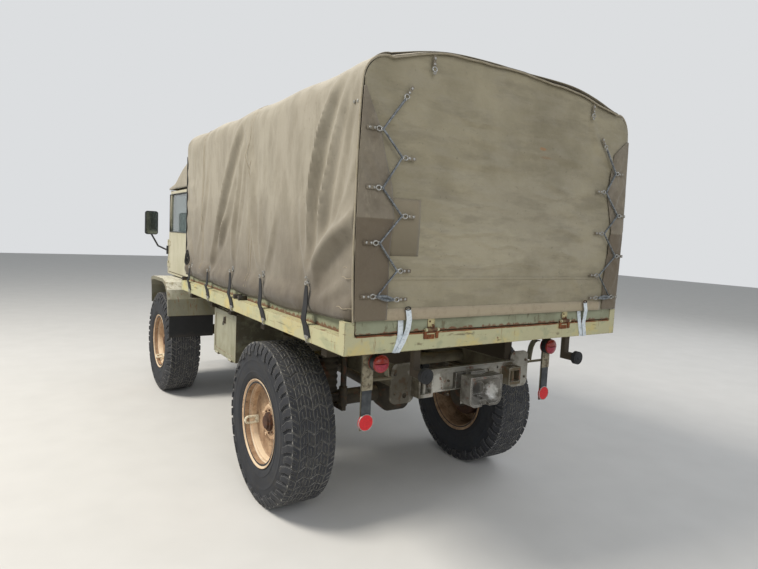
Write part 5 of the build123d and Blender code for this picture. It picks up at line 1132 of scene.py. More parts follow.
@dataclass
class Arch:
    """Cross-section of the fabric cover: straight walls, tight shoulders and a crowned roof."""
    half: float = 0.970
    shoulder_z: float = 2.426
    shoulder_radius: float = 0.140
    crown_z: float = 2.657
    # The bows have bent: the roof stands highest left of the middle.
    lean: float = 0.033
    # The walls belly out at the rear corners, from this height up.
    bulge_out: float = 0.014
    bulge_foot_z: float = 1.345
    bulge_height: float = 1.1

    def roof_z(self, x: float) -> float:
        """Height of the roof over a place across the truck.

        Args:
            x: place across the truck.

        Returns:
            Height in metres.
        """
        edge, rise = self._crown()
        if abs(x) <= edge:
            radius = (edge ** 2 + rise ** 2) / (2 * rise)
            bent = max(-0.004, self.lean * sin(1.9 * x - 0.25)) * (1 - (x / edge) ** 4)
            return self.crown_z - radius + sqrt(radius ** 2 - x ** 2) + bent
        inward = min(1.0, (abs(x) - edge) / self.shoulder_radius)
        return self.shoulder_z + self.shoulder_radius * sqrt(max(0.0, 1 - inward ** 2))

    def bulge(self, z: float) -> float:
        """How far the cloth stands out at a rear corner, at a height."""
        return self.bulge_out * sin(pi * clamp((z - self.bulge_foot_z) / self.bulge_height))

    def length(self, bottom: float) -> float:
        """Length round the section between its lower edges, which lie at a height."""
        return 2 * (self.shoulder_z - bottom) + pi * self.shoulder_radius + self._roof_length()

    def _crown(self) -> Flat:
        """Half the width of the crowned part of the roof, and its rise."""
        return self.half - self.shoulder_radius, self.crown_z - (self.shoulder_z + self.shoulder_radius)

    def _roof_length(self) -> float:
        """Length of the crowned part of the roof."""
        edge, rise = self._crown()
        return 2 * edge * (1 + 2 / 3 * (rise / edge) ** 2)

    def at(self, part: float, bottom: float) -> tuple[Flat, Flat]:
        """Place and outward direction at a share of the way round, from the left lower edge.

        Args:
            part: share of the length, 0 to 1.
            bottom: height of the lower edges.

        Returns:
            The (x, z) place and the (x, z) direction.
        """
        wall = self.shoulder_z - bottom
        bend = pi / 2 * self.shoulder_radius
        roof = self._roof_length()
        run = part * self.length(bottom)
        mirror = 1.0
        if run > wall + bend + roof / 2:
            run = self.length(bottom) - run
            mirror = -1.0
        edge = self.half - self.shoulder_radius
        if run <= wall:
            return (mirror * self.half, bottom + run), (mirror, 0.0)
        if run <= wall + bend:
            angle = (run - wall) / self.shoulder_radius
            place = (mirror * (edge + self.shoulder_radius * cos(angle)),
                     self.shoulder_z + self.shoulder_radius * sin(angle))
            return place, (mirror * cos(angle), sin(angle))
        x = edge * (1 - (run - wall - bend) / (roof / 2))
        return (mirror * x, self.roof_z(x)), (mirror * x * 0.16, 1.0)


@dataclass
class LoadCover:
    """Canvas over the load bed: one sheet over sides and roof, its front wall, piping and front lacing."""
    arch: Arch = field(default_factory=Arch)
    front_y: float = -0.545
    rear_y: float = 2.432
    hem_z: float = 1.312
    cloth: float = 0.003
    bows_y: tuple[float, ...] = (-0.471, 0.231, 0.939, 1.650, 2.340)
    seams_y: tuple[float, ...] = (1.045, 1.085, -0.02, -0.05)
    patch_stitches_z: tuple[float, ...] = (1.59, 1.545, 1.405)
    welt_foot_z: float = 1.345
    welt_radius: float = 0.005
    welt_gap: float = 0.003
    roof_sag: float = 0.011
    front_foot_z: float = 1.36
    # The cloth bellies out over the straps' eyelets, more so between them, and each eyelet pulls it in.
    belly: float = 0.012
    belly_between: float = 0.020
    pull: float = 0.022
    columns: int = 184
    rows: int = 260
    smoothings: int = 3
    # Creases of the left side as (y, z) lines.
    left_folds: tuple[Fold, ...] = (
        Fold(((1.97, 1.46), (2.07, 1.6), (2.2, 1.7), (2.31, 1.765), (2.46, 1.83)),
             0.055, 0.038, 1.0, -1.0),
        Fold(((0.9, 2.5), (0.74, 2.3), (0.56, 2.04), (0.4, 1.78), (0.2, 1.42)), 0.034, 0.028, 0.8),
        Fold(((0.8, 2.2), (0.62, 1.86), (0.46, 1.67), (0.22, 1.46)), 0.028, 0.02, 0.8),
        Fold(((0.92, 2.44), (0.8, 2.0), (0.74, 1.7), (0.73, 1.46)), 0.026, 0.016, 0.8),
        Fold(((0.88, 2.48), (1.0, 2.31), (1.1, 2.1), (1.12, 1.8), (1.2, 1.58), (1.3, 1.42)),
             0.03, 0.02, 0.8, -1.0),
        Fold(((1.06, 2.44), (1.05, 2.2), (1.03, 1.9), (1.0, 1.6)), 0.014, 0.008, 0.6),
        Fold(((0.86, 2.42), (0.7, 2.08), (0.55, 1.8), (0.44, 1.58)), 0.02, 0.01, 0.8),
        Fold(((0.96, 2.4), (0.92, 2.1), (0.84, 1.8), (0.76, 1.55)), 0.02, 0.01, 0.8),
        Fold(((0.1, 2.3), (0.04, 2.0), (-0.06, 1.75), (-0.2, 1.52)), 0.024, 0.008, 0.8),
        Fold(((2.2, 2.5), (2.08, 2.25), (2.0, 1.96), (1.97, 1.7)), 0.02, 0.01, 0.9),
        Fold(((2.34, 2.5), (2.26, 2.22), (2.18, 1.98), (2.12, 1.8)), 0.02, 0.01, 0.9),
        Fold(((1.98, 1.48), (2.02, 1.66), (2.1, 1.86), (2.16, 2.06)), 0.02, 0.01, 0.8),
        Fold(((1.99, 1.46), (2.12, 1.55), (2.28, 1.6), (2.42, 1.66)), 0.02, 0.01, 0.8, -1.0),
        Fold(((2.26, 2.52), (2.13, 2.36), (2.05, 2.22), (1.99, 2.0), (1.96, 1.78), (1.96, 1.46)),
             0.03, 0.028, 0.9),
        Fold(((2.31, 2.5), (2.21, 2.21), (2.13, 1.95), (2.08, 1.72)), 0.028, 0.024, 0.9),
        Fold(((2.37, 2.46), (2.3, 2.24), (2.23, 2.0), (2.17, 1.8)), 0.024, 0.02, 0.9),
        Fold(((1.96, 1.5), (1.86, 1.72), (1.82, 1.95)), 0.026, 0.012, 0.7),
        Fold(((1.31, 1.48), (1.24, 1.7), (1.22, 1.95)), 0.026, 0.012, 0.7),
        Fold(((1.31, 1.47), (1.42, 1.64), (1.5, 1.86)), 0.026, 0.01, 0.7, -1.0),
        Fold(((2.42, 2.1), (2.34, 1.93), (2.24, 1.8)), 0.018, 0.01, 0.8),
        Fold(((2.42, 1.98), (2.35, 1.87), (2.28, 1.8)), 0.014, 0.008, 0.8),
        Fold(((2.3, 1.62), (2.37, 1.56), (2.43, 1.52)), 0.018, 0.01, 0.6),
        Fold(((2.05, 1.42), (2.2, 1.46), (2.36, 1.5)), 0.035, 0.014, 0.6, -1.0),
        Fold(((-0.5, 2.12), (-0.38, 2.08), (-0.22, 2.1)), 0.03, 0.006),
        Fold(((-0.52, 1.92), (-0.36, 1.88), (-0.2, 1.9)), 0.028, 0.006),
        Fold(((-0.52, 1.66), (-0.4, 1.58), (-0.3, 1.44)), 0.03, 0.008),
    )
    # Creases of the right side, which the straps pull in the same way.
    right_folds: tuple[Fold, ...] = (
        Fold(((2.03, 1.46), (2.12, 1.66), (2.26, 1.8), (2.44, 1.92)), 0.045, 0.026, 0.9, -1.0),
        Fold(((0.9, 2.5), (0.74, 2.3), (0.52, 1.95), (0.24, 1.42)), 0.03, 0.014, 0.6),
        Fold(((0.92, 2.48), (1.06, 2.2), (1.2, 1.8), (1.38, 1.44)), 0.03, 0.012, 0.6, -1.0),
        Fold(((2.24, 2.5), (2.1, 2.2), (2.02, 1.8), (2.01, 1.46)), 0.028, 0.014, 0.7),
        Fold(((-0.5, 2.0), (-0.36, 1.95), (-0.2, 1.97)), 0.03, 0.006),
    )

    def _hem(self, y: float) -> float:
        """Height of the lower edge, which sags between the straps.

        Args:
            y: place along the truck.

        Returns:
            Height in metres.
        """
        sag = 0.0
        for near, far in zip(STRAPS_Y, STRAPS_Y[1:]):
            if near <= y <= far:
                sag = sin(pi * (y - near) / (far - near))
        rise = 0.03 * max(0.0, (y - 1.9) / 0.53)
        return self.hem_z + 0.010 - 0.016 * sag + rise

    def _lift(self, side: float, y: float, z: float) -> float:
        """How far the cloth of a wall stands out from the flat section.

        Args:
            side: 1 on the left and -1 on the right.
            y: place along the truck.
            z: height.

        Returns:
            Displacement in metres.
        """
        folds = self.left_folds if side > 0 else self.right_folds
        total = FOLD_GAIN * sum(fold.lift((y, z)) for fold in folds)
        total += 0.007 * rumple((y, z, side), 0.35, 3.0) + 0.0035 * rumple((y, z * 0.6, side), 0.10, 7.0)
        low = bump_at(z, 1.385, 0.055)
        pulled = 0.0
        for strap, eyelet in zip(STRAPS_Y, EYELETS_Z):
            pulled = max(pulled, bump_at(y, strap, 0.05) * bump_at(z, eyelet, 0.07))
            # Small creases that run out from an eyelet.
            spread = atan2(z - eyelet, y - strap)
            near = exp(-hypot(y - strap, z - eyelet) / 0.09)
            total += 0.006 * near * cos(6 * spread)
        between = 1 - max(bump_at(y, strap, 0.07) for strap in STRAPS_Y)
        total += low * (self.belly + self.belly_between * between) - self.pull * pulled
        total -= self.pull * bump_at(z, self.hem_z, 0.022)
        total -= 0.006 * bump_at(z, EYELETS_Z[2] + 0.02, 0.02)
        tied = clamp((y - self.front_y) / 0.06) * clamp((self.rear_y - y) / 0.03)
        total *= 0.15 + 0.85 * tied
        total += self.arch.bulge(z) * bump_at(y, self.rear_y, 0.10)
        # The side boards stop the cloth from sinking in.
        return total if total > 0 else -0.009 * (1 - exp(total / 0.009))

    def _sag(self, y: float) -> float:
        """How far the roof sinks between two bows.

        Args:
            y: place along the truck.

        Returns:
            Depth in metres.
        """
        for near, far in zip(self.bows_y, self.bows_y[1:]):
            if near <= y <= far:
                return self.roof_sag * sin(pi * (y - near) / (far - near)) ** 2
        return 0.0

    def _place(self, u: float, v: float) -> Point:
        """Place of a point of the sheet.

        Args:
            u: share of the way from the front to the rear.
            v: share of the way round the section, from the left lower edge.

        Returns:
            Its place.
        """
        y = self.front_y + u * (self.rear_y - self.front_y)
        (x, z), (out_x, out_z) = self.arch.at(v, self._hem(y))
        side = 1.0 if x > 0 else -1.0
        if z < self.arch.shoulder_z + 0.02:
            lift = self._lift(side, y, z)
        else:
            high = (z - self.arch.shoulder_z) / self.arch.shoulder_radius
            fade = max(0.0, 1 - high)
            lift = self._lift(side, y, z) * fade - self._sag(y) * min(1.0, high)
            lift += 0.004 * rumple((x, y, z), 0.3, 5.0) * min(1.0, high)
            lift += 0.007 * bump_at(abs(x), 0.84, 0.05) * bump_at(y, 2.3, 0.3) * cos(44 * y)
        return x + lift * out_x, y, z + lift * out_z

    def build(self) -> None:
        """Makes the sheet, its front wall, seams, piping, eyelets and front lacing."""
        width = self.arch.length(self.hem_z)
        flat = (self.rear_y - self.front_y, width)
        mesh = cloth_grid(self.columns, self.rows, self._place, flat)
        inside = [vert for vert in mesh.verts if not vert.is_boundary]
        for _ in range(self.smoothings):
            bmesh.ops.smooth_vert(mesh, verts=inside, factor=0.5, use_axis_x=True, use_axis_z=True)
        cover = finish_piece("cover_canvas", mesh, CANVAS, replaces=("load_cover",),
                             thickness=self.cloth)
        wall = self._front_wall()
        trims = [self._seams(), self._piping(), self._eyelets(), self._front_lacing()]
        log.info("cover sheet cut to %.2f x %.2f m", *flat)
        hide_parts("load_cover")

    def _front_wall(self) -> bpy.types.Object:
        """Makes the sheet that closes the cover's front.

        Returns:
            The piece.
        """
        half = self.arch.half - 0.004

        def place(u: float, v: float) -> Point:
            """Place of a point of the wall.

            Args:
                u: share of the width, from the left.
                v: share of the height.

            Returns:
                Its place.
            """
            x = half * (1 - 2 * u)
            top = self.arch.roof_z(x * 0.995) - 0.006
            z = self.front_foot_z + v * (top - self.front_foot_z)
            y = self.front_y + 0.002 + 0.010 * rumple((x, 0, z), 0.4, 11.0) * sin(pi * u)
            return x, y, z

        size = (2 * half, self.arch.crown_z - self.front_foot_z)
        mesh = cloth_grid(60, 44, place, size)
        wall = finish_piece("cover_front_wall", mesh, CANVAS, thickness=self.cloth)
        return wall

    def _on_wall(self, side: float, y: float, z: float, out: float = 0.002) -> Point:
        """A place just outside the cloth of the left wall, for side 1, or of the right one, for -1."""
        return side * (self.arch.half + self._lift(side, y, z) + out), y, z

    def _seams(self) -> bpy.types.Object:
        """Makes the doubled seams that cross the cover and the sewn corner patches.

        Returns:
            The piece.
        """
        mesh = bmesh.new()
        count = 90
        for seam_y in self.seams_y:
            u = (seam_y - self.front_y) / (self.rear_y - self.front_y)
            line = []
            for i in range(count + 1):
                near = Vector(self._place(u, 0.015 + 0.97 * i / count))
                on_wall = near.z < self.arch.shoulder_z
                out = Vector((near.x, 0, 0)) if on_wall else Vector((near.x * 0.2, 0, 1))
                line.append(tuple(near + out.normalized() * 0.0006))
            rod(mesh, line, 0.0014, sides=1)
        for side in (1.0, -1.0):
            for z in self.patch_stitches_z:
                line = [self._on_wall(side, 2.31 + 0.12 * i / 8, z + 0.003 * sin(i), 0.0004)
                        for i in range(9)]
                rod(mesh, line, 0.0016, sides=1)
        return finish_piece("cover_seams", mesh, HEM_CANVAS)

    def _piping(self) -> bpy.types.Object:
        """Makes the welts down the corners and the roped lip that overhangs the curtain.

        Returns:
            The piece.
        """
        mesh = bmesh.new()
        half_line = []
        for i in range(40):
            z = self.welt_foot_z + (self.arch.shoulder_z - self.welt_foot_z) * i / 39
            x = self.arch.half + self.welt_gap + self.arch.bulge(z) + 0.002 * sin(9 * z)
            half_line.append((x, self.rear_y + self.welt_gap, z))
        lip_half = self.arch.half - self.arch.shoulder_radius
        out = self.arch.shoulder_radius + self.welt_gap
        for i in range(1, 12):
            turn = radians(7.5 * i)
            near_lip = (i / 12) ** 2
            half_line.append((lip_half + out * cos(turn), self.rear_y + self.welt_gap + 0.021 * near_lip,
                              self.arch.shoulder_z + out * sin(turn) - 0.020 * near_lip))
        lip = []
        count = 64
        for i in range(count + 1):
            x = lip_half * (1 - 2 * i / count)
            wave = 0.005 * sin(13 * x + 1.0) + 0.004 * rumple((x, 0, 0), 0.12, 4.0)
            wave *= 1 - (x / lip_half) ** 8
            lip.append((x, self.rear_y + 0.024, self.arch.roof_z(x) - 0.020 + wave))
        far_line = [(-x, y, z) for x, y, z in reversed(half_line)]
        rod(mesh, half_line + lip + far_line, self.welt_radius, smooth=True, sides=2)
        strip = bmesh.new()
        verts = [strip.verts.new((x, self.rear_y - 0.03, self.arch.roof_z(x) + 0.003)) for x, _, _ in lip]
        edges = [strip.edges.new(pair) for pair in zip(verts, verts[1:])]
        made = bmesh.ops.extrude_edge_only(strip, edges=edges)["geom"]
        for vert, at in zip(sorted((v for v in made if isinstance(v, BMVert)), key=lambda v: -v.co.x), lip):
            vert.co = (at[0], at[1] + 0.003, at[2] + 0.006)
        bmesh.ops.solidify(strip, geom=strip.faces[:], thickness=0.004)
        absorb(mesh, strip)
        return finish_piece("cover_piping", mesh, WELT_CANVAS)

    def _eyelets(self) -> bpy.types.Object:
        """Makes the metal eyelets of the straps and the rivets at the rear corners.

        Returns:
            The piece.
        """
        mesh = bmesh.new()
        for side in (1.0, -1.0):
            for y, z in zip(STRAPS_Y, EYELETS_Z):
                ring(mesh, self._on_wall(side, y, z + 0.012, 0.004), 0.013, 0.0035, (1, 0, 0))
                for dy, dz in ((-0.014, 0.030), (0.014, 0.034)):
                    disc(mesh, self._on_wall(side, y + dy, z + dz), 0.006, 0.006, (1, 0, 0), 0.002, 12)
            for y in (2.360, 2.386):
                disc(mesh, self._on_wall(side, y, 2.345, 0.003), 0.0085, 0.008, (1, 0, 0), 0.003, 12)
        return finish_piece("cover_eyelets", mesh, ZINC)

    def _front_lacing(self) -> bpy.types.Object:
        """Makes the black lace that ties the cover's front edge, with its rings.

        Returns:
            The piece.
        """
        mesh = bmesh.new()
        for side in (1.0, -1.0):
            points = []
            for i in range(15):
                z = 2.36 - 0.068 * i
                y = self.front_y + (0.035 if i % 2 else -0.012)
                points.append((side * (self.arch.half + 0.008 - (0.0 if i % 2 else 0.01)), y, z))
            rod(mesh, points, 0.005, smooth=True, sides=2)
            # The lace's end is wound round the last ring.
            for i in range(4):
                ring(mesh, (side * (self.arch.half + 0.016), self.front_y + 0.075 + 0.008 * i,
                            1.50 - 0.014 * i), 0.026, 0.005, (1, 0.4 * (i - 1.5), 0.2), 1.6)
            tail = [(side * (self.arch.half + out), self.front_y + back, z)
                    for out, back, z in ((0.014, 0.08, 1.47), (0.020, 0.10, 1.41), (0.014, 0.09, 1.36))]
            rod(mesh, tail, 0.005, smooth=True, sides=2)
        return finish_piece("cover_front_lacing", mesh, LACE)


@dataclass
class RearCurtain:
    """Canvas that closes the rear: the curtain, its hem, seam and patch, and a flap at each corner."""
    arch: Arch = field(default_factory=Arch)
    half: float = 0.967
    y: float = 2.4395
    bottom: float = 1.349
    cloth: float = 0.003
    # How far the cloth may lift where the flaps and the lacing hold it, and beyond that where it is free.
    held_depth: float = 0.006
    free_depth: float = 0.008
    folds: tuple[Fold, ...] = (
        Fold(((0.62, 1.8), (0.42, 1.765), (0.24, 1.785), (0.02, 1.8)), 0.013, 0.008),
        Fold(((0.55, 1.63), (0.25, 1.6), (-0.05, 1.64), (-0.3, 1.6)), 0.012, 0.006),
        Fold(((0.6, 1.93), (0.4, 1.9), (0.18, 1.93), (-0.02, 1.91)), 0.011, 0.005),
        Fold(((0.28, 1.75), (0.12, 1.71), (0.0, 1.73), (-0.14, 1.69)), 0.01, 0.006),
        Fold(((0.5, 2.36), (0.3, 2.33), (0.1, 2.35)), 0.012, 0.005),
        Fold(((-0.1, 2.02), (-0.32, 2.0), (-0.56, 2.04)), 0.011, 0.005),
        Fold(((0.58, 1.7), (0.5, 1.66), (0.4, 1.67), (0.3, 1.64)), 0.01, 0.005),
        Fold(((-0.25, 1.66), (-0.42, 1.7), (-0.58, 1.66)), 0.012, 0.006),
        Fold(((0.4, 2.28), (0.05, 2.22), (-0.3, 2.26), (-0.6, 2.2)), 0.024, 0.006),
        Fold(((0.6, 2.17), (0.3, 2.12), (0.0, 2.15)), 0.02, 0.005),
        Fold(((-0.05, 1.52), (-0.3, 1.46), (-0.55, 1.5)), 0.016, 0.006),
        Fold(((-0.15, 1.8), (-0.4, 1.84), (-0.62, 1.78)), 0.016, 0.007),
        Fold(((0.6, 2.05), (0.2, 1.99), (-0.2, 2.05)), 0.035, 0.005),
        Fold(((-0.2, 2.1), (-0.45, 2.04), (-0.7, 2.07)), 0.022, 0.006),
        Fold(((-0.1, 1.9), (-0.4, 1.95), (-0.66, 1.88)), 0.028, 0.006),
        Fold(((0.1, 1.66), (-0.2, 1.74), (-0.48, 1.68)), 0.03, 0.005),
        Fold(((-0.2, 1.47), (-0.34, 1.56), (-0.46, 1.6)), 0.025, 0.006),
        Fold(((-0.46, 1.6), (-0.58, 1.52), (-0.64, 1.45)), 0.022, 0.006),
        Fold(((0.7, 2.4), (0.62, 2.3), (0.6, 2.1)), 0.03, 0.005),
        Fold(((-0.6, 2.5), (-0.66, 2.38), (-0.72, 2.3)), 0.024, 0.007),
        Fold(((-0.7, 2.34), (-0.82, 2.26), (-0.9, 2.14)), 0.022, 0.007),
        Fold(((0.93, 2.4), (0.86, 2.3), (0.76, 2.24)), 0.02, 0.008),
    )

    def _depth(self, x: float, z: float) -> float:
        """Place of the curtain's outer face along the truck.

        Args:
            x: place across the truck.
            z: height.

        Returns:
            Place in metres.
        """
        lift = 0.004 * rumple((x, 0, z), 0.3, 21.0) + 0.0030 * rumple((x * 0.4, 0, z), 0.09, 24.0)
        lift += 0.0012 * rumple((x, 0, z), 0.05, 27.0)
        lift += FOLD_GAIN * sum(fold.lift((x, z)) for fold in self.folds)
        free = clamp((0.66 - abs(x)) / 0.08) * clamp((z - 1.47) / 0.08)
        limit = self.held_depth if lift < 0 else self.held_depth + self.free_depth * free
        return self.y + 0.0018 + limit * tanh(lift / limit)

    def build(self) -> None:
        """Makes the curtain, its sewn strips and its flaps."""
        def place(u: float, v: float) -> Point:
            """Place of a point of the curtain.

            Args:
                u: share of the width, from the left.
                v: share of the height.

            Returns:
                Its place.
            """
            x = self.half * (1 - 2 * u)
            top = self.arch.roof_z(x) - 0.012
            z = self.bottom + v * (top - self.bottom)
            return x, self._depth(x, z), z

        size = (2 * self.half, self.arch.crown_z - 0.012 - self.bottom)
        mesh = cloth_grid(172, 118, place, size)
        curtain = finish_piece("curtain_canvas", mesh, CURTAIN_CANVAS, replaces=("rear_curtain",),
                               thickness=self.cloth)
        strips = self._strips()
        squash_rear([curtain, *strips, self._flap("left", 1.0), self._flap("right", -1.0)])

    def _strips(self) -> list[bpy.types.Object]:
        """Makes the hem band, the seam strip and the patch, each a thin sewn sheet.

        Returns:
            The pieces.
        """
        bands = (  # name, x from and to, z from and to, finish
            ("curtain_hem", 0.800, -0.820, 1.347, 1.405, HEM_CANVAS),
            ("curtain_seam_strip", 0.785, -0.780, 1.540, 1.556, CURTAIN_CANVAS),
            ("curtain_patch", 0.795, 0.625, 1.655, 1.925, PATCH_CANVAS),
        )
        pieces = []
        for name, left, right, low, high, finish in bands:
            def place(u: float, v: float) -> Point:
                """Place of a point of the strip.

                Args:
                    u: share of the width, from the left.
                    v: share of the height.

                Returns:
                    Its place.
                """
                x = left + u * (right - left)
                z = low + v * (high - low)
                return x, self._depth(x, z) + 0.0022, z

            size = (left - right, high - low)
            mesh = cloth_grid(max(8, int(size[0] / 0.02)), max(3, int(size[1] / 0.02)), place, size)
            pieces.append(finish_piece(name, mesh, finish, thickness=0.0025))
        return pieces

    def _flap(self, name: str, side: float) -> bpy.types.Object:
        """Makes the flap that wraps a rear corner over the curtain's edge.

        Args:
            name: left or right.
            side: 1 on the left and -1 on the right.

        Returns:
            The piece.
        """
        bottom, top = 1.352, 2.40
        # The inner edge as (z, x), from its foot.
        edge = ((1.352, 0.796), (1.67, 0.798), (1.82, 0.784), (1.97, 0.800), (2.23, 0.880), (2.40, 0.962))
        if side < 0:
            edge = ((1.352, 0.832), (1.53, 0.825), (1.71, 0.85), (1.855, 0.86), (2.06, 0.80), (2.31, 0.84),
                    (2.40, 0.955))
        creases = (
            Fold(((0.97, 2.02), (0.93, 1.98), (0.885, 1.97)), 0.01, 0.006),
            Fold(((0.97, 1.76), (0.93, 1.72), (0.885, 1.71)), 0.01, 0.006),
            Fold(((0.97, 2.16), (0.9, 2.06), (0.86, 1.96)), 0.018, 0.009),
            Fold(((0.97, 1.62), (0.91, 1.67), (0.84, 1.71)), 0.016, 0.009),
            Fold(((0.97, 1.38), (0.92, 1.43), (0.86, 1.48)), 0.014, 0.009),
            Fold(((0.86, 1.47), (0.84, 1.42), (0.81, 1.37)), 0.012, 0.006),
            Fold(((0.93, 2.3), (0.9, 2.22), (0.885, 2.14)), 0.014, 0.007),
            Fold(((0.96, 1.6), (0.93, 1.52), (0.88, 1.47)), 0.012, 0.006),
        )

        def place(u: float, v: float) -> Point:
            """Place of a point of the flap.

            Args:
                u: share of the width, from the corner inwards.
                v: share of the height.

            Returns:
                Its place.
            """
            z = bottom + v * (top - bottom)
            outer = self.arch.half + 0.001 + self.arch.bulge(z)
            x = outer - u * (outer - line_at(edge, z))
            lift = sum(fold.lift((x, z)) for fold in creases)
            lift += 0.003 * rumple((x, side, z), 0.12, 31.0)
            if side < 0:
                lift += 0.006 * bump_at(z, 1.78, 0.09) * bump_at(x, 0.93, 0.05)
            # The side's great fold comes round the corner and ends in a lip.
            over = z - (1.812 + 2.2 * (x - 0.88) ** 2 + 0.10 * (x - 0.88))
            if over > 0:
                lift += 0.008 * exp(-over / 0.07)
            # The flap lies over the curtain and under the lacing.
            out = 0.0105 + lift * min(1.0, (u + 0.1) * 3)
            return side * x, self.y + min(0.0195, max(0.0085, out)), z

        size = (0.19, top - bottom)
        mesh = cloth_grid(16, 80, place, size)
        flap = finish_piece(f"corner_flap_{name}", mesh, FLAP_CANVAS, thickness=self.cloth)
        return flap


def squash_rear(pieces: Sequence[bpy.types.Object]) -> None:
    """Gives the curtain and each piece on it a mesh of its own."""
    for piece in pieces:
        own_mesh(piece)


@dataclass
class Lacing:
    """Shock cord that zigzags between anchors on the curtain and on the corner flaps."""
    y: float = 2.4640
    cord: float = 0.0062
    # Anchors as (x, z), from the top, in the order that the cord takes them.
    left: tuple[Flat, ...] = (
        (0.763, 2.369), (0.874, 2.223), (0.763, 2.110), (0.863, 1.962), (0.749, 1.842), (0.865, 1.712),
        (0.761, 1.585), (0.868, 1.466), (0.774, 1.450))
    right: tuple[Flat, ...] = (
        (-0.744, 2.325), (-0.846, 2.195), (-0.766, 2.074), (-0.897, 1.940), (-0.778, 1.824), (-0.906, 1.688),
        (-0.760, 1.567), (-0.880, 1.430), (-0.768, 1.427))
    lone_hooks: tuple[Flat, ...] = ((0.600, 2.517), (-0.595, 2.487))

    def build(self) -> None:
        """Makes the two cords and all their anchors."""
        cords, anchors, tabs = bmesh.new(), bmesh.new(), bmesh.new()
        for line in (self.left, self.right):
            rod(cords, [(x, self.y, z) for x, z in line], self.cord, sides=2)
            # The short last run is doubled and its strands stand apart in the middle.
            (x0, z0), (x1, z1) = line[-2:]
            for apart in (0.009, -0.009):
                bow = [(x0 + (x1 - x0) * i / 4, self.y + 0.004,
                        z0 + (z1 - z0) * i / 4 + apart * sin(pi * i / 4)) for i in range(5)]
                rod(cords, bow, self.cord, sides=2)
            for index, (x, z) in enumerate(line):
                other = line[index + 1 if index + 1 < len(line) else index - 1]
                outward = 1.0 if x > other[0] else -1.0
                rise = 1.1 * (z - other[1]) / abs(x - other[0]) if index == 0 else 0.0
                self._anchor(anchors, tabs, (x, z), (outward, rise))
        for x, z in self.lone_hooks:
            self._anchor(anchors, tabs, (x, z), (0.0, 1.0))
        rope = finish_piece("rear_shock_cords", cords, ROPE, replaces=("rear_lacing",))
        plates = finish_piece("rear_lacing_anchors", anchors, ZINC)
        patches = finish_piece("rear_lacing_tabs", tabs, FLAP_CANVAS)
        squash_rear([rope, plates, patches])

    def _anchor(self, mesh: BMesh, tabs: BMesh, at: Flat, way: Flat) -> None:
        """Adds a riveted cloth tab whose ring and hook hold the cord.

        Args:
            mesh: mesh of the metal parts.
            tabs: mesh of the cloth tabs.
            at: (x, z) of the hook.
            way: direction from the hook to the rivets.
        """
        run = Vector((way[0], 0, way[1])).normalized()
        hook = Vector((at[0], self.y - 0.001, at[1]))
        ring(mesh, tuple(hook + run * 0.003), 0.0062, 0.0026, (0, 1, 0))
        ring(mesh, tuple(hook + run * 0.020 - Vector((0, 0.001, 0))), 0.0130, 0.0036, (0, 1, 0), 0.80)
        turn = Matrix.Rotation(-atan2(run.z, run.x), 4, "Y")
        middle = hook + run * 0.056 + Vector((0, -0.004, 0))
        half_tab = Vector((0.028, 0.0020, 0.0085))
        block(tabs, tuple(middle - half_tab), tuple(middle + half_tab), 0.001, turn)
        for reach in (0.044, 0.069):
            spot = hook + run * reach - Vector((0, 0.001, 0))
            disc(mesh, tuple(spot), 0.0066, 0.007, (0, 1, 0), 0.003, 12)


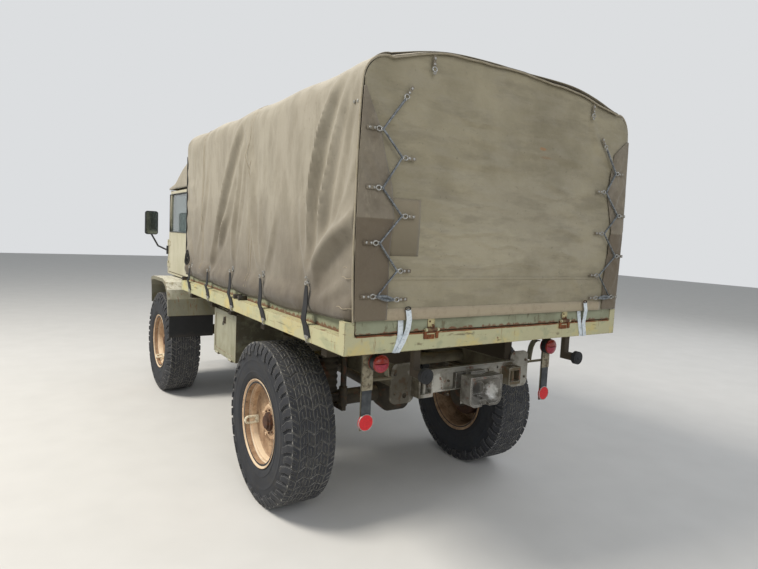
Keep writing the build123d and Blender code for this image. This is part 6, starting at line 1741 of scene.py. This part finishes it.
@dataclass
class Straps:
    """Rubber straps that hold the cover's sides and webbing that holds the curtain."""
    cover_x: float = 0.982
    rail_x: float = 1.011
    # How far each strap's foot lies behind its eyelet.
    lean: tuple[float, ...] = (0.12, 0.12, 0.13, 0.14, 0.085)

    def build(self) -> None:
        """Makes the rubber straps, their hooks and the webbing."""
        rubber, metal = bmesh.new(), bmesh.new()
        for side in (1.0, -1.0):
            for y, z, lean in zip(STRAPS_Y, EYELETS_Z, self.lean):
                self._strap(rubber, metal, side, y, z, lean)
        finish_piece("side_rubber_straps", rubber, STRAP_RUBBER, replaces=("side_straps",))
        finish_piece("side_strap_hooks", metal, ZINC)
        self._webbing()

    def _strap(self, rubber: BMesh, metal: BMesh, side: float, y: float, top: float, lean: float) -> None:
        """Adds one strap: a narrow neck at the eyelet, a wide belly over the rail, a hook under it.

        Args:
            rubber: mesh of the straps.
            metal: mesh of the hooks.
            side: 1 on the left and -1 on the right.
            y: place of the eyelet along the truck.
            top: height of the eyelet.
            lean: how far the foot lies to the rear.
        """
        stations = (  # out from the centre plane, height, half width, way down
            (self.cover_x + 0.006, top - 0.010, 0.012, 0.0),
            (self.cover_x + 0.012, top - 0.045, 0.020, 0.15),
            (self.cover_x + 0.024, top - 0.100, 0.024, 0.4),
            (self.rail_x + 0.012, 1.300, 0.027, 0.6),
            (self.rail_x + 0.006, 1.262, 0.030, 0.8),
            (self.rail_x + 0.003, 1.215, 0.034, 1.0),
        )
        band(rubber, [((side * x, y + lean * down + half, z), (side * x, y + lean * down - half, z))
                      for x, z, half, down in stations], 0.005, cuts=1)
        foot = y + lean
        hook = ((0.006, 1.222), (0.008, 1.196), (0.002, 1.183), (-0.018, 1.183))
        rod(metal, [(side * (self.rail_x + out), foot, z) for out, z in hook], 0.0035, smooth=True)
        block(metal, (side * self.rail_x, foot - 0.018, 1.206),
              (side * (self.rail_x + 0.010), foot + 0.018, 1.222), 0.002)
        ring(metal, (side * (self.cover_x + 0.008), y, top + 0.002), 0.010, 0.003, (1, 0, 0))

    def _webbing(self) -> None:
        """Makes the doubled webbing at each side of the tailgate."""
        front = (  # out from the centre plane, y, z down the outer strand
            (0.682, 2.4615, 1.402), (0.68, 2.4625, 1.392), (0.672, 2.4615, 1.352), (0.665, 2.444, 1.3),
            (0.67, 2.4345, 1.268), (0.686, 2.434, 1.232), (0.709, 2.4335, 1.196), (0.713, 2.429, 1.185),
            (0.714, 2.404, 1.1825))
        behind = (
            (0.702, 2.432, 1.345), (0.7, 2.431, 1.3), (0.7, 2.43, 1.268), (0.708, 2.4295, 1.232),
            (0.722, 2.429, 1.196), (0.725, 2.426, 1.187), (0.726, 2.404, 1.1845))
        far_front = (
            (0.652, 2.4615, 1.402), (0.652, 2.4625, 1.392), (0.664, 2.4615, 1.352), (0.68, 2.444, 1.3),
            (0.688, 2.4345, 1.268), (0.698, 2.434, 1.232), (0.706, 2.4335, 1.196), (0.708, 2.429, 1.185),
            (0.709, 2.404, 1.1825))
        far_behind = (
            (0.636, 2.432, 1.345), (0.646, 2.431, 1.3), (0.656, 2.43, 1.268), (0.666, 2.4295, 1.232),
            (0.676, 2.429, 1.196), (0.678, 2.426, 1.187), (0.679, 2.404, 1.1845))
        mesh, loops = bmesh.new(), bmesh.new()
        # Half the width of the webbing.
        half = 0.0155
        for side, lines in ((1.0, (front, behind)), (-1.0, (far_front, far_behind))):
            for line in lines:
                band(mesh, [((side * (x + half), y, z), (side * (x - half), y, z)) for x, y, z in line],
                     0.0018)
            ring(loops, (side * lines[0][0][0], 2.4600, 1.405), 0.015, 0.0035, (0, 1, 0), 0.5)
        buckles = finish_piece("tailgate_webbing_loops", loops, DARK_STEEL)
        webbing = finish_piece("tailgate_webbing", mesh, WEBBING, replaces=("webbing_straps",))
        squash_rear([buckles, webbing])


@dataclass
class Wheel:
    """A lugged tyre on a deep dished rim with its rusty hub."""
    name: str
    side: float
    axle_y: float
    tab_angle: float
    track: float = 0.825
    radius: float = 0.520
    lug_height: float = 0.013
    # At the shoulder the lugs lose this share of their height and stand out to the side instead.
    lug_slope: float = 0.55
    lug_spread: float = 0.0095
    crown_radius: float = 0.506
    tread_half: float = 0.136
    # The lugs' outer ends slope away over this depth below the crown.
    flank_depth: float = 0.03
    # Pitches of the tread round the tyre, and the faces in each.
    pitches: int = 46
    pitch_steps: int = 8
    # The tread's zigzag as (x, turn in pitches). It starts at this radius and is full a little farther out.
    zigzag: tuple[Flat, ...] = ((-0.136, 0.40), (-0.0915, -0.08), (-0.0455, 0.40), (0.0, -0.08),
                                (0.0455, 0.40), (0.0915, -0.08), (0.136, 0.40))
    zigzag_radius: float = 0.44
    zigzag_rise: float = 0.04
    # The shoulder's lugs start at these radii, every second one at the greater.
    lug_start: float = 0.445
    short_lug_start: float = 0.462
    # The plain sidewall and the floor of the grooves end at these radii.
    sidewall_end: float = 0.448
    groove_end: float = 0.5155
    # How far the slotted tab's face lies from the axle.
    tab_radius: float = 0.228
    # Rows of blocks across the tread as (inner x, outer x), and the fine cuts along two of them. The third
    # row has a cross cut from its middle outwards.
    rows: tuple[Flat, ...] = ((0.003, 0.043), (0.048, 0.089), (0.094, 0.136))
    sipes: tuple[Flat, ...] = ((0.0205, 0.0255), (0.066, 0.071))
    cross_cut: float = 0.113
    sidewall: tuple[Flat, ...] = (
        (0.1415, 0.2545), (0.1415, 0.286), (0.149, 0.296), (0.1545, 0.308), (0.1575, 0.322),
        (0.1602, 0.326), (0.1602, 0.33), (0.1575, 0.3345), (0.1598, 0.356), (0.1608, 0.38), (0.161, 0.399),
        (0.1625, 0.402), (0.1625, 0.406), (0.16, 0.41), (0.16, 0.418), (0.159, 0.435), (0.1545, 0.456),
        (0.147, 0.478))
    rim: tuple[Flat, ...] = (
        (0.141, 0.2545), (0.142, 0.276), (0.145, 0.2815), (0.149, 0.282), (0.15, 0.279), (0.148, 0.274),
        (0.144, 0.27), (0.138, 0.262), (0.118, 0.256), (0.1, 0.253), (0.0965, 0.248), (0.096, 0.24),
        (0.09, 0.237), (0.064, 0.235), (0.056, 0.228), (0.0545, 0.21), (0.05, 0.196), (0.049, 0.15),
        (0.052, 0.125), (0.062, 0.112), (0.064, 0.09))
    hub: tuple[Flat, ...] = (
        (0.064, 0.09), (0.0655, 0.089), (0.067, 0.061), (0.084, 0.057), (0.086, 0.044), (0.098, 0.04),
        (0.1, 0.028), (0.1, 0.0))

    def _seated(self, mesh: BMesh) -> BMesh:
        """Turns a wheel part outboard and moves it to its axle.

        Args:
            mesh: the part, made about the origin.

        Returns:
            The same mesh.
        """
        turn = Matrix.Identity(4) if self.side > 0 else Matrix.Rotation(pi, 4, "Z")
        place = Matrix.Translation((self.side * self.track, self.axle_y, self.radius))
        bmesh.ops.transform(mesh, matrix=place @ turn, verts=mesh.verts)
        return mesh

    def _from_axle(self, centre: Vector) -> Flat:
        """How far a place lies outboard of the wheel's middle and away from its axle."""
        return abs(centre.x) - self.track, hypot(centre.y - self.axle_y, centre.z - self.radius)

    def build(self) -> None:
        """Makes the tyre, the rim and the hub."""
        body = f"wheel_{self.name}"
        self._tyre(body)
        self._rim(body)
        self._hub(body)

    def _tyre(self, body: str) -> None:
        """Makes the tyre: spun carcass, sheared into a zigzag, with its blocks drawn out.

        Args:
            body: body that the wheel turns with.
        """
        right = sorted([x for pair in self.rows + self.sipes for x in pair] + [self.cross_cut])
        columns = [-x for x in reversed(right)] + right
        left = [(-x, r) for x, r in self.sidewall]
        crown = [(x, self.crown_radius + 0.001 * (1 - (x / self.tread_half) ** 2)) for x in columns]
        outline = left + crown + list(reversed(self.sidewall)) + [(0.120, 0.2545), (-0.120, 0.2545)]
        steps = self.pitches * self.pitch_steps
        mesh = lathe(outline, steps, closed=True)
        bmesh.ops.recalc_face_normals(mesh, faces=mesh.faces)
        blocks = [face for face in mesh.faces if self._in_block(face.calc_center_median(), steps)]
        pitch = 2 * pi / self.pitches
        for vert in mesh.verts:
            radius = hypot(vert.co.y, vert.co.z)
            if radius > self.zigzag_radius:
                hold = clamp((radius - self.zigzag_radius) / self.zigzag_rise)
                shift = line_at(self.zigzag, vert.co.x) * pitch * hold
                vert.co = Matrix.Rotation(shift, 3, "X") @ vert.co
        drawn = bmesh.ops.extrude_face_region(mesh, geom=blocks)["geom"]
        bmesh.ops.delete(mesh, geom=blocks, context="FACES_ONLY")
        for vert in [item for item in drawn if isinstance(item, BMVert)]:
            radius = hypot(vert.co.y, vert.co.z)
            outward = Vector((0.0, vert.co.y, vert.co.z)) / radius
            flank = clamp((self.crown_radius - radius) / self.flank_depth)
            vert.co += outward * self.lug_height * (1 - self.lug_slope * flank)
            vert.co.x += (self.lug_spread if vert.co.x > 0 else -self.lug_spread) * flank
        tyre = finish_piece(f"tyre_{self.name}_lugged", self._seated(mesh), TREAD_RUBBER, body,
                            (f"tyre_{self.name}",))

        def in_groove(centre: Vector) -> bool:
            """Whether a face lies in the tread's grooves."""
            out, away = self._from_axle(centre)
            return self.sidewall_end <= away < self.groove_end and abs(out) < self.tread_half

        repaint(tyre, TYRE_RUBBER, lambda centre: self._from_axle(centre)[1] < self.sidewall_end)
        repaint(tyre, GROOVE_RUBBER, in_groove)

    def _in_block(self, centre: Vector, steps: int) -> bool:
        """Whether a face of the carcass is drawn out as part of a block.

        Args:
            centre: centre of the face before the zigzag.
            steps: number of faces round the tyre.

        Returns:
            True inside a block.
        """
        radius = hypot(centre.y, centre.z)
        if radius < self.lug_start:
            return False
        index = int((atan2(centre.z, centre.y) % (2 * pi)) / (2 * pi) * steps)
        slot, pitch = index % self.pitch_steps, index // self.pitch_steps
        across = abs(centre.x)
        if across > self.tread_half:
            return slot > 2 and (pitch % 2 == 1 or radius > self.short_lug_start)
        if slot == 0:
            return False
        if slot == 4 and across > self.cross_cut:
            return False
        if slot in (2, 3, 4, 5) and any(inner < across < outer for inner, outer in self.sipes):
            return False
        return any(inner < across < outer for inner, outer in self.rows)

    def _rim(self, body: str) -> None:
        """Makes the dished rim with its studs, and its slotted tab.

        Args:
            body: body that the wheel turns with.
        """
        back = [
            (0.045, 0.09), (0.042, 0.15), (0.044, 0.21), (0.044, 0.234), (0.01, 0.244), (-0.13, 0.246),
            (-0.148, 0.27), (-0.15, 0.279), (-0.149, 0.282), (-0.145, 0.2815), (-0.142, 0.276),
            (-0.141, 0.2545)]
        mesh = lathe([*self.rim, *back, self.rim[0]], 96)
        for index in range(5):
            angle = 2 * pi * index / 5 + 0.4
            at = (0.0560, 0.118 * cos(angle), 0.118 * sin(angle))
            disc(mesh, at, 0.013, 0.022, (1, 0, 0), 0.003, 6)
        # A slotted oval tab stands out of the dish, on a foot welded to its wall.
        tab = bmesh.new()
        points = []
        for i in range(28):
            turn = 2 * pi * i / 28
            along = 0.110 + (0.020 if cos(turn) > 0 else -0.020) + 0.020 * cos(turn)
            points.append((along, 0.020 * sin(turn), self.tab_radius - 0.012))
        rod(tab, points, 0.0085, closed=True, sides=2)
        block(tab, (0.056, -0.026, self.tab_radius - 0.020), (0.078, 0.026, self.tab_radius + 0.004), 0.004)
        bmesh.ops.transform(tab, matrix=Matrix.Rotation(self.tab_angle, 4, "X"), verts=tab.verts)
        rim = finish_piece(f"rim_{self.name}_dished", self._seated(mesh), RIM_PAINT, body,
                           (f"rim_{self.name}",))

        def deep(centre: Vector) -> bool:
            """Whether a face lies at the bottom of the dish."""
            out, away = self._from_axle(centre)
            return out < 0.062 and away < 0.232 or out < 0.030

        # The bottom of the dish gets the painted shade.
        repaint(rim, DISH_SHADE_PAINT, deep)
        finish_piece(f"rim_{self.name}_tab", self._seated(tab), TAB_PAINT, body)

    def _hub(self, body: str) -> None:
        """Makes the rusty hub, its flange bolts and the brake drum behind the disc.

        Args:
            body: body that the wheel turns with.
        """
        mesh = lathe([(0.045, 0.0), (0.045, 0.09), *self.hub], 40)
        for index in range(8):
            angle = 2 * pi * index / 8
            disc(mesh, (0.0700, 0.076 * cos(angle), 0.076 * sin(angle)), 0.006, 0.010, (1, 0, 0), 0.002, 6)
        absorb(mesh, lathe([(0.04, 0.04), (0.04, 0.164), (0.03, 0.17), (-0.05, 0.17), (-0.064, 0.16),
                            (-0.065, 0.04), (0.04, 0.04)], 48))
        hub = finish_piece(f"hub_{self.name}", self._seated(mesh), HUB_RUST, body)

        def on_flange(centre: Vector) -> bool:
            """Whether a face lies on the flange that the hub's bolts hold."""
            out, away = self._from_axle(centre)
            return 0.062 < out < 0.0668 and away > 0.061

        # The hub's flange, at the bottom of the dish, gets the same painted shade.
        repaint(hub, DISH_SHADE_PAINT, on_flange)


@dataclass
class Cab:
    """Soft roof, seats, mirror glass and window seals of the cab."""
    half: float = 0.866
    low_z: float = 2.131
    # Side line of the roof as (y, z).
    roof: tuple[Flat, ...] = ((-1.71, 2.165), (-1.46, 2.225), (-1.18, 2.345), (-0.90, 2.425),
                              (-0.666, 2.450))
    seat_x: float = 0.42
    seat_z: float = 1.470
    seat_rear_y: float = -0.830
    # Sewn channels of a pad, as shares of its half depth.
    grooves: tuple[float, ...] = (-0.45, 0.0, 0.45)

    def build(self) -> None:
        """Makes the soft roof, the seats, the mirror glass and the window seals."""
        self._roof()
        for name, side in (("left", 1.0), ("right", -1.0)):
            self._cushion(f"seat_{name}", side)
            self._back(f"seat_back_{name}", side)
        self._mirrors()
        self._door_trim()

    def _roof(self) -> None:
        """Makes the cab's soft roof as one sheet from one door's top to the other's."""
        front, rear = self.roof[0][0], self.roof[-1][0]

        def place(u: float, v: float) -> Point:
            """Place of a point of the sheet.

            Args:
                u: share of the way to the rear.
                v: share of the way across, over the roof.

            Returns:
                Its place.
            """
            y = front + u * (rear - front)
            top = line_at(self.roof, y) - 0.003
            radius = min(0.060, 0.8 * (top - self.low_z))
            wall, bend, flat = top - radius - self.low_z, pi / 2 * radius, 2 * (self.half - radius)
            whole = 2 * wall + 2 * bend + flat
            run = v * whole
            side = 1.0
            if run > whole / 2:
                run, side = whole - run, -1.0
            if run < wall:
                x, z = self.half, self.low_z + run
            elif run < wall + bend:
                turn = (run - wall) / radius
                x, z = self.half - radius + radius * cos(turn), top - radius + radius * sin(turn)
            else:
                x, z = self.half - radius - (run - wall - bend), top
                z -= 0.010 * sin(pi * x / (self.half - radius)) if x > 0 else 0.0
            out = 0.004 * rumple((side * x, y, z), 0.2, 41.0)
            return side * x, y, z + out

        size = (rear - front, 2 * self.half + 0.36)
        mesh = cloth_grid(36, 84, place, size)
        top = finish_piece("cab_top_canvas", mesh, CANVAS, replaces=("cab_soft_top",),
                           thickness=0.003)
        ends = self._roof_ends()

    def _roof_ends(self) -> bpy.types.Object:
        """Makes the roof's front and rear walls.

        Returns:
            The piece.
        """
        mesh = bmesh.new()
        for y, z in (self.roof[0], self.roof[-1]):
            inward = 0.002 if y < -1.0 else -0.002
            part = bmesh.new()
            bmesh.ops.create_grid(part, x_segments=1, y_segments=1, size=0.5)
            height = z - 0.010 - self.low_z
            place = Matrix.Translation((0, y + inward, self.low_z + height / 2))
            upright = place @ Matrix.Rotation(pi / 2, 4, "X")
            bmesh.ops.transform(part, verts=part.verts,
                                matrix=upright @ Matrix.Diagonal((2 * self.half - 0.010, height, 1, 1)))
            upper = [vert for vert in part.verts if vert.co.z > self.low_z + height / 2]
            bmesh.ops.bevel(part, geom=upper, affect="VERTICES", offset=min(0.070, height * 0.7), segments=6,
                            profile=0.5, material=-1)
            bmesh.ops.solidify(part, geom=part.faces[:], thickness=0.002)
            absorb(mesh, part)
        return finish_piece("cab_top_ends", mesh, CANVAS)

    def _pad(self, name: str, size: Point, centre: Point, tilt: float) -> None:
        """Makes a crowned pad with pulled-in sides and sewn channels.

        Args:
            name: name of the pad.
            size: width, depth and thickness.
            centre: place of its middle.
            tilt: lean to the rear in radians.
        """
        mesh = bmesh.new()
        bmesh.ops.create_cube(mesh, size=1.0)
        bmesh.ops.subdivide_edges(mesh, edges=mesh.edges[:], cuts=15, use_grid_fill=True)
        for vert in mesh.verts:
            x, y, z = vert.co * 2
            crown = (1 - x ** 4) * (1 - y ** 4)
            pull = 1 - 0.05 * (1 - abs(z)) * (1 - max(abs(x), abs(y)) ** 6) - 0.04 * (abs(x * y) ** 3)
            channel = max(bump_at(y, groove, 0.05) for groove in self.grooves) if z > 0.9 else 0.0
            vert.co = (x * size[0] / 2 * pull, y * size[1] / 2 * pull,
                       z * size[2] / 2 * (0.80 + 0.20 * crown) - 0.05 * channel * size[2])
        place = Matrix.Translation(centre) @ Matrix.Rotation(tilt, 4, "X")
        bmesh.ops.transform(mesh, matrix=place, verts=mesh.verts)
        pad = finish_piece(name, mesh, VINYL, replaces=("seat_cushions",))
        softened = pad.modifiers.new("softened", "SUBSURF")
        softened.levels = softened.render_levels = 1

    def _cushion(self, name: str, side: float) -> None:
        """Makes a seat cushion."""
        self._pad(name, (0.49, 0.41, 0.085),
                  (side * self.seat_x, self.seat_rear_y - 0.21, self.seat_z + 0.046), 0.0)

    def _back(self, name: str, side: float) -> None:
        """Makes a seat back."""
        self._pad(name, (0.49, 0.50, 0.060),
                  (side * self.seat_x, self.seat_rear_y + 0.062, self.seat_z + 0.30), radians(90 + 5.5))

    def _mirrors(self) -> None:
        """Makes the mirrors' glass, which looks to the rear."""
        mesh = bmesh.new()
        for side in (1.0, -1.0):
            part = bmesh.new()
            bmesh.ops.create_grid(part, x_segments=1, y_segments=1, size=0.5)
            upright = Matrix.Translation((side * 1.025, -1.7832, 1.775)) @ Matrix.Rotation(-pi / 2, 4, "X")
            bmesh.ops.transform(part, verts=part.verts,
                                matrix=upright @ Matrix.Diagonal((0.114, 0.234, 1, 1)))
            bmesh.ops.bevel(part, geom=part.verts[:], affect="VERTICES", offset=0.020, segments=5,
                            profile=0.5, material=-1)
            bmesh.ops.solidify(part, geom=part.faces[:], thickness=0.0016)
            absorb(mesh, part)
        finish_piece("mirror_glasses", mesh, MIRROR_GLASS, smooth=False)

    def _door_trim(self) -> None:
        """Makes the black seals round the doors' windows."""
        for name, side in (("left", 1.0), ("right", -1.0)):
            mesh = bmesh.new()
            x = side * 0.861
            corners = ((-1.672, 1.690), (-0.798, 1.690), (-0.798, 2.079), (-1.672, 2.079))
            rod(mesh, [(x, y, z) for y, z in corners], 0.006, closed=True, sides=1)
            finish_piece(f"door_seal_{name}", mesh, BLACK_PLASTIC, f"door_{name}")


@dataclass
class BedTrim:
    """Small steel fittings of the load bed: rusty edge, hinges, side latches and the box's latch."""
    rail_x: float = 1.008
    rail_top: float = 1.274
    rear_y: float = 2.426
    hinge_x: float = 0.510
    latches_y: tuple[float, ...] = (-0.50, 0.90, 0.99)

    def build(self) -> None:
        """Makes the rusty edge, the gate's hinges, the side latches and the box's latch."""
        rust = bmesh.new()
        places = [0.948 - 1.896 * i / 60 for i in range(61)]
        rod(rust, [(x, self.rear_y - 0.001, self.rail_top + 0.0006 * sin(40 * x)) for x in places], 0.0042,
            sides=1)
        for side in (1.0, -1.0):
            # The two lugs that hold each knuckle.
            for near, far in ((0.4650, 0.4804), (0.5396, 0.5550)):
                block(rust, (side * near, 2.425, 1.2435), (side * far, 2.437, 1.2906), 0.003)
            # Bracket under the knuckle and the nuts that hold it.
            block(rust, (side * 0.484, 2.425, 1.240), (side * 0.536, 2.4275, 1.264), 0.001)
            for x in (0.494, 0.526):
                disc(rust, (side * x, 2.430, 1.248), 0.0055, 0.005, (0, 1, 0), 0.001, 6)
        finish_piece("tailgate_rail_rust", rust, RUST_STEEL)
        self._gate_straps()
        steel = bmesh.new()
        for side in (1.0, -1.0):
            for y in self.latches_y:
                block(steel, (side * (self.rail_x - 0.050), y - 0.014, self.rail_top + 0.002),
                      (side * (self.rail_x + 0.006), y + 0.014, self.rail_top + 0.030), 0.003)
        finish_piece("bed_latches", steel, DARK_STEEL)
        self._box_latch()

    def _gate_straps(self) -> None:
        """Makes the cream faces of the gate's hinge straps, their knuckles and their bolts."""
        straps, knuckles = bmesh.new(), bmesh.new()
        for side in (1.0, -1.0):
            middle = side * self.hinge_x
            block(straps, (middle - 0.0222, 2.4286, 1.2985), (middle + 0.0222, 2.4296, 1.7735), 0.0004)
            rod(knuckles, [(middle - 0.0285, 2.436, 1.290), (middle + 0.0285, 2.436, 1.290)], 0.0098)
            for x, z in ((-0.010, 1.312), (0.010, 1.330)):
                disc(knuckles, (middle + x, 2.4300, z), 0.0050, 0.005, (0, 1, 0), 0.0015, 10)
        finish_piece("tailgate_hinge_straps", straps, STRAP_PAINT, "tailgate")
        finish_piece("tailgate_hinge_knuckles", knuckles, HINGE_IRON, "tailgate")

    def _box_latch(self) -> None:
        """Makes the ring and the keeper of the stowage box's latch."""
        mesh = bmesh.new()
        block(mesh, (0.9240, 0.417, 1.030), (0.9262, 0.443, 1.076), 0.001)
        ring(mesh, (0.9285, 0.430, 1.032), 0.014, 0.003, (1, 0, 0.2), 1.3)
        disc(mesh, (0.9275, 0.430, 1.058), 0.007, 0.006, (1, 0, 0), 0.002, 12)
        finish_piece("stowage_box_ring", mesh, DARK_STEEL, "stowage_box_door")


@dataclass
class RearFittings:
    """Lamp lenses, hanger plates, bolts and brackets below the bed."""
    hanger_y: float = 2.1510
    hanger_x: float = 0.700
    lamp_x: float = 0.662
    lamp_z: float = 1.080

    def build(self) -> None:
        """Makes the fittings of both sides."""
        self._hangers()
        self._lamps()
        self._crossmember()

    def _hangers(self) -> None:
        """Makes the rubber strip, its clamp plate and the pale ring round each reflector."""
        rubber, plates, rims = bmesh.new(), bmesh.new(), bmesh.new()
        for side in (1.0, -1.0):
            x = side * self.hanger_x
            block(rubber, (x - 0.030, self.hanger_y, 0.765), (x + 0.030, self.hanger_y + 0.003, 0.925),
                  0.001)
            block(plates, (x - 0.0335, self.hanger_y, 0.925), (x + 0.0335, self.hanger_y + 0.0045, 1.122),
                  0.001)
            for dx, z in ((-0.019, 0.950), (0.019, 0.950), (-0.014, 1.010), (0.015, 1.088)):
                disc(plates, (x + dx, self.hanger_y + 0.006, z), 0.0055, 0.006, (0, 1, 0), 0.0015, 10)
            ring(rims, (x, self.hanger_y + 0.0052, 0.750), 0.0445, 0.0026, (0, 1, 0))
        finish_piece("hanger_rubber", rubber, HANGER_RUBBER)
        finish_piece("hanger_plates", plates, HANGER_PAINT)
        finish_piece("reflector_rims", rims, ZINC)

    def _lamps(self) -> None:
        """Makes each lamp's two lenses and its rubber collar."""
        amber, red, collar = bmesh.new(), bmesh.new(), bmesh.new()
        for side in (1.0, -1.0):
            x = side * self.lamp_x
            place = Matrix.Translation((x, 2.218, self.lamp_z))
            for mesh, low, high in ((amber, 0.004, 0.050), (red, -0.050, -0.001)):
                lens = bmesh.new()
                bmesh.ops.create_uvsphere(lens, u_segments=32, v_segments=16, radius=1.0)
                bmesh.ops.transform(lens, matrix=place @ Matrix.Diagonal((0.0455, 0.020, 0.0455, 1.0)),
                                    verts=lens.verts)
                cuts = (((0, 0, self.lamp_z + low), (0, 0, -1)), ((0, 0, self.lamp_z + high), (0, 0, 1)),
                        ((0, 2.2175, 0), (0, -1, 0)))
                for cut, away in cuts:
                    bmesh.ops.bisect_plane(lens, geom=lens.verts[:] + lens.edges[:] + lens.faces[:],
                                           plane_co=cut, plane_no=away, clear_outer=True)
                    rims = [edge for edge in lens.edges if edge.is_boundary]
                    bmesh.ops.holes_fill(lens, edges=rims, sides=0)
                absorb(mesh, lens)
            disc(collar, (x, 2.196, self.lamp_z), 0.0490, 0.040, (0, 1, 0), 0.004, 32)
        finish_piece("tail_lamp_amber", amber, AMBER_LENS)
        finish_piece("tail_lamp_red", red, MAGENTA_LENS)
        finish_piece("tail_lamp_collars", collar, BLACK_PLASTIC)

    def _crossmember(self) -> None:
        """Makes the bolts of the crossmember, the bent straps beside it and the buffers' washers."""
        bolts, arches, washers = bmesh.new(), bmesh.new(), bmesh.new()
        heads = ((0.190, 2.215, 0.86), (0.190, 2.215, 0.94), (0.510, 2.145, 0.88), (0.515, 2.145, 0.99))
        # A bent strap runs from the bed's bearer down to the side plate.
        line = ((0.64, 1.11), (0.615, 1.112), (0.59, 1.1), (0.572, 1.07), (0.562, 1.02), (0.558, 0.985))
        for side in (1.0, -1.0):
            for x, y, z in heads:
                disc(bolts, (side * x, y, z), 0.008, 0.012, (0, 1, 0), 0.002, 6)
            band(arches, [((side * x, 2.150, z), (side * x, 2.110, z)) for x, z in line], 0.006)
            disc(washers, (side * 0.575, 2.4985, 1.070), 0.030, 0.008, (0, 1, 0), 0.003, 32)
            disc(washers, (side * 0.575, 2.5010, 1.070), 0.012, 0.010, (0, 1, 0), 0.003, 16)
        finish_piece("rear_bolts", bolts, AXLE_PAINT)
        finish_piece("rear_arches", arches, FENDER_PAINT)
        finish_piece("buffer_washers", washers, STRAP_RUBBER)


@dataclass
class LoadingTruck:
    """The whole truck: builds its sub-assemblies in order."""
    wheels: tuple[Wheel, ...] = (
        Wheel("front_left", 1.0, -1.6, radians(150)),
        Wheel("front_right", -1.0, -1.6, radians(40)),
        Wheel("rear_left", 1.0, 1.3, radians(102)),
        Wheel("rear_right", -1.0, 1.3, radians(200)),
    )

    def build(self) -> None:
        """Dresses every sub-assembly of the truck."""
        paint_nodes()
        LoadCover().build()
        RearCurtain().build()
        Lacing().build()
        Straps().build()
        BedTrim().build()
        RearFittings().build()
        Cab().build()
        for wheel in self.wheels:
            wheel.build()


def main() -> None:
    """Builds the studio and the truck."""
    logging.basicConfig(level=logging.INFO, format="%(name)s: %(message)s")
    Studio().build()
    LoadingTruck().build()


if __name__ == "__main__":
    main()
